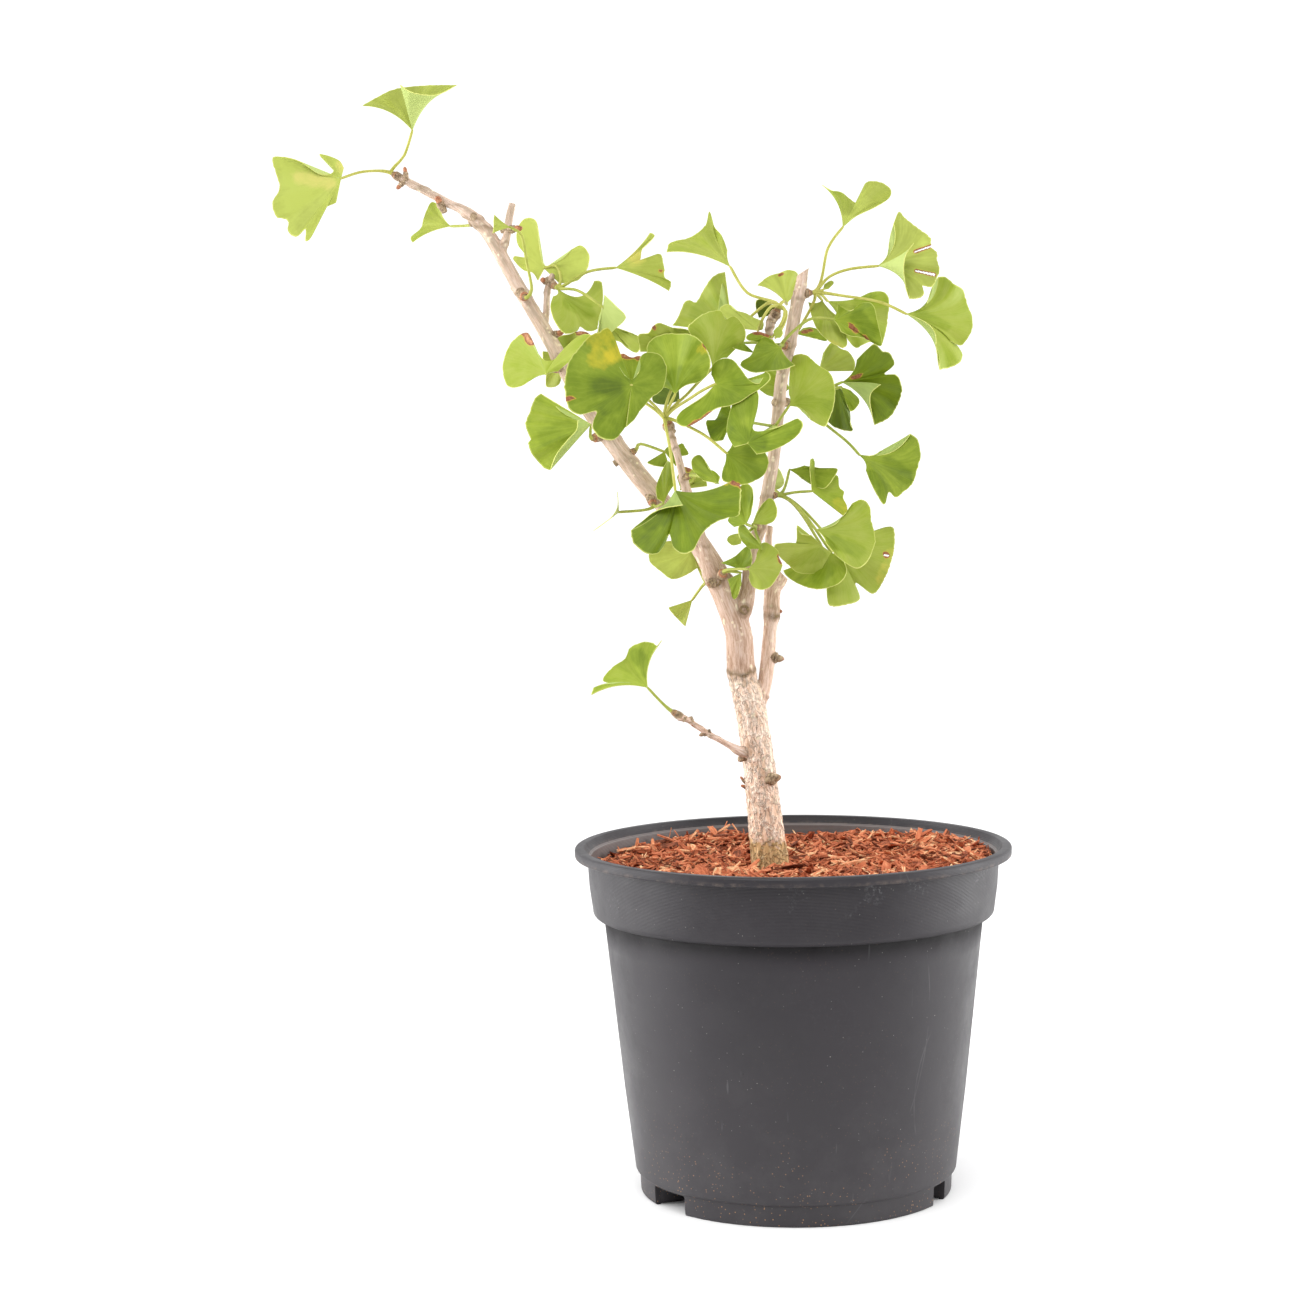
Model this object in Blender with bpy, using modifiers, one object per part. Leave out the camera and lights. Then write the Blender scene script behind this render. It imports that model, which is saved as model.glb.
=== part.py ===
"""A young ginkgo grown as a bonsai, in a plastic nursery pot.

Units are metres, +Z is up, and the finished plant stands on z = 0. The tree was drawn in millimetres on a
front sheet: the upright plane through the pot's axis, with x to the right of the axis and z above the
floor. Each place also has a depth in millimetres, positive away from the viewer. It moves the point along
the line of sight, so the front view keeps its drawing however deep a leaf or branch stands.
"""

import math
import random

import bmesh
import bpy
from mathutils import Matrix, Vector

MM = 0.001

# Driving dimensions of the pot
RIM_DIAMETER = 0.240
POT_HEIGHT = 0.1915
WALL = 0.0021
LIP_HEIGHT = 0.0052
COLLAR_TOP_RADIUS = 0.1118
COLLAR_BOTTOM_RADIUS = 0.1098
COLLAR_BOTTOM_HEIGHT = 0.1535
SHELF_RISE = 0.003
BODY_TOP_RADIUS = 0.1036
BODY_BOTTOM_RADIUS = 0.0886
FOOT_RADIUS = 0.0864
FOOT_WALL = 0.0036
FOOT_HEIGHT = 0.0112
FLOOR_THICKNESS = 0.0024
NOTCH_WIDTH = 0.0205
NOTCH_ANGLES = (-53, 67, 187)
DRAIN_RADIUS = 0.0055
DRAIN_COUNT = 8
TURN_STEPS = 36

# Fill of the pot
TOUCH_GAP = 0.0003
HOLE_GAP = 0.0004
SOIL_TOP = 0.1675
MULCH_EDGE_HEIGHT = 0.1745
MULCH_CROWN = 0.0045
MULCH_RINGS = 7
MULCH_ROUGHNESS = 0.0013
CHIP_COUNT = 80
CHIP_LENGTH = (0.007, 0.018)
CHIP_WIDTH = (0.0025, 0.0055)
CHIP_THICKNESS = (0.0016, 0.0028)
CHIPS_ON_END = 0.12
CHIP_CLEAR_OF_TRUNK = 0.018

# Limbs up to this radius get six sides
THIN_LIMB = 0.0033

# Leaves
BLADE_THICKNESS = 0.0007
STALK_RADIUS = 0.0009
STALK_GRIP = 0.003
STALK_STEP = 0.009
FLAP_LIFT = 0.35
HUB_RADIUS = 0.0021
HUB_HEIGHT = 0.0030
LONG_RIM_STEP = 0.015

# The eye that the front sheet is drawn for
EYE = Vector((-0.077, -1.605, 0.429))

# Routes of the limbs on the front sheet: x, z, depth and radius at each stop, all in millimetres.
# The trunk's route runs on into the long left bough.
LIMBS = {
    "trunk": [(-6, 118, 0, 10), (-7.5, 136, 0, 10.4), (-9.5, 157.5, 0, 10.6), (-12, 178.5, 0, 10.6),
        (-14.5, 199.5, 0, 9.6), (-16.5, 221.5, 0, 9), (-19, 244, 0, 8.7), (-22.5, 268, 0, 8.4),
        (-26, 281.5, 0, 8), (-27, 287.5, 0, 7.9), (-27.5, 293.5, 0, 7.6), (-28.5, 309, 0, 7.4),
        (-34, 326, 0, 7.2), (-39, 338, 2, 7.4), (-45.5, 351, 3, 6.2), (-54.5, 364.5, 6, 5.7),
        (-66.5, 377.5, 9, 5.5), (-78, 390.5, 14, 5.4), (-88, 403.5, 18, 5.3), (-97.5, 416.5, 22, 5.2),
        (-107, 430, 27, 4.9), (-116, 445, 32, 4.7), (-124.5, 461, 34, 4.4), (-131.5, 474, 38, 4.2),
        (-139, 487, 40, 4), (-146.5, 500, 44, 3.9), (-153, 512, 46, 3.8), (-159.5, 524, 50, 3.7),
        (-166, 533, 51, 3.6), (-172.5, 538.5, 52, 3.3), (-178, 541.5, 54, 2.4), (-187.5, 546.5, 56, 2.4),
        (-199.5, 553, 56, 2.3), (-208, 557.5, 56, 2.3), (-210.5, 558.5, 56, 2.6)],
    "stub": [(-156, 515, 48, 3), (-153.5, 520.5, 48, 2.8), (-151.5, 526, 48, 2.3), (-150, 535.5, 48, 2.2),
        (-148, 543.5, 48, 2.1)],
    "twig": [(-133, 475, 39, 2.6), (-131, 481.5, 42, 2), (-130.5, 488.5, 44, 1.9), (-130, 496.5, 45, 1.9),
        (-128, 502, 45, 2.1), (-127, 505.5, 45, 1.2)],
    "shoot": [(-40, 336.5, 0, 5), (-46.5, 355.5, -6, 3.2), (-51.5, 373.5, -12, 2.6), (-56, 387.5, -16, 2.7),
        (-57.5, 393.5, -18, 2.2), (-60.5, 406, -21, 2.1), (-64, 417.5, -26, 2.1), (-65.5, 422.5, -27, 2.6)],
    "leader": [(-29, 314.5, 0, 5.5), (-25, 324, -2, 5.2), (-23, 332, 0, 4.2), (-21.5, 344, 2, 3.9),
        (-20, 355, 2, 3.8), (-16, 366, 2, 3.7), (-13, 378.5, 0, 3.6), (-10.5, 391.5, 0, 3.6),
        (-8, 405, 0, 3.4), (-6.5, 419, 0, 3.4), (-5, 432.5, 0, 3.5), (-3.5, 446, 0, 3.5), (-1, 457, 0, 3.6),
        (1.5, 467.5, 0, 3.7), (4, 480.5, 0, 3.6), (7, 493.5, 0, 3.5), (8.5, 503, 0, 3.3)],
    "cone": [(-3, 448.5, 0, 2.4), (-7, 460.5, -8, 2), (-10, 469.5, -12, 1.9), (-9.5, 475.5, -14, 2.4),
        (-7.5, 481, -15, 2.9)],
    "prong": [(-19, 265, 2, 4), (-15, 277, 4, 3.8), (-13, 289, 6, 4.1), (-12, 300, 8, 3.9),
        (-11, 311, 9, 3.8), (-10, 318.5, 10, 4.6), (-10, 326.5, 12, 4.6), (-9, 333, 14, 4.6),
        (-6, 335, 14, 3.4), (-2.5, 339, 14, 2.8)],
    "strand": [(-10, 330.5, 14, 3.4), (-11, 338.5, 15, 2.6), (-11, 351, 16, 2.2), (-11.5, 359, 16, 2.1),
        (-10.5, 367, 16, 1.9)],
    "lowtwig": [(-24, 240.5, -3, 3.2), (-28.5, 243.5, -6, 2.6), (-36.5, 248, -9, 1.7),
        (-46, 253.5, -12, 1.7), (-56, 260.5, -14, 1.6), (-59, 262, -15, 2), (-62, 263, -15, 2.2)],
}

# Woody spurs that leaves grow from: root, end and radius.
SPURS = {
    "tip": ((-208, 557.5, 56), (-211.5, 559.5, 56), 2.3),
    "joint": ((-169.5, 535.5, 51), (-170, 533, 60), 2.2),
    "bend": ((-146, 496.5, 44), (-142.5, 493, 34.5), 2.6),
    "twig": ((-128.5, 501, 45), (-126, 498.5, 40), 2),
    "bough": ((-124, 461, 34), (-120.5, 462, 42), 2.2),
    "boughface": ((-121.5, 455, 33), (-126.5, 453.5, 27), 2),
    "lowbough": ((-99.5, 418, 22), (-106, 416, 16), 2.4),
    "star": ((-64.5, 420, -26), (-66, 423.5, -28), 2.8),
    "nub": ((-91.5, 404, 18), (-84.5, 408.5, 17), 2),
    "knot": ((-77, 387.5, 14), (-74.5, 380, 5), 2.4),
    "shoot": ((-58, 393.5, -18), (-55, 394.5, -21), 1.7),
    "node": ((-39.5, 337.5, 1), (-36.5, 341.5, -8), 2.6),
    "nodeback": ((-40.5, 336.5, 1), (-44.5, 336.5, 9), 2.4),
    "lowtwig": ((-60, 262.5, -15), (-64, 265, -15), 2),
    "cone": ((-7.5, 479.5, -15), (-5.5, 483.5, -15), 2.6),
    "crotch": ((1, 464.5, 0), (-2, 465, -6), 2.4),
    "top": ((6.5, 492.5, 0), (12, 493, 1), 2.4),
    "backspur": ((-5, 434, 0), (0, 434, 6), 2.2),
    "leftspur": ((-6.5, 420, 0), (-7, 420.5, -6), 2.2),
    "midspur": ((-16, 366.5, 2), (-18, 366.5, -5), 2),
    "rightspur": ((-11.5, 383.5, 0), (-8, 383.5, 0), 2.4),
}

# Closed buds and nubs on the wood: root, tip and radius.
BUDS = [
    ((-205.5, 559.5, 54), (-206, 563, 53), 1.4),
    ((-208, 554.5, 55), (-210, 552.5, 55), 1.5),
    ((-187, 543.5, 54), (-188.5, 546.5, 52), 2.2),
    ((-149, 529.5, 47), (-144, 530, 45), 2.1),
    ((-126, 472.5, 35), (-122.5, 473.5, 33), 1.9),
    ((-131.5, 501.5, 44), (-132.5, 502, 43), 1.8),
    ((-6.5, 294, 8), (-4, 294, 8), 2.6),
    ((-9, 228, 0), (-6, 228.5, 0), 2.6),
    ((-26.5, 225.5, 0), (-28, 225.5, 0), 2),
    ((-27, 240, -4), (-28, 239, -4), 2.6),
    ((-47.5, 253.5, -12), (-50, 252.5, -12), 1.4),
    ((-43, 336, -5), (-44, 335.5, -7), 2.6),
    ((-6.5, 320, 9), (-5, 320, 9), 1.2),
    ((-54.5, 260, -14), (-54, 258, -14), 1.2),
]

# Leaves. The rim runs clockwise, seen with the upper side in front, from one side edge of the fan to
# the other: x, z and, where the blade is waved, extra depth. Lean tips the blade: depth for each mm of x
# and z. A flap is a strip folded over to show the pale underside; it starts at the rim's first or last stop.
LEAVES = {
    "tip_a": dict(spur="tip", base=(-240.5, 558), depth=45, lean=(0.25, 0.25), stalk=[(-228, 561.5)],
        rim=[(-243.5, 545), (-253.5, 539.5), (-257, 527.5), (-260.5, 524.5), (-260.5, 531), (-265.5, 527),
             (-270, 530), (-270, 536), (-276, 538), (-278, 545.5), (-274, 554), (-277.5, 568.5),
             (-272.5, 570), (-263, 567.5), (-251.5, 560), (-244.5, 562.5), (-252, 571), (-242, 568),
             (-239, 563.5)]),
    "tip_b": dict(spur="tip", base=(-201.5, 583), depth=57, lean=(0, 0.1),
        stalk=[(-206, 570)],
        rim=[(-228.5, 596.5, -2), (-219.5, 601.5, 0), (-209.5, 605.5, 4), (-193, 607, 6), (-177, 607, 0)],
        last_flap=[(-186, 602.5, -6), (-194.5, 602, -9), (-202.5, 604, -10), (-207.5, 607.5, -10)]),
    "joint_a": dict(spur="joint", base=(-181.5, 531.5), depth=75, lean=(-0.5, 0.55),
        rim=[(-202.5, 523), (-203.5, 526), (-198, 530.5), (-196, 537), (-192, 544.5), (-187, 542.5)]),
    "stub_a": dict(spur="bend", base=(-149.5, 530.5), depth=33, lean=(0.7, 0),
        stalk=[(-138.5, 497, 33), (-141, 512, 33), (-143.5, 526, 33)],
        rim=[(-159, 527.5), (-158.5, 530.5), (-158.5, 534), (-158, 537.5)]),
    "twig_a": dict(spur="twig", base=(-131.5, 508), depth=51, lean=(-0.55, 0.25),
        stalk=[(-122.5, 501.5, 38), (-125, 509.5, 46)],
        rim=[(-135, 501.5), (-138, 506), (-143, 507.5), (-148, 513), (-147.5, 515), (-141, 514.5),
             (-145.5, 521), (-146, 528), (-143, 534), (-138.5, 535.5), (-135, 532.5), (-134, 521),
             (-131.5, 510), (-122.5, 512.5), (-115, 519), (-110.5, 520), (-107, 515), (-108, 508),
             (-113.5, 501.5), (-123.5, 500)]),
    "twig_b": dict(spur="twig", base=(-93, 508), depth=36, lean=(0.5, 0.3),
        stalk=[(-108, 506)],
        rim=[(-74, 526.5, 6), (-71.5, 524.5, 6), (-78, 518, 3), (-79.5, 512, 0), (-83.5, 509, 0),
             (-75.5, 512.5, 0), (-68.5, 515, 0), (-66.5, 507.5), (-66.5, 502.5), (-63, 500), (-64, 495)]),
    "twig_c": dict(spur="twig", base=(-125, 497.5), depth=36, lean=(0.5, 0.55),
        rim=[(-104.5, 501), (-100.5, 500), (-100, 489), (-102.5, 480), (-103.5, 475), (-108.5, 474),
             (-112.5, 476.5), (-114.5, 474), (-121, 473), (-126, 479), (-128.5, 487), (-127, 493)]),
    "twig_d": dict(spur="twig", base=(-100, 487), depth=21, lean=(-0.55, -0.5), stalk=[(-113.5, 496)],
        rim=[(-102, 481), (-103, 474), (-98.5, 473), (-92, 470.5), (-87, 471.5), (-87.5, 477),
             (-88.5, 482.5), (-94.5, 490), (-99, 493.5)]),
    "bough_a": dict(spur="boughface", base=(-131.5, 451), depth=18, lean=(-0.55, 0.2),
        rim=[(-140.5, 447.5), (-146, 444.5), (-152.5, 445), (-155, 454.5), (-152.5, 464), (-147.5, 471),
             (-141, 473.5), (-137.5, 465.5), (-132, 458.5), (-126, 459.5), (-121, 464), (-113, 471.5),
             (-106.5, 471.5), (-110.5, 464), (-119.5, 457), (-125, 452.5)]),
    "bough_b": dict(spur="bough", base=(-119.5, 455.5), depth=54, lean=(0.55, -0.45),
        rim=[(-129, 463), (-126.5, 470.5), (-118.5, 472.5), (-112.5, 474), (-107, 472), (-106.5, 464),
             (-111, 457.5)]),
    "bough_c": dict(spur="bough", base=(-120.5, 462), depth=63, lean=(0.55, 0.25),
        rim=[(-121, 455), (-124, 450), (-124, 446), (-127, 444), (-131.5, 444.5), (-131.5, 452),
             (-133, 459), (-133, 463.5)]),
    "bough_d": dict(spur="bough", base=(-96.5, 477), depth=33, lean=(-0.35, 0.35),
        rim=[(-87, 473.5), (-80.5, 470.5), (-79.5, 466), (-82, 462), (-87, 464.5), (-91, 468), (-95.5, 469)]),
    "fork_a": dict(spur="lowbough", base=(-107.5, 423.5), depth=12, lean=(-0.3, 0.25),
        rim=[(-130, 399, -1), (-133, 400), (-139, 406.5), (-142, 413.5), (-140.5, 415.5), (-143, 424),
             (-140.5, 431), (-138, 437.5), (-134.5, 440.5)],
        first_flap=[(-126.5, 407.5, -5), (-120.5, 415, -7), (-115.5, 420.5, -7), (-114.5, 426, -6)],
        last_flap=[(-129.5, 437), (-123.5, 430.5), (-116.5, 426.5)]),
    "star_a": dict(spur="star", base=(-85, 444.5), depth=-51, lean=(0.3, 0.55),
        rim=[(-87, 425), (-92, 415.5), (-99.5, 415.5), (-105.5, 421), (-106, 426), (-103.5, 430.5),
             (-113.5, 429), (-119.5, 432.5), (-121.5, 441.5), (-121, 450), (-118.5, 458.5), (-113, 465.5),
             (-107.5, 471.5), (-102, 473.5), (-97.5, 475.5), (-94, 470), (-92, 462.5), (-91.5, 454),
             (-85.5, 447.5), (-80, 452.5), (-80, 460), (-74.5, 462.5), (-69.5, 458), (-67, 450.5),
             (-68.5, 443), (-72, 439), (-78, 436), (-82, 430)]),
    "star_b": dict(spur="star", base=(-84, 439), depth=-27, lean=(0.55, 0.35),
        rim=[(-92.5, 444.5), (-93.5, 454.5), (-90.5, 461.5), (-85, 459.5), (-80, 460), (-76, 456),
             (-75, 446)]),
    "star_c": dict(spur="star", base=(-61.5, 439), depth=-34, lean=(-0.55, 0.2),
        rim=[(-72.5, 443), (-75, 452.5), (-76.5, 462), (-75, 468), (-68.5, 471.5), (-59.5, 472),
             (-53, 471.5), (-47.5, 468), (-43.5, 462), (-42, 455.5), (-44, 449), (-49.5, 445)]),
    "star_d": dict(spur="star", base=(-59, 436), depth=-20, lean=(-0.45, -0.5),
        rim=[(-65.5, 433.5), (-72, 434.5), (-74, 437.5), (-71, 444.5), (-65.5, 448.5), (-61.5, 446.5),
             (-59.5, 441.5)]),
    "star_e": dict(spur="star", base=(-41, 453), depth=-26, lean=(0.55, 0.1),
        stalk=[(-53.5, 440.5)],
        rim=[(-51.5, 469.5), (-54, 475), (-51, 478.5), (-45.5, 482.5), (-40, 484), (-36, 484),
             (-33.5, 479.5), (-30, 481), (-26.5, 479.5), (-23, 473.5), (-23.5, 467.5), (-28, 463.5),
             (-33, 458.5)]),
    "star_f": dict(spur="star", base=(-53, 462), depth=-15, lean=(0.1, -0.45),
        rim=[(-80, 462.5), (-81, 471.5), (-75.5, 472.5), (-73, 476), (-69.5, 478), (-63, 475.5), (-54, 474),
             (-47.5, 469.5)]),
    "star_g": dict(spur="star", base=(-39.5, 444.5), depth=-40, lean=(-0.5, 0.55),
        stalk=[(-51.5, 438)],
        rim=[(-41.5, 449.5), (-40.5, 455), (-36, 458), (-30, 457.5), (-25.5, 452.5), (-21, 446.5),
             (-15.5, 444.5), (-11.5, 450.5), (-9.5, 447), (-14.5, 442), (-21, 438), (-25.5, 435),
             (-32, 432.5), (-39.5, 431), (-48, 425), (-56, 421.5), (-61, 424.5), (-58, 430), (-49.5, 435.5)]),
    "star_h": dict(spur="star", base=(-34, 407), depth=-45, lean=(0.45, 0.55),
        stalk=[(-48.5, 418.5)],
        rim=[(-29.5, 415.5), (-20, 414), (-13, 407), (-11, 401), (-13, 395.5), (-17.5, 392), (-24.5, 389.5),
             (-32.5, 390.5), (-36.5, 393), (-35.5, 399)]),
    "star_i": dict(spur="star", base=(-62, 387), depth=-63, lean=(-0.25, 0.5),
        stalk=[(-64.5, 409)],
        rim=[(-30.5, 392), (-26.5, 388.5), (-26.5, 381), (-27.5, 373), (-34, 371.5), (-42.5, 368),
             (-48.5, 361.5), (-52.5, 354.5), (-58.5, 352.5), (-63.5, 356), (-65.5, 363), (-69, 356.5),
             (-73, 352.5), (-79, 353), (-85.5, 359), (-86.5, 365.5)],
        last_flap=[(-79, 371.5), (-74.5, 375, -2), (-67.5, 377.5, -5), (-58, 379, -7)]),
    "nub_a": dict(spur="nub", base=(-67.5, 408), depth=8, lean=(0.35, 0.55), stalk=[(-80.5, 412.5)],
        rim=[(-65, 399.5), (-73, 400.5), (-77, 402.5), (-70.5, 404.5), (-66, 410.5), (-61, 409.5),
             (-58, 412.5), (-56.5, 410.5), (-54.5, 406.5), (-59.5, 405), (-61.5, 400)]),
    "knot_a": dict(spur="knot", base=(-93, 375.5), depth=-3,
        rim=[(-107, 365.5, 0), (-100.5, 370, -10), (-96, 374, -16), (-93.5, 379, -12), (-93.5, 386.5, 0)]),
    "knot_b": dict(spur="knot", base=(-68.5, 380), depth=-8, lean=(0.55, 0.45),
        rim=[(-72, 382.5), (-72.5, 388.5), (-70.5, 394.5), (-68, 400), (-65.5, 403), (-63, 398),
             (-62.5, 390)]),
    "shoot_a": dict(spur="shoot", base=(-38.5, 390.5), depth=-40, lean=(-0.2, 0.45),
        rim=[(-46.5, 392), (-52, 397.5), (-53, 403), (-51, 405.5), (-48.5, 406), (-46, 403.5),
             (-43.5, 398.5), (-40.5, 397), (-37.5, 394)]),
    "shoot_b": dict(spur="shoot", base=(-59, 387.5), depth=-8, lean=(-0.3, 0.55),
        stalk=[(-51.5, 395.5, -20), (-52.5, 391.5, -9)],
        rim=[(-61, 394), (-57.5, 399.5), (-51.5, 397.5), (-45.5, 392.5), (-44.5, 389)]),
    "node_a": dict(spur="node", base=(-23, 343.5), depth=-27, lean=(-0.2, 0.55),
        rim=[(-18, 351.5), (-15, 357.5), (-11, 357), (-6, 353), (-6, 350), (-4, 345), (-7, 338.5),
             (-11, 333.5), (-16, 332), (-20.5, 334), (-22.5, 339)]),
    "node_b": dict(spur="node", base=(-27, 343.5), depth=-14, lean=(-0.55, -0.25),
        rim=[(-37.5, 347), (-30, 350.5), (-23, 356), (-20.5, 350.5), (-21, 345.5)]),
    "node_c": dict(spur="node", base=(-26.5, 341.5), depth=-13, lean=(-0.55, -0.25),
        rim=[(-26.5, 335.5), (-29, 328), (-31.5, 327.5), (-32.5, 333), (-34, 338)]),
    "back_a": dict(spur="nodeback", base=(-53, 353.5), depth=20, lean=(-0.35, 0.55),
        rim=[(-50.5, 344.5), (-57, 340.5), (-64.5, 338.5), (-70, 342.5), (-76, 347.5), (-76.5, 353.5),
             (-71, 358.5), (-62, 359.5)]),
    "back_b": dict(spur="nodeback", base=(-53.5, 327), depth=22, lean=(0.35, 0.2),
        rim=[(-57.5, 312.5), (-61.5, 316.5), (-65.5, 321), (-66.5, 323)]),
    "low_a": dict(spur="lowtwig", base=(-78.5, 279), depth=-15, lean=(-0.45, 0.55),
        rim=[(-109.5, 275.5), (-108, 279.5), (-103.5, 281), (-98.5, 281.5), (-103, 283.5), (-98, 290.5),
             (-91, 295), (-88, 301), (-82, 304), (-76, 304), (-73, 302), (-70.5, 305)]),
    "cone_a": dict(spur="cone", base=(-30.5, 507.5), depth=-3, lean=(-0.2, 0.55),
        stalk=[(-21.5, 493.5)],
        rim=[(-65, 516), (-63, 521), (-54.5, 523), (-47.5, 526.5), (-43.5, 531), (-41.5, 537.5),
             (-39, 529.5), (-35, 524.5), (-32, 516.5)]),
    "cone_b": dict(spur="cone", base=(-29.5, 472), depth=2, lean=(-0.3, 0.25),
        stalk=[(-11, 487.5, -10)],
        rim=[(-62.5, 476.5), (-59.5, 480.5), (-56, 488), (-53, 490), (-49, 489), (-44, 497.5), (-39.5, 503),
             (-33.5, 505)],
        last_flap=[(-36, 495), (-37.5, 484.5)]),
    "cone_c": dict(spur="cone", base=(0, 487), depth=14, lean=(0.45, 0.35),
        rim=[(-16, 497.5), (-12.5, 500.5), (-9.5, 502.5), (-4, 504), (0.5, 505.5), (5.5, 504), (6, 497.5),
             (4.5, 490.5)]),
    "cone_d": dict(spur="cone", base=(-4.5, 482), depth=4, lean=(0.25, -0.5),
        rim=[(-15.5, 480), (-17, 485.5), (-16.5, 489.5), (-12.5, 489.5), (-9, 487.5), (-5.5, 484.5)]),
    "cone_e": dict(spur="cone", base=(-16, 473), depth=-12, lean=(-0.35, 0.35),
        stalk=[(-8.5, 486, -21), (-13, 480, -20)],
        rim=[(-27, 474.5), (-35.5, 482.5), (-36, 486), (-31.5, 487.5), (-28.5, 484.5), (-22.5, 482.5),
             (-18, 480), (-13, 477.5), (-13.5, 473.5)]),
    "cone_f": dict(spur="cone", base=(-8, 469.5), depth=-18, lean=(0.5, 0.2),
        stalk=[(-1.5, 484.5, -20), (-2.5, 478, -22)],
        rim=[(-15, 467), (-21.5, 468), (-22, 470.5), (-16.5, 472.5), (-11.5, 471)]),
    "cone_g": dict(spur="cone", base=(-6.5, 469), depth=-24, lean=(-0.55, 0.5),
        stalk=[(-0.5, 483, -18), (-2, 476, -20)],
        rim=[(-7.5, 472.5), (-5, 475), (-3, 473.5), (-2.5, 471), (-4, 469)]),
    "crotch_a": dict(spur="crotch", base=(-3.5, 464), depth=-30, lean=(-0.45, 0.55),
        rim=[(4, 454, 2), (-2, 452), (-10.5, 451), (-19, 450.5), (-25, 453.5), (-25, 456.5), (-20, 459.5),
             (-17, 465.5), (-13, 469.5), (-8, 468)]),
    "crotch_b": dict(spur="crotch", base=(-24, 466.5), depth=-18, lean=(0.3, 0.55),
        stalk=[(-9, 465.5, -18), (-16, 466.5, -16)],
        rim=[(-18, 461), (-23.5, 462), (-30, 464)]),
    "crotch_c": dict(spur="crotch", base=(25, 478.5), depth=-3, lean=(0.55, 0.3),
        stalk=[(11.5, 478.5)],
        rim=[(27.5, 487), (34, 483), (40.5, 487), (46.5, 486), (49.5, 475), (51, 464), (42, 468),
             (34, 469.5), (29, 472)]),
    "top_a": dict(spur="top", base=(49.5, 507), depth=-6, lean=(-0.2, 0.55),
        stalk=[(23, 501.5), (34, 505.5)],
        rim=[(58, 529.5), (61, 536), (64, 533), (68, 529.5), (73.5, 525.5), (78, 521.5), (78.5, 517),
             (81.5, 514), (81.5, 510), (83, 504.5), (81.5, 500.5), (78.5, 495.5), (73.5, 496), (74.5, 492),
             (72, 489.5), (66.5, 489, -1)],
        first_flap=[(56, 522), (55, 514.5)],
        last_flap=[(64.5, 495, -5), (63.5, 504.5, -8), (64.5, 512.5, -8), (69, 519, -7)]),
    "top_b": dict(spur="top", base=(64.5, 481), depth=-18, lean=(0.5, 0.2),
        stalk=[(31.5, 491), (50.5, 487.5)],
        rim=[(82, 500.5), (86, 500.5), (91, 496.5), (95.5, 493.5), (97.5, 486.5), (100.5, 478), (99.5, 470),
             (94.5, 463.5), (88.5, 466), (94.5, 460), (94, 455), (89.5, 452), (82.5, 450.5, -1)],
        first_flap=[(78.5, 494.5), (76, 486)],
        last_flap=[(81, 461, -4), (80.5, 469.5, -6), (78, 474, -6)]),
    "top_c": dict(spur="top", base=(30.5, 528), depth=9, lean=(0.1, 0.55),
        stalk=[(22.5, 517)],
        rim=[(19.5, 551), (24.5, 548), (29.5, 547), (33.5, 544), (37, 541.5), (41, 540), (42, 548),
             (43.5, 552), (48.5, 552.5), (54, 550.5), (57, 547), (55.5, 543), (48, 538.5), (40, 535)]),
    "top_d": dict(spur="top", base=(19.5, 494.5), depth=0, lean=(0, 0.55),
        rim=[(20.5, 497.5), (24, 499.5), (25.5, 498), (22.5, 495)]),
    "top_e": dict(spur="top", base=(19, 489), depth=10, lean=(0.1, 0.55),
        rim=[(30, 479), (32.5, 466.5), (30.5, 463), (25.5, 465), (21, 468), (16.5, 473), (13.5, 479.5),
             (11.5, 488)]),
    "top_f": dict(spur="top", base=(22, 488.5), depth=22, lean=(0.5, -0.25),
        rim=[(39.5, 490), (46, 493), (52.5, 493), (55, 489.5), (55, 482), (53.5, 472.5), (51, 464.5),
             (44.5, 466), (37.5, 463), (33.5, 466.5), (30, 472.5)]),
    "top_g": dict(spur="top", base=(5, 471), depth=14, lean=(0.55, 0.55),
        rim=[(8.5, 474), (12.5, 474.5), (17.5, 472.5), (21.5, 467), (13, 469)]),
    "back_c": dict(spur="backspur", base=(29.5, 444.5), depth=3, lean=(-0.25, -0.5),
        rim=[(37.5, 456.5), (42.5, 461.5), (47.5, 465), (51.5, 461), (55.5, 460), (58, 454), (52.5, 448.5),
             (59, 448), (62, 442), (61, 435.5), (58.5, 430), (54.5, 424.5), (47, 421)],
        last_flap=[(45, 430.5, -4), (45, 438, -6), (50.5, 443, -7)]),
    "back_d": dict(spur="backspur", base=(17, 450.5), depth=30, lean=(0.1, 0.55),
        rim=[(19.5, 460.5), (24, 466), (29, 462.5), (33, 461), (36.5, 455.5), (36, 450.5)]),
    "back_e": dict(spur="backspur", base=(38.5, 405), depth=0, lean=(0.05, 0.55),
        stalk=[(28, 415.5)],
        rim=[(66.5, 416), (70.5, 412.5), (72, 404.5), (70, 396), (67, 388.5), (62, 384), (58, 381.5),
             (54.5, 384.5), (52, 377.5), (48, 383), (44.5, 390), (42, 396.5)],
        first_flap=[(60.5, 412.5), (49.5, 406.5)]),
    "back_f": dict(spur="backspur", base=(26.5, 443), depth=26, lean=(-0.45, -0.5),
        rim=[(31.5, 439), (33.5, 430.5), (34, 421.5), (35, 418), (28, 419), (22, 423), (20.5, 432)]),
    "back_g": dict(spur="backspur", base=(29, 442), depth=16, lean=(-0.1, 0.45),
        rim=[(34, 440), (39, 434), (34.5, 428.5), (32, 432.5)]),
    "back_h": dict(spur="backspur", base=(1, 441.5), depth=18, lean=(-0.5, -0.5),
        rim=[(-6, 436.5), (-12, 438.5), (-16.5, 443.5), (-12.5, 450.5), (-5.5, 453)]),
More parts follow.
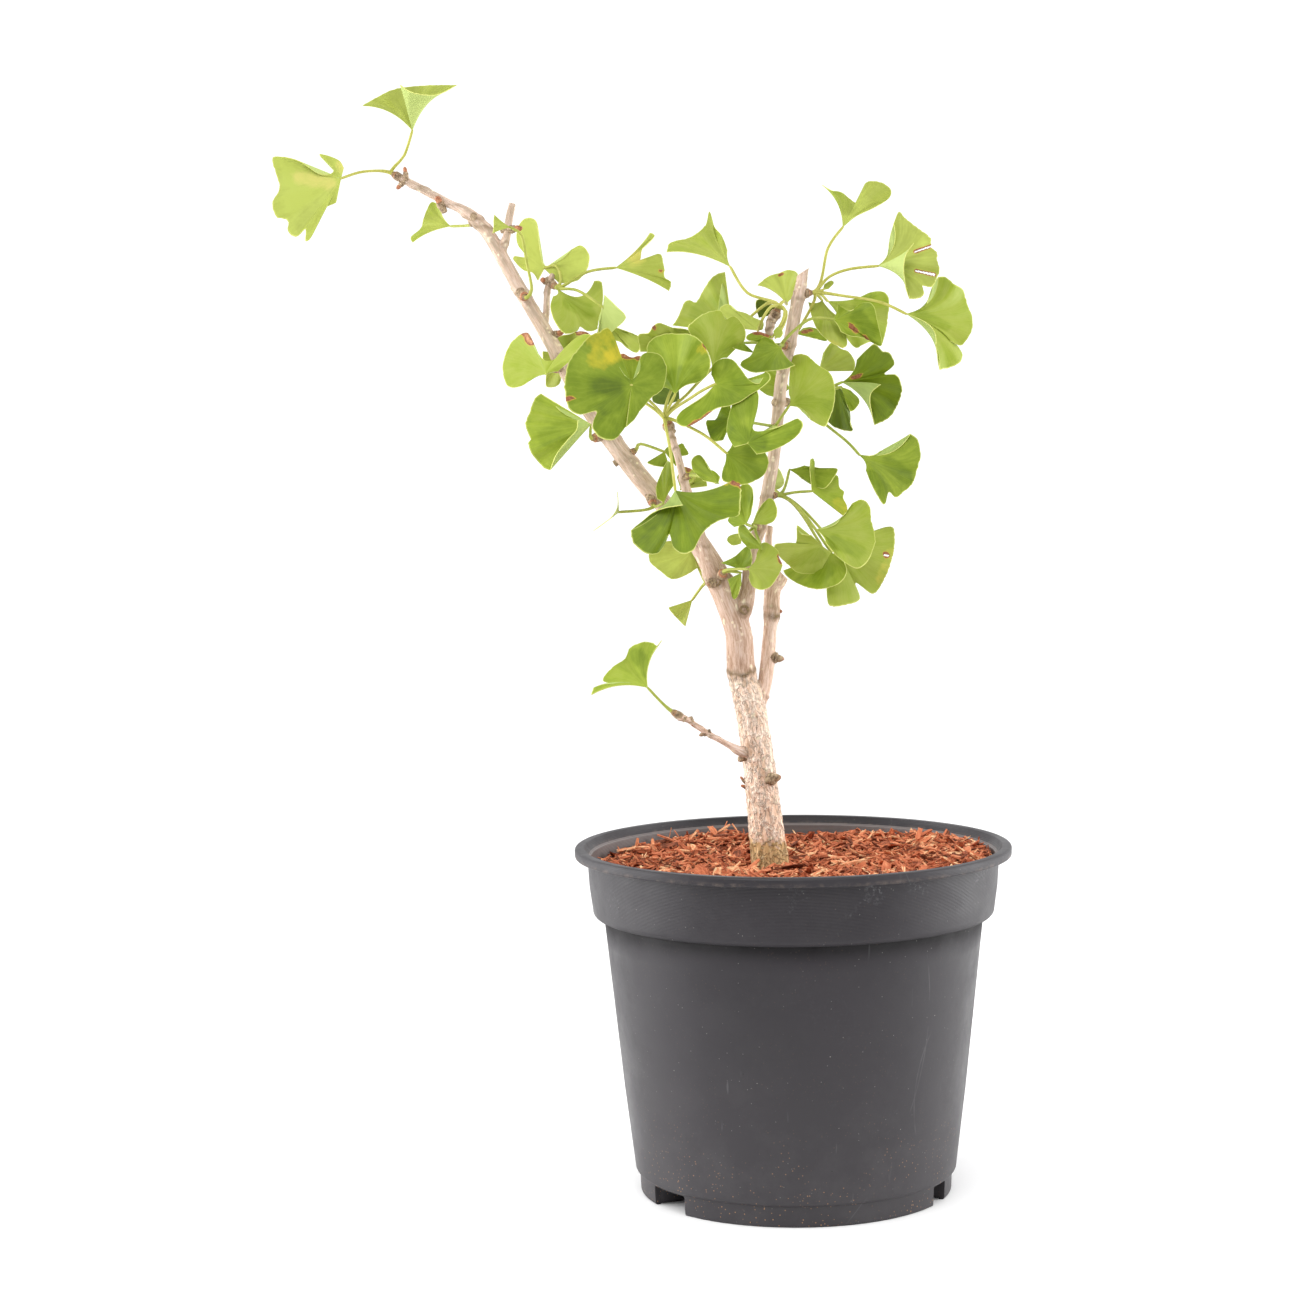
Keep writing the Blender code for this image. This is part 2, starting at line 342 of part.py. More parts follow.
    "left_a": dict(spur="leftspur", base=(-22, 412), depth=-62, lean=(-0.55, 0.45),
        rim=[(-29.5, 410), (-32.5, 415), (-33.5, 420.5), (-31.5, 430), (-27.5, 438.5), (-23, 442),
             (-18.5, 442.5), (-16, 438), (-17, 430), (-19.5, 422.5), (-17.5, 418.5), (-7.5, 420),
             (1, 423.5), (5.5, 425), (8, 421.5), (5, 416), (-2, 411), (-10.5, 407.5), (-17.5, 406)]),
    "left_b": dict(spur="leftspur", base=(0.5, 432), depth=-14, lean=(-0.5, 0.5),
        rim=[(0.5, 438), (1, 449), (2.5, 458), (6.5, 460), (11, 459), (16.5, 454), (23, 449.5),
             (25.5, 441.5), (25, 432.5), (22, 424), (19.5, 420.5), (12.5, 424)],
        last_flap=[(7.5, 429)]),
    "left_c": dict(spur="leftspur", base=(-30.5, 425), depth=-30, lean=(-0.55, 0.55),
        rim=[(-35.5, 414), (-41, 413.5), (-43.5, 418.5), (-44.5, 424.5), (-39.5, 425), (-36, 432),
             (-31.5, 433.5)]),
    "mid_a": dict(spur="midspur", base=(-20, 368), depth=-20, lean=(-0.55, 0.15),
        rim=[(-17.5, 374.5), (-14, 379.5), (-10.5, 382), (-8, 380), (-6.5, 374.5), (-8.5, 369.5),
             (-13, 367.5)]),
    "mid_b": dict(spur="midspur", base=(-23.5, 368), depth=-36, lean=(-0.55, 0.45),
        rim=[(-30, 366.5), (-33.5, 370.5), (-28, 376), (-26.5, 384), (-26.5, 388.5), (-23, 390),
             (-20, 387.5), (-19.5, 381), (-21, 373.5)]),
    "mid_c": dict(spur="midspur", base=(-15, 354.5), depth=-25, lean=(0.5, -0.2),
        rim=[(-22, 354.5), (-26.5, 359.5), (-28, 365), (-26, 368.5), (-20.5, 362.5), (-16.5, 357.5)]),
    "mid_d": dict(spur="midspur", base=(-26, 361), depth=-12, lean=(-0.45, 0.55),
        rim=[(-26.5, 357.5), (-31, 356.5), (-34, 359), (-33.5, 361), (-31, 362.5), (-26.5, 363)]),
    "right_a": dict(spur="rightspur", base=(0.5, 397.5), depth=10, lean=(-0.35, 0.5),
        rim=[(8.5, 399.5), (18, 398), (26.5, 397.5), (24, 392), (19.5, 387), (13.5, 388.5), (7, 392.5)]),
    "right_b": dict(spur="rightspur", base=(12.5, 385.5), depth=-3, lean=(0.55, 0.55), stalk=[(3, 385)],
        rim=[(11.5, 397), (12, 403), (14, 402), (14.5, 393), (20, 387.5), (25.5, 394), (27, 392.5),
             (27.5, 387.5), (30, 385), (29.5, 381.5), (31.5, 377), (31.5, 371), (26.5, 374.5), (20, 380.5)]),
    "right_c": dict(spur="rightspur", base=(14.5, 364.5), depth=-22, lean=(0, 0.55),
        rim=[(34.5, 378.5), (39.5, 380.5), (43.5, 377.5), (45, 368), (47, 358.5), (45, 351.5),
             (41.5, 345.5), (36.5, 343), (30, 346.5), (24, 352), (20, 357)],
        first_flap=[(30.5, 373), (25.5, 367.5)]),
    "right_d": dict(spur="rightspur", base=(25, 356), depth=0, lean=(0.3, 0.35),
        rim=[(46.5, 363.5), (56.5, 365), (57, 353), (54, 342), (49.5, 333), (45, 329), (36, 335), (38, 326),
             (30, 323), (21.5, 323), (20, 331.5)]),
    "right_e": dict(spur="rightspur", base=(17.5, 356), depth=-16, lean=(0.3, -0.5),
        rim=[(19.5, 346.5), (15.5, 342.5), (7, 341), (-1, 342), (-6, 348), (-8, 355.5), (0, 357.5),
             (3.5, 359), (4, 367), (6.5, 362), (12, 361)]),
    "right_f": dict(spur="rightspur", base=(23, 352), depth=-9, lean=(-0.6, 0.5),
        rim=[(30, 346.5), (31, 340.5), (27, 335), (20.5, 332.5), (13.5, 332), (5.5, 334.5), (-1.5, 339),
             (-3.5, 342.5)]),
    "right_g": dict(spur="rightspur", base=(-10, 388), depth=15, lean=(-0.55, -0.2),
        rim=[(-8, 400), (-5, 397.5), (-2.5, 391), (-4.5, 387.5), (-8, 386.5)]),
}


def sighted(x, z, depth):
    """The point drawn at x, z on the front sheet, moved back by depth along the line of sight."""
    on_sheet = Vector((x, 0, z)) * MM
    return EYE + (on_sheet - EYE) * (1 - depth * MM / EYE.y)


def clear_scene():
    for obj in list(bpy.data.objects):
        bpy.data.objects.remove(obj, do_unlink=True)


def collection_of(name):
    made = bpy.data.collections.new(name)
    bpy.context.scene.collection.children.link(made)
    return made


def material(name, colour, roughness, metallic=0.0):
    made = bpy.data.materials.new(name)
    made.use_nodes = True
    shader = made.node_tree.nodes["Principled BSDF"]
    shader.inputs["Base Color"].default_value = (*colour, 1)
    shader.inputs["Roughness"].default_value = roughness
    shader.inputs["Metallic"].default_value = metallic
    made.diffuse_color = (*colour, 1)
    return made


def add_object(name, mesh, collection):
    obj = bpy.data.objects.new(name, mesh)
    collection.objects.link(obj)
    return obj


def settle(obj, weld=1e-6):
    """Turns an object with its modifiers, or a curve, into a plain welded mesh object."""
    graph = bpy.context.evaluated_depsgraph_get()
    mesh = bpy.data.meshes.new_from_object(obj.evaluated_get(graph))
    work = bmesh.new()
    work.from_mesh(mesh)
    bmesh.ops.remove_doubles(work, verts=work.verts, dist=weld)
    bmesh.ops.recalc_face_normals(work, faces=work.faces)
    work.to_mesh(mesh)
    work.free()
    name, place, home = obj.name, obj.matrix_world.copy(), obj.users_collection[0]
    bpy.data.objects.remove(obj, do_unlink=True)
    settled = add_object(name, mesh, home)
    settled.name = name
    settled.matrix_world = place
    return settled


def tube(name, points, radii, collection, sides):
    """A tube with flat ends along straight runs between points, with its own radius at each."""
    curve = bpy.data.curves.new(name, "CURVE")
    curve.dimensions = "3D"
    curve.bevel_depth = 1.0
    curve.bevel_resolution = (sides - 4) // 2
    curve.use_fill_caps = True
    spline = curve.splines.new("POLY")
    spline.points.add(len(points) - 1)
    for knot, point, radius in zip(spline.points, points, radii):
        knot.co = (*point, 1)
        knot.radius = radius
    return settle(add_object(name, curve, collection))


def fuse(body, pieces, solver="EXACT"):
    """Joins pieces that overlap the body into it by one Boolean union, and removes them."""
    bits = collection_of("bits")
    for piece in pieces:
        piece.users_collection[0].objects.unlink(piece)
        bits.objects.link(piece)
    union = body.modifiers.new("fuse", "BOOLEAN")
    union.operation = "UNION"
    union.operand_type = "COLLECTION"
    union.collection = bits
    union.solver = solver
    if solver == "EXACT":
        union.use_self = True
    joined = settle(body)
    for piece in list(bits.objects):
        bpy.data.objects.remove(piece, do_unlink=True)
    bpy.data.collections.remove(bits)
    return joined


def cut(body, cutter, cutters):
    """Cuts the cutter out of the body and keeps it as a wire helper."""
    cutter.users_collection[0].objects.unlink(cutter)
    cutters.objects.link(cutter)
    cutter.hide_render = True
    cutter.display_type = "WIRE"
    knife = body.modifiers.new("cut_" + cutter.name, "BOOLEAN")
    knife.operation = "DIFFERENCE"
    knife.object = cutter
    return knife


def turned(name, profile, collection):
    """A solid of revolution about Z from a profile of (radius, height) pairs."""
    mesh = bpy.data.meshes.new(name)
    edges = [(i, i + 1) for i in range(len(profile) - 1)]
    mesh.from_pydata([(r, 0, z) for r, z in profile], edges, [])
    obj = add_object(name, mesh, collection)
    screw = obj.modifiers.new("turn", "SCREW")
    screw.steps = TURN_STEPS
    screw.render_steps = TURN_STEPS
    screw.use_merge_vertices = True
    screw.merge_threshold = 0.0001
    return obj


def arc(centre_r, centre_z, radius, start, end, count):
    """Points of a round stretch of a profile, from angle start to angle end in degrees."""
    angles = [math.radians(start + (end - start) * i / (count - 1)) for i in range(count)]
    return [(centre_r + radius * math.cos(a), centre_z + radius * math.sin(a)) for a in angles]


# Pot


def inner_radius(z):
    """Inside of the wall, for a height above the floor of the pot."""
    if z > COLLAR_BOTTOM_HEIGHT + WALL:
        share = (z - COLLAR_BOTTOM_HEIGHT) / (POT_HEIGHT - LIP_HEIGHT - COLLAR_BOTTOM_HEIGHT)
        return COLLAR_BOTTOM_RADIUS + (COLLAR_TOP_RADIUS - COLLAR_BOTTOM_RADIUS) * share - WALL
    share = (z - FOOT_HEIGHT) / (COLLAR_BOTTOM_HEIGHT - FOOT_HEIGHT)
    return BODY_BOTTOM_RADIUS + (BODY_TOP_RADIUS - BODY_BOTTOM_RADIUS) * share - WALL


def pot_profile():
    rim = RIM_DIAMETER / 2
    lip_bottom = POT_HEIGHT - LIP_HEIGHT
    floor_top = FOOT_HEIGHT + FLOOR_THICKNESS
    shelf = COLLAR_BOTTOM_HEIGHT + WALL
    corner = 0.0030
    inside = [
        (0, floor_top),
        (inner_radius(floor_top) - corner, floor_top),
        (inner_radius(floor_top + corner), floor_top + corner),
        (inner_radius(shelf), shelf),
        (inner_radius(shelf + SHELF_RISE), shelf + SHELF_RISE),
        (inner_radius(lip_bottom), lip_bottom),
    ]
    lip = [(COLLAR_TOP_RADIUS - WALL + 0.0012, POT_HEIGHT - 0.0016)]
    lip += arc(rim - 0.0062, POT_HEIGHT - 0.0014, 0.0014, 130, 70, 2)
    lip += arc(rim - 0.0026, POT_HEIGHT - 0.0027, 0.0026, 70, -60, 4)
    under_lip = [(rim - 0.0034, lip_bottom), (COLLAR_TOP_RADIUS, lip_bottom)]
    collar = arc(COLLAR_BOTTOM_RADIUS - 0.0040, COLLAR_BOTTOM_HEIGHT + 0.0044, 0.0040, 5, -75, 3)
    body = [(BODY_TOP_RADIUS, COLLAR_BOTTOM_HEIGHT - 0.0006)]
    body += arc(BODY_BOTTOM_RADIUS - 0.0030, FOOT_HEIGHT + 0.0034, 0.0030, 0, -70, 3)
    foot = [
        (FOOT_RADIUS, FOOT_HEIGHT - 0.0004),
        (FOOT_RADIUS - 0.0006, 0),
        (FOOT_RADIUS - FOOT_WALL, 0),
        (FOOT_RADIUS - FOOT_WALL, FOOT_HEIGHT),
        (0, FOOT_HEIGHT),
    ]
    return inside + lip + under_lip + collar + body + foot


def around(radius, degrees, z):
    """A point round the pot's axis, at an angle counted from the front towards the right."""
    angle = math.radians(degrees)
    return Vector((radius * math.sin(angle), -radius * math.cos(angle), z))


def make_pot(parts, cutters):
    pot = turned("pot", pot_profile(), parts)
    for number, angle in enumerate(NOTCH_ANGLES):
        bpy.ops.mesh.primitive_cube_add(size=1, location=around(FOOT_RADIUS - 0.001, angle, FOOT_HEIGHT / 2))
        notch = bpy.context.object
        notch.name = f"foot_notch_{number}"
        notch.rotation_euler.z = math.radians(angle)
        notch.scale = (NOTCH_WIDTH, 4 * FOOT_WALL, FOOT_HEIGHT)
        notch.location.z -= 0.0004
        cut(pot, notch, cutters)
    for number in range(DRAIN_COUNT):
        angle = 360 * number / DRAIN_COUNT
        place = around(0.66 * FOOT_RADIUS, angle, FOOT_HEIGHT)
        bpy.ops.mesh.primitive_cylinder_add(vertices=12, radius=DRAIN_RADIUS, depth=0.012, location=place)
        drain = bpy.context.object
        drain.name = f"drain_{number}"
        cut(pot, drain, cutters)
    pot.data.materials.append(material("pot_plastic", (0.068, 0.068, 0.073), 0.5))
    return pot


# Soil and mulch


def make_soil(parts):
    floor_top = FOOT_HEIGHT + FLOOR_THICKNESS + TOUCH_GAP
    shelf = COLLAR_BOTTOM_HEIGHT + WALL
    chamfer = 0.0032
    profile = [
        (0, SOIL_TOP),
        (inner_radius(SOIL_TOP) - TOUCH_GAP, SOIL_TOP),
        (inner_radius(shelf + SHELF_RISE) - TOUCH_GAP, shelf + SHELF_RISE + 2 * TOUCH_GAP),
        (inner_radius(shelf) - TOUCH_GAP, shelf + 2 * TOUCH_GAP),
        (inner_radius(floor_top + chamfer) - TOUCH_GAP, floor_top + chamfer),
        (inner_radius(floor_top) - chamfer - TOUCH_GAP, floor_top),
        (0, floor_top),
    ]
    soil = turned("soil", profile, parts)
    soil.data.materials.append(material("potting_soil", (0.045, 0.028, 0.018), 0.95))
    return soil


def mulch_height(r):
    """Height of the mulch at a distance from the pot's axis: a low crown that falls to the wall."""
    return MULCH_EDGE_HEIGHT + MULCH_CROWN * (1 - (r / inner_radius(MULCH_EDGE_HEIGHT)) ** 2)


def make_mulch(parts):
    """The layer of shredded bark: a crowned, uneven bed with chips lying on it, some on end."""
    edge = inner_radius(MULCH_EDGE_HEIGHT) - TOUCH_GAP
    bed_bottom = SOIL_TOP + TOUCH_GAP
    profile = [(r, mulch_height(r)) for r in (edge * i / MULCH_RINGS for i in range(MULCH_RINGS))]
    profile += [(edge, MULCH_EDGE_HEIGHT), (inner_radius(bed_bottom) - TOUCH_GAP, bed_bottom), (0, bed_bottom)]
    bed = settle(turned("bark_mulch", profile, parts))
    trunk_foot = sighted(*LIMBS["trunk"][3][:3])
    draw = random.Random(5)
    for vert in bed.data.vertices:
        if vert.co.z > MULCH_EDGE_HEIGHT + MM:
            vert.co.z += draw.uniform(-MULCH_ROUGHNESS, MULCH_ROUGHNESS)
    chips = []
    for number in range(CHIP_COUNT):
        r = (edge - CHIP_LENGTH[1] * 0.6) * math.sqrt(draw.random())
        place = around(r, draw.uniform(0, 360), mulch_height(r) + draw.uniform(-0.0002, 0.0012))
        if math.hypot(place.x - trunk_foot.x, place.y - trunk_foot.y) < CHIP_CLEAR_OF_TRUNK:
            continue
        size = [draw.uniform(*limits) for limits in (CHIP_LENGTH, CHIP_WIDTH, CHIP_THICKNESS)]
        on_end = draw.random() < CHIPS_ON_END
        pitch = math.radians(draw.uniform(35, 75) if on_end else draw.uniform(-14, 14))
        turn = Matrix.Rotation(draw.uniform(0, math.tau), 4, "Z") @ Matrix.Rotation(pitch, 4, "Y")
        turn = turn @ Matrix.Rotation(math.radians(draw.uniform(-25, 25)), 4, "X")
        bpy.ops.mesh.primitive_cube_add(size=1)
        chip = bpy.context.object
        chip.name = f"chip_{number}"
        chip.matrix_world = Matrix.Translation(place) @ turn @ Matrix.Diagonal((*size, 1))
        chips.append(chip)
    mulch = fuse(bed, chips, "MANIFOLD")
    mulch.data.materials.append(material("bark_chips", (0.36, 0.13, 0.06), 0.85))
    return mulch


# Wood


def limb_route(stops):
    """The places and radii of a limb's stops, in metres."""
    return [sighted(x, z, depth) for x, z, depth, r in stops], [r * MM for x, z, depth, r in stops]


def make_wood(parts, cutters, fill):
    """The grown wood, all one piece: trunk, boughs, shoots, spurs and closed buds."""
    points, radii = limb_route(LIMBS["trunk"])
    sunk = [points[0] - Vector((0, 0, TOUCH_GAP))] + points[1:5]
    for filler in fill:
        sleeve = tube(filler.name + "_trunk_hole", sunk, [r + HOLE_GAP for r in radii[:5]], parts, 12)
        cut(filler, sleeve, cutters)
    trunk = tube("tree", points, radii, parts, 12)
    pieces = []
    for name, route in LIMBS.items():
        if name != "trunk":
            points, radii = limb_route(route)
            sides = 8 if max(radii) > THIN_LIMB else 6
            pieces.append(tube(name, points, radii, parts, sides))
    for name, (root, end, radius) in SPURS.items():
        root, end = sighted(*root), sighted(*end)
        middle = root.lerp(end, 0.62)
        swell = [0.85, 1.15, 0.95]
        pieces.append(tube("spur_" + name, [root, middle, end], [radius * MM * s for s in swell], parts, 6))
    for number, (root, tip, radius) in enumerate(BUDS):
        root, tip = sighted(*root), sighted(*tip)
        reach = (tip - root).normalized() * radius * MM
        stops = [root - reach * 1.4, tip, tip + reach * 0.8]
        swell = [1.0, 0.8, 0.3]
        pieces.append(tube(f"bud_{number}", stops, [radius * MM * s for s in swell], parts, 6))
    tree = fuse(trunk, pieces)
    tree.data.materials.append(material("ginkgo_bark", (0.56, 0.42, 0.31), 0.8))
    return tree


# Leaves


def smooth_between(stops, share, lead=None):
    """A point on the smooth curve through the stops; share counts stops from 0. Lead is a stop before them."""
    i = min(int(share), len(stops) - 2)
    t = share - i
    a = stops[i - 1] if i else lead or stops[0]
    b, c, d = stops[i], stops[i + 1], stops[min(i + 2, len(stops) - 1)]
    return 0.5 * (2 * b + (c - a) * t + (2 * a - 5 * b + 4 * c - d) * t ** 2 + (3 * b - a - 3 * c + d) * t ** 3)


def leaf_depth(leaf, x, z):
    """Depth of the leaf's own plane at a place on the front sheet."""
    base_x, base_z = leaf["base"]
    lean_x, lean_z = leaf.get("lean", (0, 0))
    return leaf["depth"] + lean_x * (x - base_x) + lean_z * (z - base_z)


def leaf_base(leaf):
    return sighted(*leaf["base"], leaf["depth"])


def rim_line(leaf):
    """The stops of the leaf's open margin, in space."""
    return [sighted(x, z, leaf_depth(leaf, x, z) + sum(more)) for x, z, *more in leaf["rim"]]


def flap_line(leaf, key):
    """The stops of a folded flap, from the fold's corner on. It opens towards the viewer from the fold."""
    corner = leaf["rim"][0 if key == "first_flap" else -1]
    base_x, base_z = leaf["base"]
    fold = Vector((corner[0] - base_x, corner[1] - base_z)).normalized()
    stops = []
    for x, z, *more in leaf[key]:
        off = abs(fold.cross(Vector((x - base_x, z - base_z))))
        stops.append(sighted(x, z, leaf_depth(leaf, x, z) + sum(more) - FLAP_LIFT * off))
    first = sighted(corner[0], corner[1], leaf_depth(leaf, *corner[:2]) + sum(corner[2:]))
    return [first] + stops


def leaf_axis(leaf):
    rim = rim_line(leaf)
    return (sum(rim, Vector()) / len(rim) - leaf_base(leaf)).normalized()


def sheet_of_leaf(name, base, stops, collection):
    """A thin sheet filled in between the base and a margin, smooth along its long stretches."""
    outline = [base]
    for i in range(len(stops) - 1):
        outline.append(stops[i])
        if (stops[i + 1] - stops[i]).length > LONG_RIM_STEP:
            outline.append(smooth_between(stops, i + 0.5))
    outline.append(stops[-1])
    work = bmesh.new()
    verts = [work.verts.new(point) for point in outline]
    edges = [work.edges.new((verts[i - 1], verts[i])) for i in range(len(verts))]
    bmesh.ops.triangle_fill(work, edges=edges, use_beauty=True)
    mesh = bpy.data.meshes.new(name)
    work.to_mesh(mesh)
    work.free()
    sheet = add_object(name, mesh, collection)
    shell = sheet.modifiers.new("thickness", "SOLIDIFY")
    shell.thickness = BLADE_THICKNESS
    shell.offset = 0
    return settle(sheet)


def make_blade(name, leaf, collection):
    """The open blade, and each folded flap as a sheet of its own that starts from the same fold."""
    base = leaf_base(leaf)
    sheets = [sheet_of_leaf(name, base, rim_line(leaf), collection)]
    for key in ("first_flap", "last_flap"):
        if key in leaf:
            sheets.append(sheet_of_leaf(name + "_flap", base, flap_line(leaf, key), collection))
    return sheets


def make_stalk(name, leaf, foot, collection):
    """The leaf's stalk: from inside the hub, by way of its own stops, into the foot of the blade."""
    seat, way = foot
    base = leaf_base(leaf)
    stops = [seat + way * HUB_HEIGHT * 0.42]
    bends = leaf.get("stalk", [])
    seat_depth = seat.y / MM
    for number, (x, z, *own) in enumerate(bends):
        share = (number + 1) / (len(bends) + 1)
        depth = own[0] if own else seat_depth + (leaf["depth"] - seat_depth) * share
        stops.append(sighted(x, z, depth))
    stops.append(base)
    lead = stops[1] - way * 1.6 * (stops[1] - stops[0]).length
    points = []
    for i in range(len(stops) - 1):
        count = 2 if (stops[i + 1] - stops[i]).length > STALK_STEP else 1
        points += [smooth_between(stops, i + k / count, lead) for k in range(count)]
    points += [base, base + leaf_axis(leaf) * STALK_GRIP]
    thick = [STALK_RADIUS] * (len(points) - 1) + [STALK_RADIUS * 0.8]
    return tube(name, points, thick, collection, 4)


def make_hub(name, spur, collection):
    """The green foot of a tuft, seated on the flat end of its woody spur."""
    root, end, radius = SPURS[spur]
    root, end = sighted(*root), sighted(*end)
    way = (end - root).normalized()
    seat = end + way * TOUCH_GAP
    hub = tube(name, [seat, seat + way * HUB_HEIGHT], [HUB_RADIUS, HUB_RADIUS * 0.62], collection, 8)
    return hub, (seat, way)


def make_tufts(parts):
    green = material("ginkgo_leaf", (0.30, 0.42, 0.07), 0.45)
    for spur in SPURS:
        name = "leaves_" + spur
        body, foot = make_hub(name, spur, parts)
        pieces = []
        for leaf_name, leaf in LEAVES.items():
            if leaf["spur"] == spur:
                pieces += make_blade("blade_" + leaf_name, leaf, parts)
                pieces.append(make_stalk("stalk_" + leaf_name, leaf, foot, parts))
        tuft = fuse(body, pieces, "MANIFOLD")
        tuft.data.materials.append(green)


def shade_round(parts):
    for obj in parts.objects:
        obj.data.shade_smooth()
        obj.data.set_sharp_from_angle(angle=math.radians(35))


def stand_at_origin(parts, cutters):
    """Parents all to an empty that puts the middle of the whole plant's footprint at the origin."""
    bpy.context.view_layer.update()
    corners = [obj.matrix_world @ Vector(corner) for obj in parts.objects for corner in obj.bound_box]
    low = [min(corner[i] for corner in corners) for i in range(3)]
    high = [max(corner[i] for corner in corners) for i in range(3)]
    plant = bpy.data.objects.new("ginkgo_bonsai", None)
    bpy.context.scene.collection.objects.link(plant)
    plant.location = (-(low[0] + high[0]) / 2, -(low[1] + high[1]) / 2, -low[2])
    for obj in [*parts.objects, *cutters.objects]:
        obj.parent = plant
    print("pot axis at", round(plant.location.x, 5), round(plant.location.y, 5))


def main():
    clear_scene()
    parts = collection_of("ginkgo_bonsai")
    cutters = collection_of("cutters")
    make_pot(parts, cutters)
    soil = make_soil(parts)
    mulch = make_mulch(parts)
    make_wood(parts, cutters, (soil, mulch))
    make_tufts(parts)
    stand_at_origin(parts, cutters)
    shade_round(parts)


main()
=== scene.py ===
# %% [markdown]
# # A young ginkgo, kept as a bonsai in a nursery pot
#
# A plain solid model of this plant already exists: a pot, its soil, a layer of shredded bark, the wood
# and twenty-one tufts of leaves. This lesson dresses that model. Each solid is either kept and given a
# better finish, or replaced by a finer piece in the same place. Everything is in metres, +Z is up, and
# the plant stands on z = 0.
#
# The solids come first, so that every later step can ask where they are. Their box is kept too, because
# the finished plant has to stay the size of the solid model.

import math
import random

import bpy
import numpy as np
from mathutils import Matrix, Vector, noise


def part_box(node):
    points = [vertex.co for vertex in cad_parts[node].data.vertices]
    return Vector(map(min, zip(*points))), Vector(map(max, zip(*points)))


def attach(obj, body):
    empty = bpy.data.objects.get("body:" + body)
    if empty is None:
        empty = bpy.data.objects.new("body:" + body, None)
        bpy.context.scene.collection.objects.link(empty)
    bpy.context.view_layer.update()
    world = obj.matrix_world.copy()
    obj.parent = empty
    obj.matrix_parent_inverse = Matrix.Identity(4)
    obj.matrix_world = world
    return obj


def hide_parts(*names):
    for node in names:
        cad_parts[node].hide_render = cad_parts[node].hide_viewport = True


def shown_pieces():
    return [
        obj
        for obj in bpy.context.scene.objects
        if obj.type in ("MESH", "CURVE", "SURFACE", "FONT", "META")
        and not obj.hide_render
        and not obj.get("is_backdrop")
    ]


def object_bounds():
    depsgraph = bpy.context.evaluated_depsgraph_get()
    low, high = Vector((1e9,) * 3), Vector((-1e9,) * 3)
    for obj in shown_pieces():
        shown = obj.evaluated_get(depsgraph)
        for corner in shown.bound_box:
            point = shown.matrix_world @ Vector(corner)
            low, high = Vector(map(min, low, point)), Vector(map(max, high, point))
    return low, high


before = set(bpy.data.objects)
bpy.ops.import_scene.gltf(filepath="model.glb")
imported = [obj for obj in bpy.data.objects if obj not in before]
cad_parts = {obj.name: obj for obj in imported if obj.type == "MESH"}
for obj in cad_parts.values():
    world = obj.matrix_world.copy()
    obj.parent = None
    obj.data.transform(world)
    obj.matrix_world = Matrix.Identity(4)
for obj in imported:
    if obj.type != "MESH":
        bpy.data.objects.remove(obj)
solid_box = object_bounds()
MM = 0.001
print(len(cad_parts), "solids, box", [[round(v, 4) for v in corner] for corner in solid_box])

# %% [markdown]
# ## The sheet that the tree was drawn on
#
# The solid model was drawn in millimetres on an upright sheet through the pot's axis: x to the right of
# the axis, z above the floor, and a depth that is positive away from the viewer. The depth slides a
# point along the line of sight, so that the front view keeps its drawing however deep a leaf hangs.
# The finer pieces use the same sheet, so they land where the solids are. The pot's own box gives the axis.

# %% Find the pot's axis and set up the sheet
pot_low, pot_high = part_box("pot")
AXIS = Vector(((pot_low.x + pot_high.x) / 2, (pot_low.y + pot_high.y) / 2, 0))
EYE = AXIS + Vector((-0.077, -1.605, 0.429))


def sighted(x, z, depth=0.0):
    """The place drawn at x, z on the sheet, moved back by depth along the line of sight."""
    on_sheet = AXIS + Vector((x, 0, z)) * MM
    return EYE + (on_sheet - EYE) * (1 + depth * MM / (AXIS.y - EYE.y))


print("pot axis at", round(AXIS.x, 5), round(AXIS.y, 5))

# %% [markdown]
# ## The camera
#
# The viewer stands about 1.6 m in front of the plant, with the eye near the middle of the crown, and
# looks down by four and a half degrees through a long lens. A camera looks along its own -Z, so its
# matrix is made of three directions: right, up and backwards. A small roll levels the picture as the
# real one was.

# %% Stand the camera in front of the plant
LENS_MM = 81.38
LOOK_DOWN = math.radians(4.602)
ROLL = math.radians(-0.793)

ahead = Vector((0, math.cos(LOOK_DOWN), -math.sin(LOOK_DOWN)))
level = Vector((1, 0, 0))
above = level.cross(ahead)
to_right = level * math.cos(ROLL) + above * math.sin(ROLL)
to_top = above * math.cos(ROLL) - level * math.sin(ROLL)

bpy.ops.object.camera_add(location=EYE)
camera = bpy.context.object
camera.name = "camera"
camera.matrix_world = Matrix.Translation(EYE) @ Matrix((to_right, to_top, -ahead)).transposed().to_4x4()
camera.data.lens = LENS_MM
camera.data.sensor_width = 36
camera.data.clip_start = 0.05
bpy.context.scene.camera = camera
print("camera", round((EYE - AXIS).length, 3), "m from the foot of the plant")

# %% [markdown]
# ## Habits for working on a mesh
#
# An operator acts on everything that is selected, so each step first clears the selection and then
# picks what it needs. These helpers do that, bake an object's place into its mesh, apply its modifiers
# in order, copy and smooth a piece, and store numbers on its points for its finish to read. The last one
# hands a finished piece to the frame: it rides on the plant's only body and stands for a solid, which is
# hidden.

# %% Helpers for selecting and finishing
def pick(*objects):
    """Selects only these objects, the first one active."""
    bpy.ops.object.select_all(action="DESELECT")
    for obj in objects:
        obj.select_set(True)
    bpy.context.view_layer.objects.active = objects[0]


def mode(name, selected=None):
    """Goes to edit or object mode, and there selects all or nothing of the mesh."""
    bpy.ops.object.mode_set(mode=name)
    if selected:
        bpy.ops.mesh.select_all(action=selected)


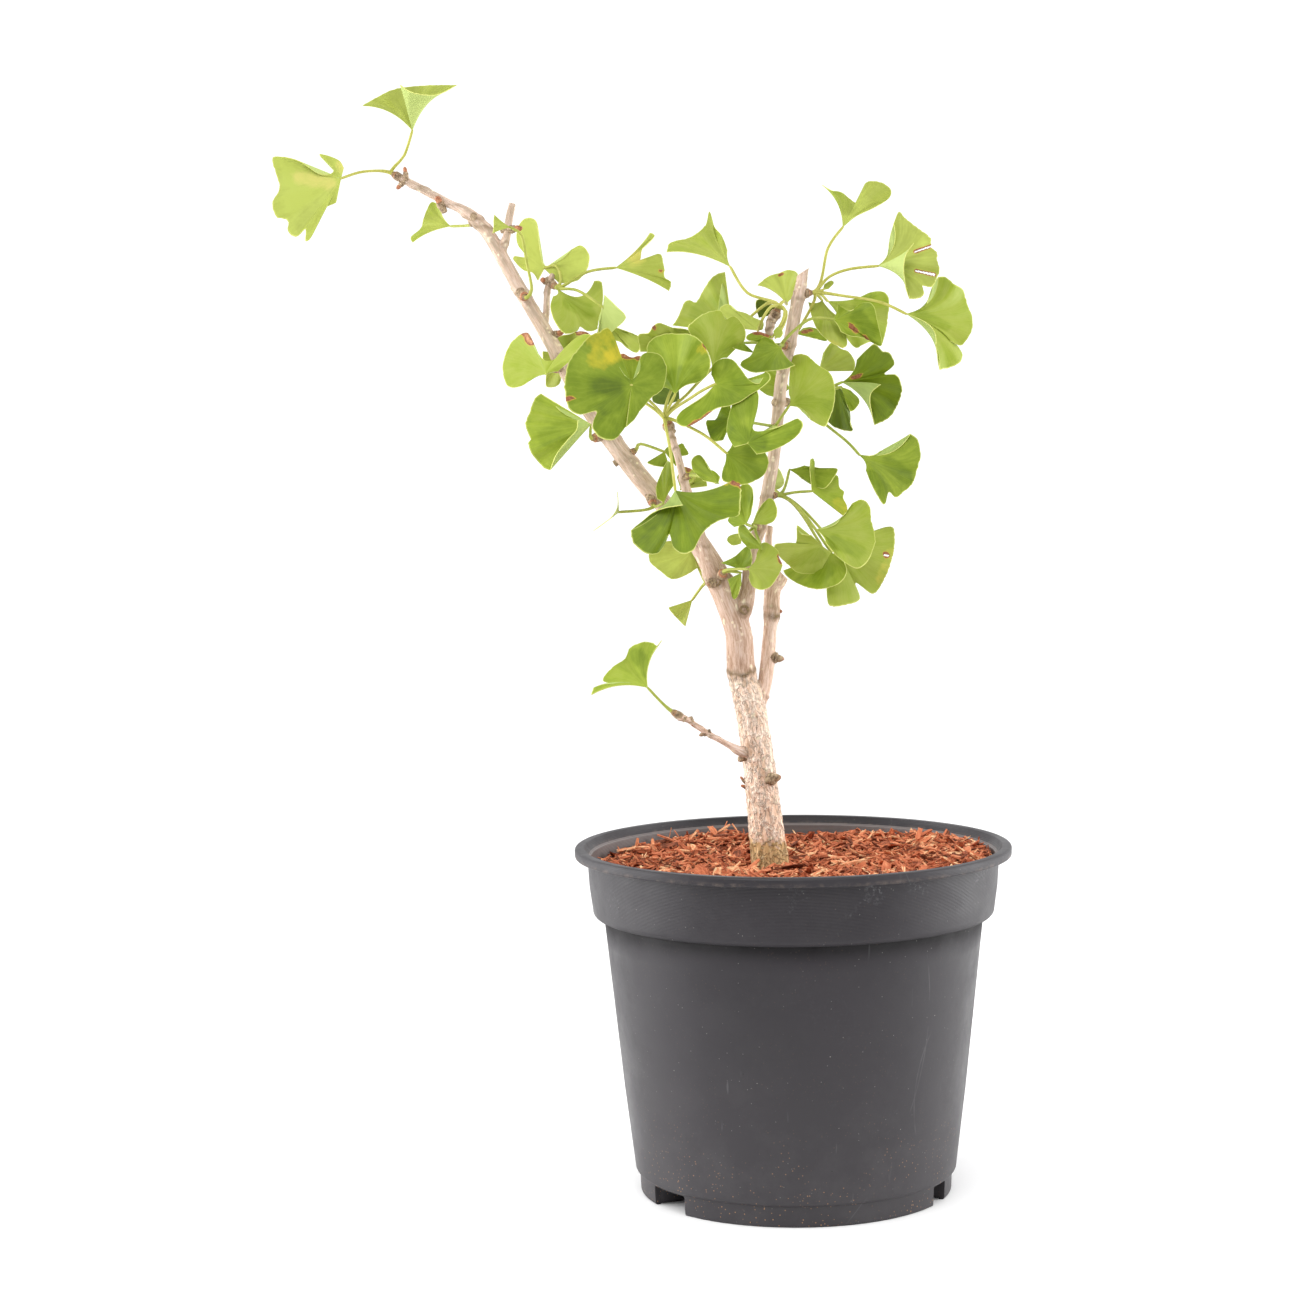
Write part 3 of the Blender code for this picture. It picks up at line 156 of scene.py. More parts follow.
def settle(obj):
    """Applies an object's place and modifiers, so that all of its shape is in its mesh."""
    pick(obj)
    bpy.ops.object.transform_apply(location=True, rotation=True, scale=True)
    for modifier in list(obj.modifiers):
        bpy.ops.object.modifier_apply(modifier=modifier.name)
    return obj


def joined(name, objects):
    """Makes one piece out of several."""
    pick(*objects)
    if len(objects) > 1:
        bpy.ops.object.join()
    whole = bpy.context.object
    whole.name = whole.data.name = name
    return whole


def twin(obj):
    """A copy of an object, with a mesh of its own."""
    copy = obj.copy()
    copy.data = obj.data.copy()
    bpy.context.scene.collection.objects.link(copy)
    return copy


def soften(obj, degrees):
    """Shades a piece smooth, except at edges sharper than this."""
    pick(obj)
    bpy.ops.object.shade_smooth_by_angle(angle=math.radians(degrees))


def store(obj, key, values):
    """Stores one number or one vector for each point of a piece."""
    values = np.asarray(values, np.float32)
    kind, field = ("FLOAT", "value") if values.ndim == 1 else ("FLOAT_VECTOR", "vector")
    obj.data.attributes.new(key, kind, "POINT").data.foreach_set(field, values.ravel())


def triangles(obj):
    obj.data.calc_loop_triangles()
    return len(obj.data.loop_triangles)


def hand_over(obj, stands_for):
    """Gives a finished piece to the frame, in place of a solid."""
    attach(obj, "root")
    if stands_for:
        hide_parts(stands_for)
    print(obj.name, triangles(obj), "triangles")


# %% [markdown]
# ## Putting a material together
#
# Every finish here is worked out by nodes from the piece's own coordinates. A node graph is quick to
# read when each node is one line, so this small class adds a node, sets its options and fills its
# inputs: a plain value is written on the socket, and another node's output is linked to it. The finish
# ends in the Principled shader, whose fixed numbers are set on its own sockets.

# %% A short way to write node graphs
class Graph:
    """A node graph under construction: add() makes a node and gives one of its outputs."""

    def __init__(self, tree):
        self.tree = tree

    def fill(self, node, inputs):
        for socket, value in inputs.items():
            socket = node.inputs[socket]
            if isinstance(value, bpy.types.NodeSocket):
                self.tree.links.new(value, socket)
            else:
                socket.default_value = value

    def add(self, kind, inputs=(), out=0, **options):
        node = self.tree.nodes.new("ShaderNode" + kind)
        for option, value in options.items():
            setattr(node, option, value)
        self.fill(node, dict(inputs))
        return node.outputs[out]

    def place(self):
        return self.add("TexCoord", out="Object")

    def value_of(self, attribute, out="Fac"):
        return self.add("Attribute", out=out, attribute_name=attribute)

    def noise(self, where, scale, detail=4.0, rough=0.55, stretch=(1, 1, 1), out="Fac"):
        if stretch != (1, 1, 1):
            where = self.add("Mapping", {"Vector": where, "Scale": stretch})
        inputs = {"Vector": where, "Scale": scale, "Detail": detail, "Roughness": rough}
        return self.add("TexNoise", inputs, out)

    def cells(self, where, scale, out="Distance"):
        return self.add("TexVoronoi", {"Vector": where, "Scale": scale}, out)

    def span(self, value, low, high, to_low=0.0, to_high=1.0):
        """Stretches the part of a value between low and high to run from to_low to to_high."""
        return self.add("MapRange", {"Value": value, "From Min": low, "From Max": high,
                                     "To Min": to_low, "To Max": to_high})

    def math(self, operation, a, b=0.0, **options):
        return self.add("Math", {0: a, 1: b}, operation=operation, **options)

    def times(self, a, b):
        return self.math("MULTIPLY", a, b)

    def plus(self, a, b, **options):
        return self.math("ADD", a, b, **options)

    def minus(self, a, b, **options):
        return self.math("SUBTRACT", a, b, **options)

    def most(self, a, b):
        return self.math("MAXIMUM", a, b)

    def hypot(self, a, b):
        """The distance that has these two offsets."""
        return self.math("SQRT", self.plus(self.times(a, a), self.times(b, b)))

    def axis(self, place, number=0):
        """One coordinate of a place: 0 for x, 1 for y, 2 for z."""
        return self.add("SeparateXYZ", {0: place}, number)

    def band(self, value, start, full, fade, end):
        """Rises from 0 at start to 1 at full, and falls again from fade to end."""
        return self.times(self.span(value, start, full), self.span(value, end, fade))

    def mix(self, share, a, b, blend="MIX"):
        """Mixes two colours, or blends the second over the first."""
        colours = {6: a if isinstance(a, bpy.types.NodeSocket) else (*a, 1),
                   7: b if isinstance(b, bpy.types.NodeSocket) else (*b, 1), 0: share}
        return self.add("Mix", colours, 2, data_type="RGBA", blend_type=blend)

    def ramp(self, value, stops):
        """A colour ramp from (position, colour) stops."""
        node = self.tree.nodes.new("ShaderNodeValToRGB")
        marks = node.color_ramp.elements
        while len(marks) < len(stops):
            marks.new(0.5)
        for mark, (position, colour) in zip(marks, stops):
            mark.position, mark.color = position, (*colour, 1)
        self.tree.links.new(value, node.inputs[0])
        return node.outputs[0]

    def bump(self, height, strength, depth, under=None):
        inputs = {"Height": height, "Strength": strength, "Distance": depth}
        if under:
            inputs["Normal"] = under
        return self.add("Bump", inputs)


class Finish(Graph):
    """A material under construction, which ends in its Principled shader."""

    def __init__(self, name):
        self.material = bpy.data.materials.new(name)
        self.material.use_nodes = True
        super().__init__(self.material.node_tree)
        self.shader = self.tree.nodes["Principled BSDF"]

    def done(self, **sockets):
        """Fills the shader. A name such as base_color stands for the socket Base Color."""
        names = {s.name.lower().replace(" ", "_"): s.name for s in self.shader.inputs}
        self.fill(self.shader, {names[key]: value for key, value in sockets.items()})
        return self.material


def wear(obj, *finishes):
    """Puts the finishes in the object's material slots, in order."""
    obj.data.materials.clear()
    for finish in finishes:
        obj.data.materials.append(finish)

# %% [markdown]
# ## The pot
#
# A nursery pot is blown or pressed in one thin wall: a ring to stand on, a body that widens upwards, a
# wider collar above a small shelf, and a rolled lip. The solid model has it with thirty-six flat sides.
# A turned shape is easily made by hand from one circle: extrude the ring, resize it about the pot's
# axis, move it, and go on round the whole profile of the wall. Small steps at the bends round them off.

# %% The profile of the pot's wall
RIM_RADIUS = 0.12
POT_HEIGHT = 0.1915
WALL = 0.0021
LIP_BOTTOM = POT_HEIGHT - 0.0052
COLLAR_TOP, COLLAR_BOTTOM = 0.1131, 0.1104
COLLAR_FOOT = 0.1535
LIP_INSIDE = 0.1147
BODY_TOP, BODY_BOTTOM = 0.1043, 0.0888
FOOT_RADIUS, FOOT_HEIGHT, FOOT_WALL = 0.0864, 0.0112, 0.0036
POT_FLOOR = FOOT_HEIGHT + 0.0024
POT_SIDES = 180


def inner_radius(z):
    """Inside of the wall, at a height above the table."""
    if z > COLLAR_FOOT + WALL:
        share = (z - COLLAR_FOOT) / (LIP_BOTTOM - COLLAR_FOOT)
        return COLLAR_BOTTOM + (COLLAR_TOP - COLLAR_BOTTOM) * share - WALL
    share = (z - FOOT_HEIGHT) / (COLLAR_FOOT - FOOT_HEIGHT)
    return BODY_BOTTOM + (BODY_TOP - BODY_BOTTOM) * share - WALL


def arc(centre, radius, start, end, count):
    """A round stretch of a profile, from angle start to end in degrees."""
    turns = [math.radians(start + (end - start) * i / (count - 1)) for i in range(count)]
    return [(centre[0] + radius * math.cos(a), centre[1] + radius * math.sin(a)) for a in turns]


shelf = COLLAR_FOOT + WALL
inside = [(0.02, POT_FLOOR)] + arc((inner_radius(POT_FLOOR) - 0.003, POT_FLOOR + 0.003), 0.003, 270, 355, 4)
inside += [(inner_radius(z), z) for z in (0.05, 0.1, shelf - 0.0004, shelf)]
inside += [(inner_radius(z), z) for z in (shelf + 0.003, 0.17, LIP_BOTTOM - 0.003, LIP_BOTTOM)]
lip = [(LIP_INSIDE - 0.0022, POT_HEIGHT - 0.0036), (LIP_INSIDE - 0.0007, POT_HEIGHT - 0.0019)]
lip += arc((LIP_INSIDE + 0.0007, POT_HEIGHT - 0.0008), 0.0008, 160, 85, 4)
lip += arc((RIM_RADIUS - 0.0015, POT_HEIGHT - 0.0015), 0.0015, 86, 4, 6)
lip += arc((RIM_RADIUS - 0.0009, LIP_BOTTOM + 0.0008), 0.0008, -4, -86, 4)
lip += [(COLLAR_TOP + 0.0006, LIP_BOTTOM + 0.0001), (COLLAR_TOP, LIP_BOTTOM - 0.0005)]
collar = [(COLLAR_TOP - 0.001, 0.17)]
collar += arc((COLLAR_BOTTOM - 0.0033, COLLAR_FOOT + 0.0035), 0.0033, 4, -82, 8)
collar += [(BODY_TOP + 0.0008, COLLAR_FOOT + 0.0002), (BODY_TOP, COLLAR_FOOT - 0.0005)]
body = [(BODY_TOP - 0.005, 0.106), (BODY_TOP - 0.01, 0.0585)]
body += arc((BODY_BOTTOM - 0.0024, FOOT_HEIGHT + 0.0028), 0.0024, 2, -75, 6)
foot = [(FOOT_RADIUS + 0.0003, FOOT_HEIGHT + 0.0001), (FOOT_RADIUS, FOOT_HEIGHT - 0.0005)]
foot += arc((FOOT_RADIUS - 0.0018, 0.0014), 0.0014, 0, -90, 5)
foot += [(FOOT_RADIUS - FOOT_WALL, 0), (FOOT_RADIUS - FOOT_WALL, FOOT_HEIGHT), (0.02, FOOT_HEIGHT)]
profile = inside + lip + collar + body + foot
print(len(profile), "rings round the wall")

# %% Extrude and resize one circle round the profile
def turned(name, profile, sides, centre=Vector()):
    """A closed shape turned about an upright axis, from (radius, height) pairs."""
    bpy.ops.object.select_all(action="DESELECT")
    first = centre + Vector((0, 0, profile[0][1]))
    bpy.ops.mesh.primitive_circle_add(vertices=sides, radius=profile[0][0], location=first)
    shape = bpy.context.object
    shape.name = shape.data.name = name
    mode("EDIT", "SELECT")
    bpy.ops.mesh.edge_face_add()
    for (radius, z), (new_radius, new_z) in zip(profile, profile[1:]):
        bpy.ops.mesh.extrude_edges_move(TRANSFORM_OT_translate={"value": (0, 0, new_z - z)})
        grow = new_radius / radius
        bpy.ops.transform.resize(value=(grow, grow, 1), center_override=centre + Vector((0, 0, new_z)))
    bpy.ops.mesh.edge_face_add()
    bpy.ops.mesh.select_all(action="SELECT")
    bpy.ops.mesh.normals_make_consistent(inside=False)
    mode("OBJECT")
    return settle(shape)


pot = turned("nursery_pot", profile, POT_SIDES, AXIS)
print(pot.name, triangles(pot), "triangles")

# %% [markdown]
# Water leaves such a pot through a ring of holes in its floor, and then through gaps in the ring that it
# stands on. Both are cuts, so a cube and a cylinder are placed as tools and taken away with the Boolean
# modifier. The angles of the three gaps count from the front towards the right. Behind one end of each
# gap a rib runs inwards under the floor.

# %% Cut the gaps in the foot and the holes in the floor
def around(radius, degrees, z):
    """A place round the pot's axis, at an angle counted from the front towards the right."""
    turn = math.radians(degrees)
    return AXIS + Vector((radius * math.sin(turn), -radius * math.cos(turn), z))


def block(place, size, degrees, rounding, steps):
    """A cube with rounded edges, turned to face outwards at its angle."""
    bpy.ops.mesh.primitive_cube_add(size=1, location=place)
    cube = bpy.context.object
    cube.scale = size
    cube.rotation_euler.z = math.radians(degrees)
    bevel = cube.modifiers.new("rounded", "BEVEL")
    bevel.width, bevel.segments = rounding, steps
    return settle(cube)


tools = []
for degrees, width in ((-55.8, 0.028), (61.8, 0.0155), (187, 0.0205)):
    place = around(FOOT_RADIUS - 0.001, degrees, FOOT_HEIGHT / 2 - 0.0004)
    tools.append(block(place, (width, 4 * FOOT_WALL, FOOT_HEIGHT), degrees, 0.0012, 3))
for number in range(8):
    place = around(0.66 * FOOT_RADIUS, 45 * number, FOOT_HEIGHT)
    bpy.ops.mesh.primitive_cylinder_add(vertices=28, radius=0.0055, depth=0.012, location=place)
    tools.append(settle(bpy.context.object))
for tool in tools:
    cut = pot.modifiers.new("cut", "BOOLEAN")
    cut.object, cut.operation, cut.solver = tool, "DIFFERENCE", "EXACT"
    pick(pot)
    bpy.ops.object.modifier_apply(modifier=cut.name)
    bpy.data.objects.remove(tool)
ribs = []
for degrees, length in ((-66.5, 0.02), (68.5, 0.012), (196.0, 0.012)):
    place = around(FOOT_RADIUS - 0.0015 - length / 2, degrees, FOOT_HEIGHT / 2)
    ribs.append(block(place, (0.0026, length, FOOT_HEIGHT - 0.0006), degrees, 0.0005, 2))
pot = joined("nursery_pot", [pot] + ribs)
soften(pot, 32)
print("cut", len(tools), "openings, set", len(ribs), "ribs;", triangles(pot), "triangles")

# %% [markdown]
# The plastic is nearly black, with a low sheen and a hint of violet. The real one has cloudy wear, pale
# specks of dust all over, white scuffs under the lip, rusty crumbs of soil near the foot, hair-fine upright
# scratches, and rings on the inside of the wall from the mould. Light is painted in as well: the wall is
# painted lighter towards the bottom, a painted shadow lies under the collar's shelf, a painted highlight
# runs along the lip's edge with the dust there, and the inside of the wall is painted lighter as if lit.
# Noise at several scales gives the clouds, stretched noise the scratches, cells the specks, and the height
# above the table says where each of them is.

# %% The plastic's finish
def specks(f, here, scale, size, share):
    """Small round specks: cells of this many to the metre, of which only some have a speck."""
    spot = f.span(f.cells(here, scale), size, size * 0.6)
    lot = f.add("SeparateColor", {0: f.cells(here, scale, "Color")})
    return f.times(spot, f.span(lot, 1 - share, 1 - share + 0.02))


def bowed_scratch(f, here, centre_x, centre_z, radius):
    """A hair-fine scratch along a circle in the front view, broken up by noise."""
    x, z = f.axis(here), f.axis(here, 2)
    off_x, off_z = f.minus(x, AXIS.x + centre_x), f.minus(z, centre_z)
    far = f.hypot(off_x, off_z)
    line = f.span(f.math("ABSOLUTE", f.minus(far, radius)), 0.0004, 0.0001, 0, 0.14)
    return f.times(line, f.span(f.noise(here, 26, 3), 0.52, 0.6))


def pot_finish():
    f = Finish("pot_plastic")
    here = f.place()
    height = f.axis(here, 2)
    clouds = f.noise(here, 17, 6, 0.66)
    fine = f.noise(here, 260, 3, 0.6)
    colour = f.mix(f.span(clouds, 0.35, 0.7), (0.0085, 0.006, 0.0095), (0.018, 0.0145, 0.019))
    # Painted light: the wall is painted lighter towards the bottom, for the brighter light it catches there.
    colour = f.mix(f.span(height, 0.135, 0.01, 0, 0.75), colour, (0.036, 0.032, 0.036))
    film = f.span(f.noise(here, 24, 6, 0.7), 0.46, 0.8)
    colour = f.mix(f.times(film, f.span(height, 0.09, 0.0, 0.18, 0.6)), colour, (0.075, 0.07, 0.073))
    # Painted shadow: a nearly black band just under the collar's shelf, where the shelf shades the wall.
    colour = f.mix(f.band(height, 0.1435, 0.1525, 0.1535, 0.1545), colour, (0.004, 0.003, 0.004))
    under_lip = f.band(height, 0.16, 0.182, 0.1855, 0.1868)
    scuff = f.times(f.span(f.noise(here, 36, 3), 0.55, 0.66), f.span(f.noise(here, 420, 5, 0.8), 0.52, 0.66))
    colour = f.mix(f.times(scuff, f.span(under_lip, 0, 1, 0.02, 0.32)), colour, (0.3, 0.3, 0.31))
    upright = f.span(f.noise(here, 300, 2, 0.5, stretch=(1, 1, 0.045)), 0.7, 0.76)
    upright = f.times(upright, f.span(f.noise(here, 14, 2), 0.48, 0.62, 0, 0.18))
    for centre_x, centre_z, radius in ((-0.11, 0.12, 0.178), (0.15, 0.06, 0.0905)):
        upright = f.most(upright, bowed_scratch(f, here, centre_x, centre_z, radius))
    colour = f.mix(upright, colour, (0.2, 0.2, 0.205))
    colour = f.mix(f.times(specks(f, here, 480, 0.14, 0.1), 0.4), colour, (0.3, 0.29, 0.27))
    colour = f.mix(f.times(specks(f, here, 210, 0.06, 0.1), 0.8), colour, (0.36, 0.34, 0.31))
    colour = f.mix(f.times(specks(f, here, 260, 0.11, 0.07), 0.8), colour, (0.008, 0.007, 0.008))
    low_down = f.span(height, 0.06, 0.004, 0.05, 0.9)
    crumbs = f.times(f.span(f.cells(here, 430), 0.18, 0.12), f.span(f.noise(here, 30, 4, 0.7), 0.43, 0.55))
    colour = f.mix(f.times(crumbs, low_down), colour, (0.34, 0.18, 0.085))
    # Partly painted highlight: a thin brownish line along the lip's outer edge, broken up by noise like dust,
    # stands for the gleam along that edge.
    edge = f.band(height, 0.1858, 0.1866, 0.1876, 0.189)
    lip_dust_and_highlight = f.times(edge, f.span(f.noise(here, 150, 4, 0.7), 0.46, 0.66, 0.0, 0.35))
    colour = f.mix(lip_dust_and_highlight, colour, (0.17, 0.125, 0.1))
    wave = {"Vector": here, "Scale": 420.0, "Distortion": 0.6, "Detail": 2.0, "Detail Scale": 0.4}
    rings = f.add("TexWave", wave, 1, bands_direction="Z")
    off_x = f.minus(f.axis(here), AXIS.x)
    off_y = f.minus(f.axis(here, 1), AXIS.y)
    from_axis = f.hypot(off_x, off_y)
    beyond = f.minus(from_axis, f.span(height, 0.1555, 0.1866, 0.1094, 0.1121))
    within = f.times(f.span(beyond, 0.0002, -0.0002), f.span(height, 0.16, 0.165))
    # Painted light: the inside of the wall is painted lighter, as the lit inner wall, with the mould's rings
    # in it.
    colour = f.mix(f.times(within, f.span(rings, 0, 1, 0.4, 1.0)), colour, (0.185, 0.16, 0.155))
    high = f.span(height, 0.155, 0.165)
    relief = f.bump(f.times(rings, high), 0.35, 0.0002, f.bump(fine, 0.1, 0.0003))
    shaded = f.band(height, 0.138, 0.15, 0.1535, 0.156)
    rough = f.plus(f.span(clouds, 0.3, 0.75, 0.33, 0.58), f.times(film, 0.2))
    rough = f.plus(rough, f.times(shaded, 0.35), use_clamp=True)
    return f.done(base_color=colour, roughness=rough, normal=relief, specular_ior_level=0.42)


wear(pot, pot_finish())
hand_over(pot, "pot")

# %% [markdown]
# ## The soil
#
# The soil is hidden under the bark and shows only through the holes in the pot's floor. Its solid has the
# right shape, so it stays and gets a dark, crumbly finish.

# %% Finish the solid soil
def soil_finish():
    f = Finish("potting_soil")
    here = f.place()
    crumbs = f.cells(here, 380)
    colour = f.ramp(f.noise(here, 240, 5, 0.7), [(0.3, (0.012, 0.008, 0.005)), (0.55, (0.045, 0.027, 0.017)),
                                                 (0.75, (0.11, 0.07, 0.045))])
    return f.done(base_color=colour, roughness=0.95, normal=f.bump(crumbs, 0.9, 0.0012))


wear(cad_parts["soil"], soil_finish())

# %% [markdown]
# ## The layer of shredded bark
#
# Reddish shredded bark covers the soil: thousands of torn flakes and splinters, most lying flat, some on
# end, darker in the gaps and here and there a pale piece of wood. No sculpted surface looks like that, so
# the layer is made of real chips on a rough bed. Six chips are modelled from a cube that is drawn out,
# split into a few faces and torn at the ends. Each has only a few dozen faces because it is copied by the
# thousand.

# %% Model six chips
BED_LEVEL = 0.1778
BED_RADIUS = inner_radius(BED_LEVEL) - 0.0003
CHIP_SHAPES = [(1, 0.27, 0.085), (1, 0.15, 0.075), (1, 0.4, 0.08), (1, 0.07, 0.06),
               (1, 0.24, 0.12), (1, 0.58, 0.09)]


def torn_chip(number, size):
    """One chip of unit length: a cube drawn out, cut across and with torn, bent ends."""
    bpy.ops.object.select_all(action="DESELECT")
    bpy.ops.mesh.primitive_cube_add(size=1)
    chip = bpy.context.object
    chip.scale = size
    bpy.ops.object.transform_apply(location=False, rotation=False, scale=True)
    mode("EDIT")
    for place in (-0.22, 0.02, 0.26):
        bpy.ops.mesh.select_all(action="SELECT")
        bpy.ops.mesh.bisect(plane_co=(place, 0, 0), plane_no=(1, 0.35 - 0.2 * number, 0))
    mode("OBJECT")
    draw = random.Random(number)
    for vert in chip.data.vertices:
        along = vert.co.x
        taper = 1 - 0.75 * max(0, abs(along) - 0.2) ** 1.2 * draw.uniform(0.6, 1.9)
        vert.co.y = vert.co.y * taper + 0.1 * size[1] * draw.uniform(-1, 1)
        bow = 0.1 * math.sin(2.2 * along + number) * (0.3 + size[1])
        vert.co.z = vert.co.z * taper * draw.uniform(0.5, 1.1) + bow
        if abs(along) > 0.4:
            vert.co.x += draw.uniform(-0.16, 0.05) * math.copysign(1, along)
    return chip


chips = [torn_chip(number, size) for number, size in enumerate(CHIP_SHAPES)]
print("faces of the chips", [len(chip.data.polygons) for chip in chips])

# %% [markdown]
# The chips are strewn by chance, but seeded, so that they fall the same way every time. Each copy has its
# own size, turn and tilt, and lies a little above or below the bed, which is heaped against the wall at the
# right. A numpy array per chip shape turns and moves all of its copies at once. Every copy also keeps two
# things for its finish: a number that picks its colour, and its own lengthwise coordinates for the grain.

# %% Strew the chips over the bed
TRUNK_FOOT, TRUNK_CLEARANCE = sighted(-12, 178.5), 0.0112
# How much of the bed is strewn, and how much of its length a chip may reach towards the wall
STREWN, CHIP_REACH = 0.985, 0.38


def bed_height(x, y):
    """Height of the bed at a place measured from the pot's axis: level, with a heap at the right."""
    heap = np.clip((x + 0.035) / 0.125, 0, 1) ** 1.5
    far_left = np.clip((-x - 0.02) / 0.08, 0, 1) * np.clip((y + 0.02) / 0.09, 0, 1)
    mound = np.exp(-((x + 0.036) / 0.024) ** 2 - ((y - 0.088) / 0.03) ** 2)
    return BED_LEVEL + 0.0076 * heap + 0.0034 * far_left + 0.0044 * mound


def turns_of(yaw, pitch, roll):
    """Stacks of rotation matrices: roll about the length, then pitch, then yaw."""
    zero, one = np.zeros_like(yaw), np.ones_like(yaw)
    cy, sy, cp, sp, cr, sr = [part(turn) for turn in (yaw, pitch, roll) for part in (np.cos, np.sin)]
    about_z = np.array([[cy, -sy, zero], [sy, cy, zero], [zero, zero, one]])
    about_y = np.array([[cp, zero, sp], [zero, one, zero], [-sp, zero, cp]])
    about_x = np.array([[one, zero, zero], [zero, cr, -sr], [zero, sr, cr]])
    return np.einsum("ijn,jkn,kln->nil", about_z, about_y, about_x)


def strew(name, shares, count, seed, lengths, lift, tilt, standing):
    """Copies of the chips in one mesh. Shares say how common each of the six shapes is."""
    draw = np.random.default_rng(seed)
    corners, faces, picks, grain, first = [], [], [], [], 0
    for chip, share in zip(chips, shares):
        n = int(count * share)
        r = BED_RADIUS * np.sqrt(draw.random(n)) * STREWN
        turn = draw.random(n) * math.tau
        x, y = r * np.sin(turn), r * np.cos(turn)
        length = draw.uniform(*lengths, n) * draw.uniform(0.5, 1.0, n)
        clear = np.hypot(x + AXIS.x - TRUNK_FOOT.x, y + AXIS.y - TRUNK_FOOT.y) > TRUNK_CLEARANCE
        fits = np.hypot(x, y) + length * CHIP_REACH < inner_radius(0.18)
        keep = clear & fits
        x, y, length = x[keep], y[keep], length[keep]
        n = len(x)
        on_end = draw.random(n) < standing
        length[on_end] *= 0.6
        pitch = np.where(on_end, draw.uniform(0.5, 1.25, n), draw.normal(0, tilt, n))
        turns = turns_of(draw.random(n) * math.tau, pitch, draw.normal(0, 0.45, n))
        z = bed_height(x, y) + draw.uniform(*lift, n)
        shape = np.array([v.co for v in chip.data.vertices])
        wide, high = draw.uniform(0.7, 1.3, n), draw.uniform(0.8, 1.4, n)
        stretch = np.stack([length, length * wide, length * high], 1)
        placed = np.einsum("nij,nvj->nvi", turns, shape[None] * stretch[:, None])
        placed += np.stack([x + AXIS.x, y + AXIS.y, z], 1)[:, None]
        corners.append(placed.reshape(-1, 3))
        for k in range(n):
            faces += [tuple(first + k * len(shape) + v for v in p.vertices) for p in chip.data.polygons]
        first += n * len(shape)
        picks.append(np.repeat(draw.random(n), len(shape)))
        own = shape[None] * stretch[:, None] + draw.random((n, 1, 3))
        grain.append(own.reshape(-1, 3))
    mesh = bpy.data.meshes.new(name)
    mesh.from_pydata(np.concatenate(corners), [], faces)
    layer = bpy.data.objects.new(name, mesh)
    bpy.context.scene.collection.objects.link(layer)
    store(layer, "pick", np.concatenate(picks))
    store(layer, "grain", np.concatenate(grain))
    print(name, len(mesh.vertices), "points")
    return layer


flakes = strew("bark_flakes", (0.28, 0.22, 0.22, 0.08, 0.11, 0.09), 3500, 4,
               (0.004, 0.014), (-0.0022, 0.0014), 0.27, 0.02)
shreds = strew("bark_shreds", (0.08, 0.4, 0.02, 0.5, 0.00, 0.00), 5000, 9,
               (0.005, 0.019), (-0.0008, 0.0028), 0.34, 0.02)

# %% [markdown]
# Some chips catch the eye and are laid one by one: a block with open grain at the far left, splinters that
# stand against the wall, a broad piece on end at the right, and a few pale ones.

# %% Lay the chips that catch the eye
# Chip shape, place from the pot's axis and length in millimetres, yaw and pitch in degrees, colour number
LAID = [
    (5, -92, 44, 184, 12, 12, 6, 0.9), (2, -83, 42, 184, 11, -20, 10, 0.88),
    (0, -86, 56, 184.5, 7, 60, 60, 0.7), (3, -67, 81, 186, 8, 0, 80, 0.85),
    (1, -63, 84, 185.5, 7, 170, 55, 0.75), (1, -70, 74, 185, 12, 160, 14, 0.6),
    (0, -36, 90, 187.5, 10, 20, 22, 0.88), (2, -42, 88, 187, 9, 120, 35, 0.7),
    (1, -29, 92, 187.5, 8, 150, 48, 0.9), (3, -35, 93, 188, 8, 40, 62, 0.8),
    (5, 73, 49, 187.5, 10, 20, 68, 0.6), (1, 48, 62, 186.5, 8, 25, 40, 0.92),
    (0, 55, 66, 186.5, 7, 140, 45, 0.75), (2, 9.8, 14, 183, 9, 40, 18, 0.98),
    (5, -42.7, -41, 182.5, 7, 80, 50, 0.95), (2, 24, -8, 184, 12, -10, 12, 0.8),
    (1, -6, -47, 182.5, 14, 8, 8, 0.8), (5, 2, -38, 183, 11, -30, 12, 0.56),
    (1, 33, -26, 184.5, 18, 8, 5, 0.9),
]


def lay(shape, x, y, z, length, yaw, pitch, number):
    """One chip, turned and moved to its given place."""
    chip = twin(chips[shape])
    store(chip, "pick", [number] * len(chip.data.vertices))
    store(chip, "grain", [v.co * length * MM + Vector((number, x, y)) for v in chip.data.vertices])
    turn = Matrix.Rotation(math.radians(yaw), 4, "Z") @ Matrix.Rotation(-math.radians(pitch), 4, "Y")
    move = Matrix.Translation(AXIS + Vector((x, y, z)) * MM)
    chip.data.transform(move @ turn @ Matrix.Scale(length * MM, 4))
    return chip


flakes = joined("bark_flakes", [flakes] + [lay(*chip) for chip in LAID])
for chip in chips:
    bpy.data.objects.remove(chip)
print(len(LAID), "chips laid by hand")

# %% [markdown]
# Under the chips lies the bed: a round grid that fills the pot up to the wall and sits on the soil. It is
# seen only in the gaps, so it is rough and painted dark, as painted shade between the chips, and closes
# what the chips leave open.

# %% The bed under the chips
BED_RINGS, BED_UNDERSIDE, BED_SINKS = 16, 0.1679, 0.0022

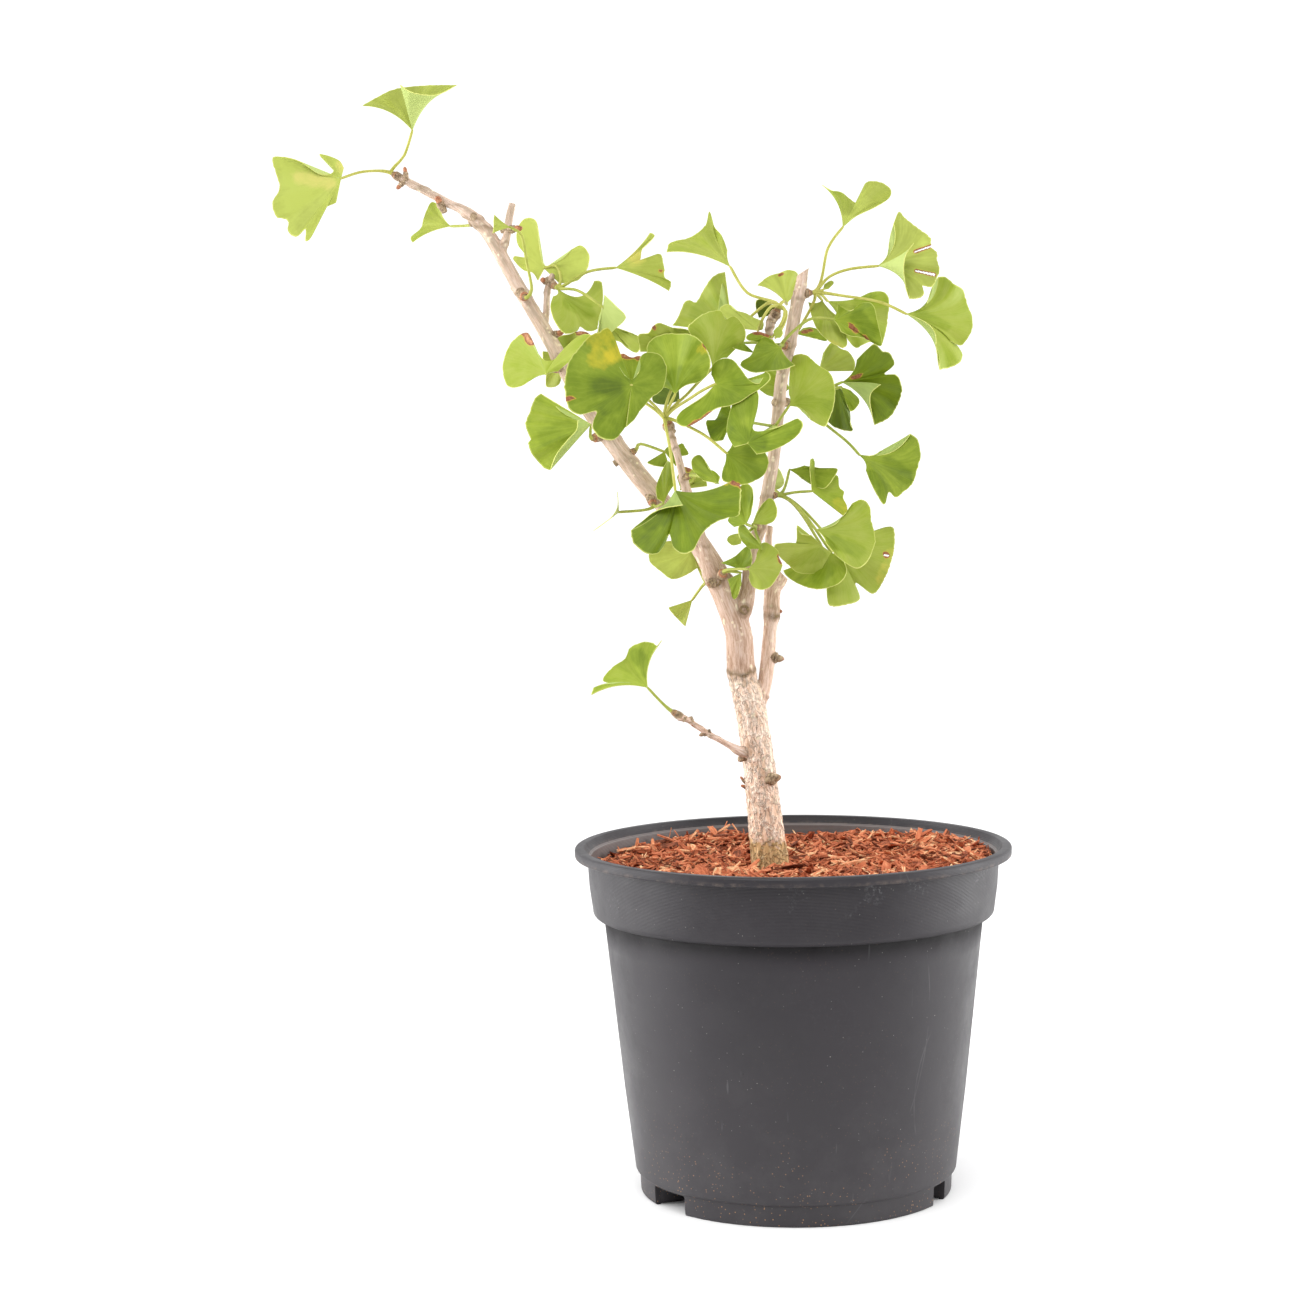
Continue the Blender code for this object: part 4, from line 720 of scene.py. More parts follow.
bpy.ops.object.select_all(action="DESELECT")
place = AXIS + Vector((0, 0, BED_LEVEL - 0.0035))
bpy.ops.mesh.primitive_cylinder_add(vertices=96, radius=BED_RADIUS, depth=0.006, location=place)
bed = bpy.context.object
bed.name = bed.data.name = "bark_bed"
bpy.ops.object.transform_apply(location=True, rotation=False, scale=False)
mode("EDIT", "DESELECT")
mode("OBJECT")
for face in bed.data.polygons:
    face.select = face.normal.z > 0.9
mode("EDIT")
for ring in range(BED_RINGS):
    bpy.ops.mesh.inset(thickness=BED_RADIUS / (BED_RINGS + 1.5))
bpy.ops.mesh.poke()
mode("OBJECT")
for vert in bed.data.vertices:
    if vert.co.z > BED_LEVEL - 0.002:
        off = vert.co - AXIS
        vert.co.z = bed_height(off.x, off.y) - BED_SINKS
        if math.hypot(off.x, off.y) < BED_RADIUS * 0.97:
            vert.co.z += 0.0016 * noise.noise(vert.co * 260) + 0.0012 * noise.noise(vert.co * 90)
    else:
        vert.co.z = BED_UNDERSIDE
soften(bed, 40)
print(bed.name, triangles(bed), "triangles")

# %% [markdown]
# One finish serves the bed and all chips. Each chip's own number picks a colour from a ramp that runs
# from dark brown over fox red to pale tan, and streaks along the grain vary it within the chip.

# %% The bark's finish
CHIP_COLOURS = [(0.0, (0.13, 0.036, 0.016)), (0.12, (0.3, 0.082, 0.036)), (0.4, (0.52, 0.15, 0.068)),
                (0.72, (0.66, 0.225, 0.105)), (0.9, (0.74, 0.34, 0.17)), (1.0, (0.84, 0.56, 0.31))]


def chip_finish():
    f = Finish("bark_chips")
    own = f.value_of("grain", "Vector")
    pick_number = f.value_of("pick")
    fibres = f.noise(own, 1100, 4, 0.7, stretch=(0.1, 1.0, 1.0))
    blotch = f.noise(own, 230, 3, 0.6)
    shade = f.plus(pick_number, f.span(fibres, 0.3, 0.7, -0.32, 0.24))
    shade = f.plus(shade, f.span(blotch, 0.35, 0.65, -0.14, 0.14), use_clamp=True)
    colour = f.ramp(shade, CHIP_COLOURS)
    relief = f.bump(fibres, 0.9, 0.0008)
    return f.done(base_color=colour, roughness=0.86, normal=relief, specular_ior_level=0.25)


def bed_finish():
    f = Finish("bark_bed")
    here = f.place()
    # Painted shade: the bed's dark browns stand for the shade in the gaps between the chips.
    colour = f.ramp(f.noise(here, 420, 5, 0.7), [(0.3, (0.035, 0.012, 0.006)), (0.7, (0.22, 0.07, 0.03))])
    return f.done(base_color=colour, roughness=0.95, normal=f.bump(f.noise(here, 500, 4), 1.0, 0.001))


bark = chip_finish()
wear(flakes, bark)
wear(shreds, bark)
wear(bed, bed_finish())
hand_over(bed, "bark_mulch")
hand_over(flakes, None)
hand_over(shreds, None)

# %% [markdown]
# ## The wood
#
# The trunk leans, forks into a long bough on the left, an upright leader with a sawn end, and a few
# shoots. The drawing gives each limb as stops: x, z, depth and radius, in millimetres on the sheet.
# A limb is easily made as a curve with a round bevel and a radius at every stop. The limbs are made
# meshes, joined, and remeshed by small cubes into one closed skin, which melts their forks together
# as grown wood does.

# %% The drawing of the limbs
LIMBS = {
    "trunk": [(-6, 118, 0, 10), (-7.5, 136, 0, 10.4), (-9.5, 157.5, 0, 10.6), (-12, 178.5, 0, 10.6),
        (-14.5, 199.5, 0, 9.6), (-16.5, 221.5, 0, 9), (-19, 244, 0, 8.7), (-22.5, 268, 0, 8.4),
        (-26, 281.5, 0, 8), (-27, 287.5, 0, 7.9), (-27.5, 293.5, 0, 7.6), (-28.5, 309, 0, 7.4),
        (-34, 326, 0, 7.2), (-39, 338, 2, 7.4), (-45.5, 351, 3, 6.2), (-54.5, 364.5, 6, 5.7),
        (-66.5, 377.5, 9, 5.5), (-78, 390.5, 14, 5.4), (-88, 403.5, 18, 5.3), (-97.5, 416.5, 22, 5.2),
        (-107, 430, 27, 4.9), (-116, 445, 32, 4.7), (-124.5, 461, 34, 4.4), (-131.5, 474, 38, 4.2),
        (-139, 487, 40, 4), (-146.5, 500, 44, 3.9), (-153, 512, 46, 3.8), (-159.5, 524, 50, 3.7),
        (-166, 533, 51, 3.6), (-172.5, 538.5, 52, 3.3), (-178, 541.5, 54, 2.4), (-187.5, 546.5, 56, 2.4),
        (-199.5, 553, 56, 2.3), (-208, 557.5, 56, 2.3), (-210.5, 558.5, 56, 2.6)],
    "stub": [(-156, 515, 48, 3), (-153.5, 520.5, 48, 2.8), (-151.5, 526, 48, 2.3), (-150, 535.5, 48, 2.2),
        (-148, 543.5, 48, 2.1)],
    "twig": [(-133, 475, 39, 2.6), (-131, 481.5, 42, 2), (-130.5, 488.5, 44, 1.9), (-130, 496.5, 45, 1.9),
        (-128, 502, 45, 2.1), (-127, 505.5, 45, 1.2)],
    "shoot": [(-40, 336.5, 0, 5), (-46.5, 355.5, -6, 3.2), (-51.5, 373.5, -12, 2.6), (-56, 387.5, -16, 2.7),
        (-57.5, 393.5, -18, 2.2), (-60.5, 406, -21, 2.1), (-64, 417.5, -26, 2.1), (-65.5, 422.5, -27, 2.6)],
    "leader": [(-29, 314.5, 0, 5.5), (-25, 324, -2, 5.2), (-23, 332, 0, 4.2), (-21.5, 344, 2, 3.9),
        (-20, 355, 2, 3.8), (-16, 366, 2, 3.7), (-13, 378.5, 0, 3.6), (-10.5, 391.5, 0, 3.6),
        (-8, 405, 0, 3.4), (-6.5, 419, 0, 3.4), (-5, 432.5, 0, 3.5), (-3.5, 446, 0, 3.5), (-1, 457, 0, 3.6),
        (1.5, 467.5, 0, 3.7), (4, 480.5, 0, 3.6), (7, 493.5, 0, 3.5), (8.2, 500.5, 0, 3.1),
        (9.6, 509, 0, 2.8)],
    "cone": [(-3, 448.5, 0, 2.4), (-7, 460.5, -8, 2), (-10, 469.5, -12, 1.9), (-9.5, 475.5, -14, 2.4),
        (-7.5, 481, -15, 2.9)],
    "prong": [(-19, 265, 2, 4), (-15, 277, 4, 3.8), (-13, 289, 6, 4.1), (-12, 300, 8, 3.9),
        (-11, 311, 9, 3.8), (-10, 318.5, 10, 4.6), (-10, 326.5, 12, 4.6), (-9, 333, 14, 4.6),
        (-6, 335, 14, 3.4), (-4, 339, 14, 3.4), (-2.5, 344.5, 14, 3.2)],
    "strand": [(-10, 330.5, 14, 3.4), (-11, 338.5, 15, 2.6), (-11, 351, 16, 2.2), (-11.5, 359, 16, 2.1),
        (-10.5, 367, 16, 1.9)],
    "lowtwig": [(-24, 240.5, -3, 3.2), (-28.5, 243.5, -6, 2.6), (-36.5, 248, -9, 1.7), (-46, 253.5, -12, 1.7),
        (-56, 260.5, -14, 1.6), (-59, 262, -15, 2), (-62, 263, -15, 2.2)],
}

# %% Draw the limbs as curves
def smooth_between(stops, share, lead=None):
    """A point of the smooth curve through the stops. Share counts stops from 0, lead comes before them."""
    i = min(int(share), len(stops) - 2)
    t = share - i
    a = stops[i - 1] if i else lead or stops[0]
    b, c, d = stops[i], stops[i + 1], stops[min(i + 2, len(stops) - 1)]
    return 0.5 * (2 * b + (c - a) * t + (2 * a - 5 * b + 4 * c - d) * t ** 2
                  + (3 * b - a - 3 * c + d) * t ** 3)


def round_curve(name, points, radii, sides=8):
    """A curve with a round section and its own radius at each point, as a mesh."""
    curve = bpy.data.curves.new(name, "CURVE")
    curve.dimensions = "3D"
    curve.bevel_depth = 1.0
    curve.bevel_resolution = (sides - 4) // 2
    curve.use_fill_caps = True
    spline = curve.splines.new("POLY")
    spline.points.add(len(points) - 1)
    for knot, point, radius in zip(spline.points, points, radii):
        knot.co, knot.radius = (*point, 1), radius
    obj = bpy.data.objects.new(name, curve)
    bpy.context.scene.collection.objects.link(obj)
    pick(obj)
    bpy.ops.object.convert(target="MESH")
    return bpy.context.object


def limb_line(stops, step=0.0022):
    """Close, smooth stops along a limb: places, and radii in metres."""
    knots = [Vector((*sighted(x, z, depth), r * MM)) for x, z, depth, r in stops]
    points = []
    for i in range(len(knots) - 1):
        count = max(2, int((knots[i + 1] - knots[i]).length / step))
        points += [smooth_between(knots, i + k / count) for k in range(count)]
    points.append(knots[-1])
    return [p.xyz for p in points], [max(p.w, 0.0009) for p in points]


lines = {name: limb_line(stops) for name, stops in LIMBS.items()}
skins = [round_curve(name, points, radii, 16) for name, (points, radii) in lines.items()]
lengths = {name: sum((b - a).length for a, b in zip(p, p[1:])) for name, (p, r) in lines.items()}
print({name: round(length / MM) for name, length in lengths.items()}, "mm")

# %% Join the limbs and remesh them into one skin
BARK_CUBE = 0.00072
wood = joined("ginkgo_wood", skins)
remesh = wood.modifiers.new("one_skin", "REMESH")
remesh.mode, remesh.voxel_size = "VOXEL", BARK_CUBE
settle(wood)
smooth = wood.modifiers.new("soft_forks", "SMOOTH")
smooth.factor, smooth.iterations = 0.5, 4
settle(wood)
print(wood.name, triangles(wood), "triangles")

# %% [markdown]
# Bark follows the limb: its cracks run lengthwise, and its scars lie round it. So every point of the skin
# is told where it is on the nearest limb, as if that limb were straightened: two numbers across it and
# one along it. The carving below and the finish both read this place, kept as the attribute grain.

# %% Tell each point of the skin its place along and round its limb
BLOCK = 4000


def straightened(co):
    """For points in space: their place on the nearest limb as if straight, that limb's name and radius."""
    centres, tangents, starts, radii, owners = [], [], [], [], []
    for number, (name, (points, thick)) in enumerate(lines.items()):
        p = np.array([tuple(q) for q in points])
        t = np.gradient(p, axis=0)
        t /= np.linalg.norm(t, axis=1)[:, None]
        along = np.concatenate([[0], np.cumsum(np.linalg.norm(np.diff(p, axis=0), axis=1))])
        centres.append(p)
        tangents.append(t)
        starts.append(along)
        radii.append(np.array(thick))
        owners.append(np.full(len(p), number))
    centres, tangents = np.concatenate(centres), np.concatenate(tangents)
    starts, radii, owners = np.concatenate(starts), np.concatenate(radii), np.concatenate(owners)
    nearest = np.empty(len(co), int)
    for a in range(0, len(co), BLOCK):
        gap = np.linalg.norm(co[a:a + BLOCK, None] - centres[None], axis=2) - radii[None]
        nearest[a:a + BLOCK] = gap.argmin(1)
    off = co - centres[nearest]
    run = np.einsum("ij,ij->i", off, tangents[nearest])
    off -= run[:, None] * tangents[nearest]
    side = np.cross(tangents[nearest], (0.0, 1.0, 0.0))
    side /= np.linalg.norm(side, axis=1)[:, None]
    front = np.cross(side, tangents[nearest])
    across = np.stack([np.einsum("ij,ij->i", off, side), np.einsum("ij,ij->i", off, front)], 1)
    across *= (radii[nearest] / np.maximum(np.linalg.norm(across, axis=1), 1e-6))[:, None]
    along = starts[nearest] + run
    return across, along, owners[nearest], radii[nearest], off


co = np.empty(len(wood.data.vertices) * 3)
wood.data.vertices.foreach_get("co", co)
co = co.reshape(-1, 3)
across, along, owner, thick, outward = straightened(co)
outward /= np.maximum(np.linalg.norm(outward, axis=1), 1e-6)[:, None]
grain = np.stack([across[:, 0], across[:, 1], along + 0.7 * owner], 1)
store(wood, "grain", grain)
print(len(co), "points of bark")

# %% [markdown]
# The leader and the prong were cut with a slanting stroke. All points beyond the stroke are pressed back
# onto it. Then the bark is carved: the old bark of the low trunk has short, winding ridges, the young bark
# above a ring scar is smooth with fine lengthwise lines, and where a bud scale once sat, a scar rings the
# limb. Small round scars of lost spurs have rings of their own. All of this is under half a millimetre
# high, so it is carved by moving each point in or out.

# %% Cut the ends and carve ridges, pores and scars
# Cuts: limb, then two places on the stroke, from left to right
CUTS = [("leader", (5.9, 502.7), (11.5, 506.1)), ("prong", (-4.8, 341.4), (-1.0, 337.4))]
# Ring scars of each limb: the height z where its middle is drawn, how far it stands out, half width, darkness
SCARS = {
    "trunk": [(287.4, 0.5, 1.6, 1), (283, -0.6, 1.4, 0.45), (338, 0.9, 2, 0.2), (404, 0.5, 1.6, 0.25),
        (416, 0.6, 1.5, 0.35), (461, 0.7, 1.6, 0.3), (497, 0.6, 1.5, 0.35), (534.5, 1, 1.6, 0.75),
        (539, 0.7, 1, 0.6), (546.5, 0.5, 0.9, 0.4), (556.5, 0.5, 1, 0.5)],
    "prong": [(317, 0.4, 2.4, 1), (322, 0.3, 1.8, 0.4)],
    "leader": [(342, 0.4, 1.3, 0.3), (366, 0.5, 1.3, 0.4), (383.5, 0.5, 1.2, 0.4), (420, 0.5, 1.2, 0.4),
        (434, 0.5, 1.3, 0.4), (464.5, 0.6, 1.4, 0.4), (490, 0.6, 1.6, 0.45)],
    "shoot": [(357, 0.4, 1, 0.5), (372.5, 0.5, 1.2, 0.85), (393, 0.4, 1, 0.5), (410, 0.4, 0.9, 0.7),
        (416, 0.4, 0.9, 0.8)],
    "twig": [(497, 0.4, 1, 0.6)],
    "cone": [(466, 0.5, 0.9, 0.8), (470, 0.5, 0.8, 0.9), (474, 0.5, 0.8, 0.9), (478, 0.5, 0.8, 0.9)],
    "lowtwig": [(243, 0.6, 1, 0.5), (253.5, 0.4, 0.8, 0.5), (259.5, 0.3, 0.7, 0.6), (262, 0.3, 0.6, 0.7)],
    "stub": [(524, 0.3, 0.8, 0.4)],
}
# Round scars on the viewer's side: x, z, radius, darkness
ROUND_SCARS = [
    (-25.2, 321, 4.6, 1.8), (-40, 336.6, 4.6, 1.5), (-24.9, 241.8, 1.9, 0.95), (-13, 273, 1.4, 0.6),
    (-7.6, 320.8, 1.7, 0.35), (-34, 339.5, 2.4, 0.9), (-26, 279.5, 1.6, 0.9), (-30.2, 283.5, 1.6, 0.8),
]
# The old bark ends at the first ring scar
OLD_TOP, OLD_FADE = 0.288, 0.004
names, eye = list(LIMBS), np.array(EYE)
for limb, left, right in CUTS:
    left, right = np.array(sighted(*left, 0)), np.array(sighted(*right, 0))
    stroke = np.array((right[2] - left[2], 0.0, left[0] - right[0]))
    stroke *= -1 / np.linalg.norm(stroke)
    centre_y = lines[limb][0][-1].y
    shift = (centre_y - EYE.y) / (AXIS.y - EYE.y)
    beyond = (co - (eye + (left - eye) * shift)) @ stroke
    cut = (owner == names.index(limb)) & (beyond > 0)
    co[cut] -= beyond[cut, None] * stroke
    outward[cut] = stroke
    print("cut", limb, int(cut.sum()), "points")
height = co[:, 2]
age = np.clip((OLD_TOP - height) / OLD_FADE, 0, 1) * (owner == names.index("trunk"))
push, dark = np.zeros(len(co)), np.zeros(len(co))
ridge, pore, jag = np.zeros(len(co)), np.zeros(len(co)), np.zeros(len(co))
for i, (a, b, s) in enumerate(grain):
    if age[i] > 0:
        bend, twist = noise.noise((a * 200, b * 200, s * 150)), noise.noise((a * 190, b * 190, s * 140 + 9))
        worm = 1 - min(1.0, 3.0 * abs(noise.noise((a * 300 + bend, b * 300 + twist, s * 130 + 1.5 * bend))))
        ridge[i] = 0.65 * worm + 0.35 * (1 - min(1.0, 2.6 * abs(noise.noise((a * 560, b * 560, s * 190)))))
    jag[i] = noise.noise((a * 280, b * 280, s * 60 + 3))
    pore[i] = max(0.0, noise.noise((a * 420, b * 420, s * 300)) - 0.45)
    push[i] = 0.9 * noise.noise((a * 60, b * 60, s * 28)) + 0.5 * noise.noise((a * 190, b * 190, s * 60))
push *= np.clip(thick / 0.01, 0.15, 1) * 0.42 * MM
push += age * (ridge - 0.45) * 0.75 * MM + (0.25 + 0.75 * np.clip(thick / 0.008, 0, 1)) * pore * 1.6 * MM
for limb, (z, rise, width, depth_of_tone) in [(limb, scar) for limb in SCARS for scar in SCARS[limb]]:
    wobble = MM * (0.8 * np.sin(np.arctan2(grain[:, 1], grain[:, 0]) * 2 + z) + 1.3 * width * jag)
    near = np.exp(-((height - z * MM + wobble) / (width * MM)) ** 2) * (owner == names.index(limb))
    push += near * rise * MM * 0.8
    dark = np.maximum(dark, near * depth_of_tone)
on_sheet = (eye + (co - eye) * ((AXIS.y - EYE.y) / (co[:, 1:2] - EYE.y)) - np.array(AXIS)) / MM
for x, z, radius, depth_of_tone in ROUND_SCARS:
    gap = np.hypot(on_sheet[:, 0] - x, on_sheet[:, 2] - z) / radius
    rings = 0.75 + 0.25 * np.cos(gap * 14)
    near = np.clip(1.6 - 1.5 * gap, 0, 1) * (outward[:, 1] < 0.1)
    push += near * (0.35 + 0.25 * rings) * MM
    dark = np.maximum(dark, near * rings * depth_of_tone)
co += outward * push[:, None]
wood.data.vertices.foreach_set("co", co.ravel())
sawn = np.abs(outward[:, 1]) < 1e-9
numbers = {"scar": dark, "old": age, "ridge": ridge * age, "pore": np.clip(pore * 4, 0, 1), "sawn": sawn}
for key, values in numbers.items():
    store(wood, key, values)
wood.data.update()
soften(wood, 60)
print("carved", round(float(np.abs(push).max()) * 1000, 2), "mm at most")

# %% [markdown]
# ## Spurs and buds
#
# A ginkgo carries its leaves in tufts on short spurs, ringed by the scars of past years, and closed
# buds sit along the wood like small pointed eggs wrapped in brown scales. Both are turned shapes with
# steps in their profile, so one of each is modelled by spinning a profile and is then copied to all
# its places, turned to point outwards. A number says which part of it is the ripe, orange tip.

# %% The drawing of the spurs and buds
SPURS = {
    "tip": ((-208, 557.5, 56), (-211.5, 559.5, 56), 2.3),
    "joint": ((-169.5, 535.5, 51), (-170, 533, 60), 2.2),
    "bend": ((-146, 496.5, 44), (-142.5, 493, 34.5), 2.6),
    "twig": ((-128.5, 501, 45), (-126, 498.5, 40), 2),
    "bough": ((-124, 461, 34), (-120.5, 462, 42), 2.2),
    "boughface": ((-121.5, 455, 33), (-126.5, 453.5, 27), 2),
    "lowbough": ((-99.5, 418, 22), (-106, 416, 16), 2.4),
    "star": ((-64.5, 420, -26), (-66, 423.5, -28), 2.8),
    "nub": ((-91.5, 404, 18), (-84.5, 408.5, 17), 2),
    "knot": ((-77, 387.5, 14), (-74.5, 380, 5), 2.4),
    "shoot": ((-58, 393.5, -18), (-55, 394.5, -21), 1.7),
    "node": ((-39.5, 337.5, 1), (-36.5, 341.5, -8), 2.6),
    "nodeback": ((-40.5, 336.5, 1), (-44.5, 336.5, 9), 2.4),
    "lowtwig": ((-60, 262.5, -15), (-64, 265, -15), 2),
    "cone": ((-7.5, 479.5, -15), (-5.5, 483.5, -15), 2.6),
    "crotch": ((1, 464.5, 0), (-2, 465, -6), 2.4),
    "top": ((6.5, 492.5, 0), (12, 493, 1), 2.4),
    "backspur": ((-5, 434, 0), (0, 434, 6), 2.2),
    "leftspur": ((-6.5, 420, 0), (-7, 420.5, -6), 2.2),
    "midspur": ((-16, 366.5, 2), (-18, 366.5, -5), 2),
    "rightspur": ((-11.5, 383.5, 0), (-8, 383.5, 0), 2.4),
}
BUDS = [
    ((-205.5, 559.5, 54), (-206, 563, 53), 1.4), ((-208, 554.5, 55), (-210, 552.5, 55), 1.5),
    ((-187, 543.5, 54), (-188.5, 546.5, 52), 2.2), ((-149, 529.5, 47), (-144, 530, 45), 2.1),
    ((-126, 472.5, 35), (-122.5, 473.5, 33), 1.9), ((-131.5, 501.5, 44), (-132.5, 502, 43), 1.8),
    ((-8.5, 294.5, 6), (-5.2, 294, 5), 2.7, 1), ((-10.2, 228, -7.8), (-7.6, 228.6, -9), 2.8, 1),
    ((-25.5, 223.5, -1), (-27.5, 224.2, -2), 1.1), ((-26.5, 227, -1), (-28, 229, -2), 0.9),
    ((-27, 240, -4), (-28, 239, -4), 2.6, 1), ((-47.5, 253.5, -12), (-50, 252.5, -12), 1.4, 1),
    ((-43, 336, -5), (-44, 335.5, -7), 2.6, 1), ((-6.5, 320, 9), (-5, 320, 9), 1.2),
    ((-54.5, 260, -14), (-54, 258, -14), 1.2),
]

# %% Spin one spur and one bud
SPUR_SIDES = 14
spur_profile = [(0.95, -0.5)]
for ring in range(6):
    z, r = ring / 6, 1.0 + 0.16 * math.sin(ring * 0.6)
    spur_profile += [(r * 0.86, z), (r * 1.05, z + 0.05), (r * 1.02, z + 0.115)]
spur_profile += [(0.9, 1.0), (0.74, 1.04), (0.62, 0.96), (0.3, 1.0)]
bud_profile = [(0.8, -0.7), (0.98, -0.1)]
for ring in range(3):
    r = (1.06, 1.12, 1.00)[ring]
    bud_profile += [(r * 0.92, ring * 0.22), (r * 1.04, ring * 0.22 + 0.05), (r * 0.98, ring * 0.22 + 0.17)]
bud_profile += [(0.74, 0.64), (0.82, 0.76), (0.84, 0.92), (0.74, 1.1)]
bud_profile += [(0.52, 1.24), (0.26, 1.32), (0.05, 1.36)]
spur_shape = turned("spur_shape", spur_profile, SPUR_SIDES)
bud_shape = turned("bud_shape", bud_profile, SPUR_SIDES)
for shape, start in ((spur_shape, 0.9), (bud_shape, 0.62)):
    ripe = [min(1.0, max(0.0, (v.co.z - start) / 0.1)) for v in shape.data.vertices]
    store(shape, "ripe", ripe)
print("faces", len(spur_shape.data.polygons), len(bud_shape.data.polygons))

# %% Copy them to their places on the wood
def copy_of(shape, name, foot, tip, radius, length, seed):
    """A copy of a turned shape from foot towards tip, a little out of round."""
    copy = twin(shape)
    copy.name = name
    way = (tip - foot).normalized()
    draw = random.Random(seed)
    bumps = Vector((draw.random(), draw.random(), draw.random())) * 9
    for vert in copy.data.vertices:
        flat = 1 + 0.16 * noise.noise(vert.co * 1.7 + bumps)
        vert.co = Vector((vert.co.x * radius * flat, vert.co.y * radius * flat, vert.co.z * length))
    spin = Matrix.Rotation(draw.uniform(0, math.tau), 4, "Z")
    copy.data.transform(Matrix.Translation(foot) @ way.to_track_quat("Z", "Y").to_matrix().to_4x4() @ spin)
    return copy


grown = []
for seed, (name, (root, end, radius)) in enumerate(SPURS.items()):
    root, end = sighted(*root), sighted(*end)
    grown.append(copy_of(spur_shape, "spur", root, end, radius * MM, (end - root).length, seed))
for seed, (root, tip, radius, *dull) in enumerate(BUDS):
    root, tip = sighted(*root), sighted(*tip)
    way = (tip - root).normalized()
    foot, end = root - way * radius * MM * 0.8, tip + way * radius * MM * 0.8
    grown.append(copy_of(bud_shape, "bud", foot, end, radius * MM, (end - foot).length / 1.42, seed + 50))
    if dull:
        bud = grown[-1].data
        shares = [(v.co - foot).dot(way) / (end - foot).length for v in bud.vertices]
        ripe = [min(1.0, max(0.0, 9 * share - 7.6)) for share in shares]
        bud.attributes["ripe"].data.foreach_set("value", ripe)
        for vert, share in zip(bud.vertices, shares):
            middle = foot + way * (vert.co - foot).dot(way)
            vert.co = middle + (vert.co - middle) * (1.1 - 0.75 * max(0.0, share - 0.35))
spurs = joined("spurs_and_buds", grown)
for shape in (spur_shape, bud_shape):
    bpy.data.objects.remove(shape)
soften(spurs, 50)
print(len(grown), "spurs and buds,", triangles(spurs), "triangles")

# %% [markdown]
# The bark is a pale, pinkish tan with darker lengthwise lines. On the old trunk it is lighter on the
# ridges, partly a painted highlight, and brown between them, partly painted shade in the cracks. Above
# the ring scar its left side is painted darker, as painted shade. Pale pores are strewn over it, the foot
# just above the bark chips is still greenish brown, and the scars are dark brown, broken up by pale
# scraps. The sawn ends show straw-coloured wood.

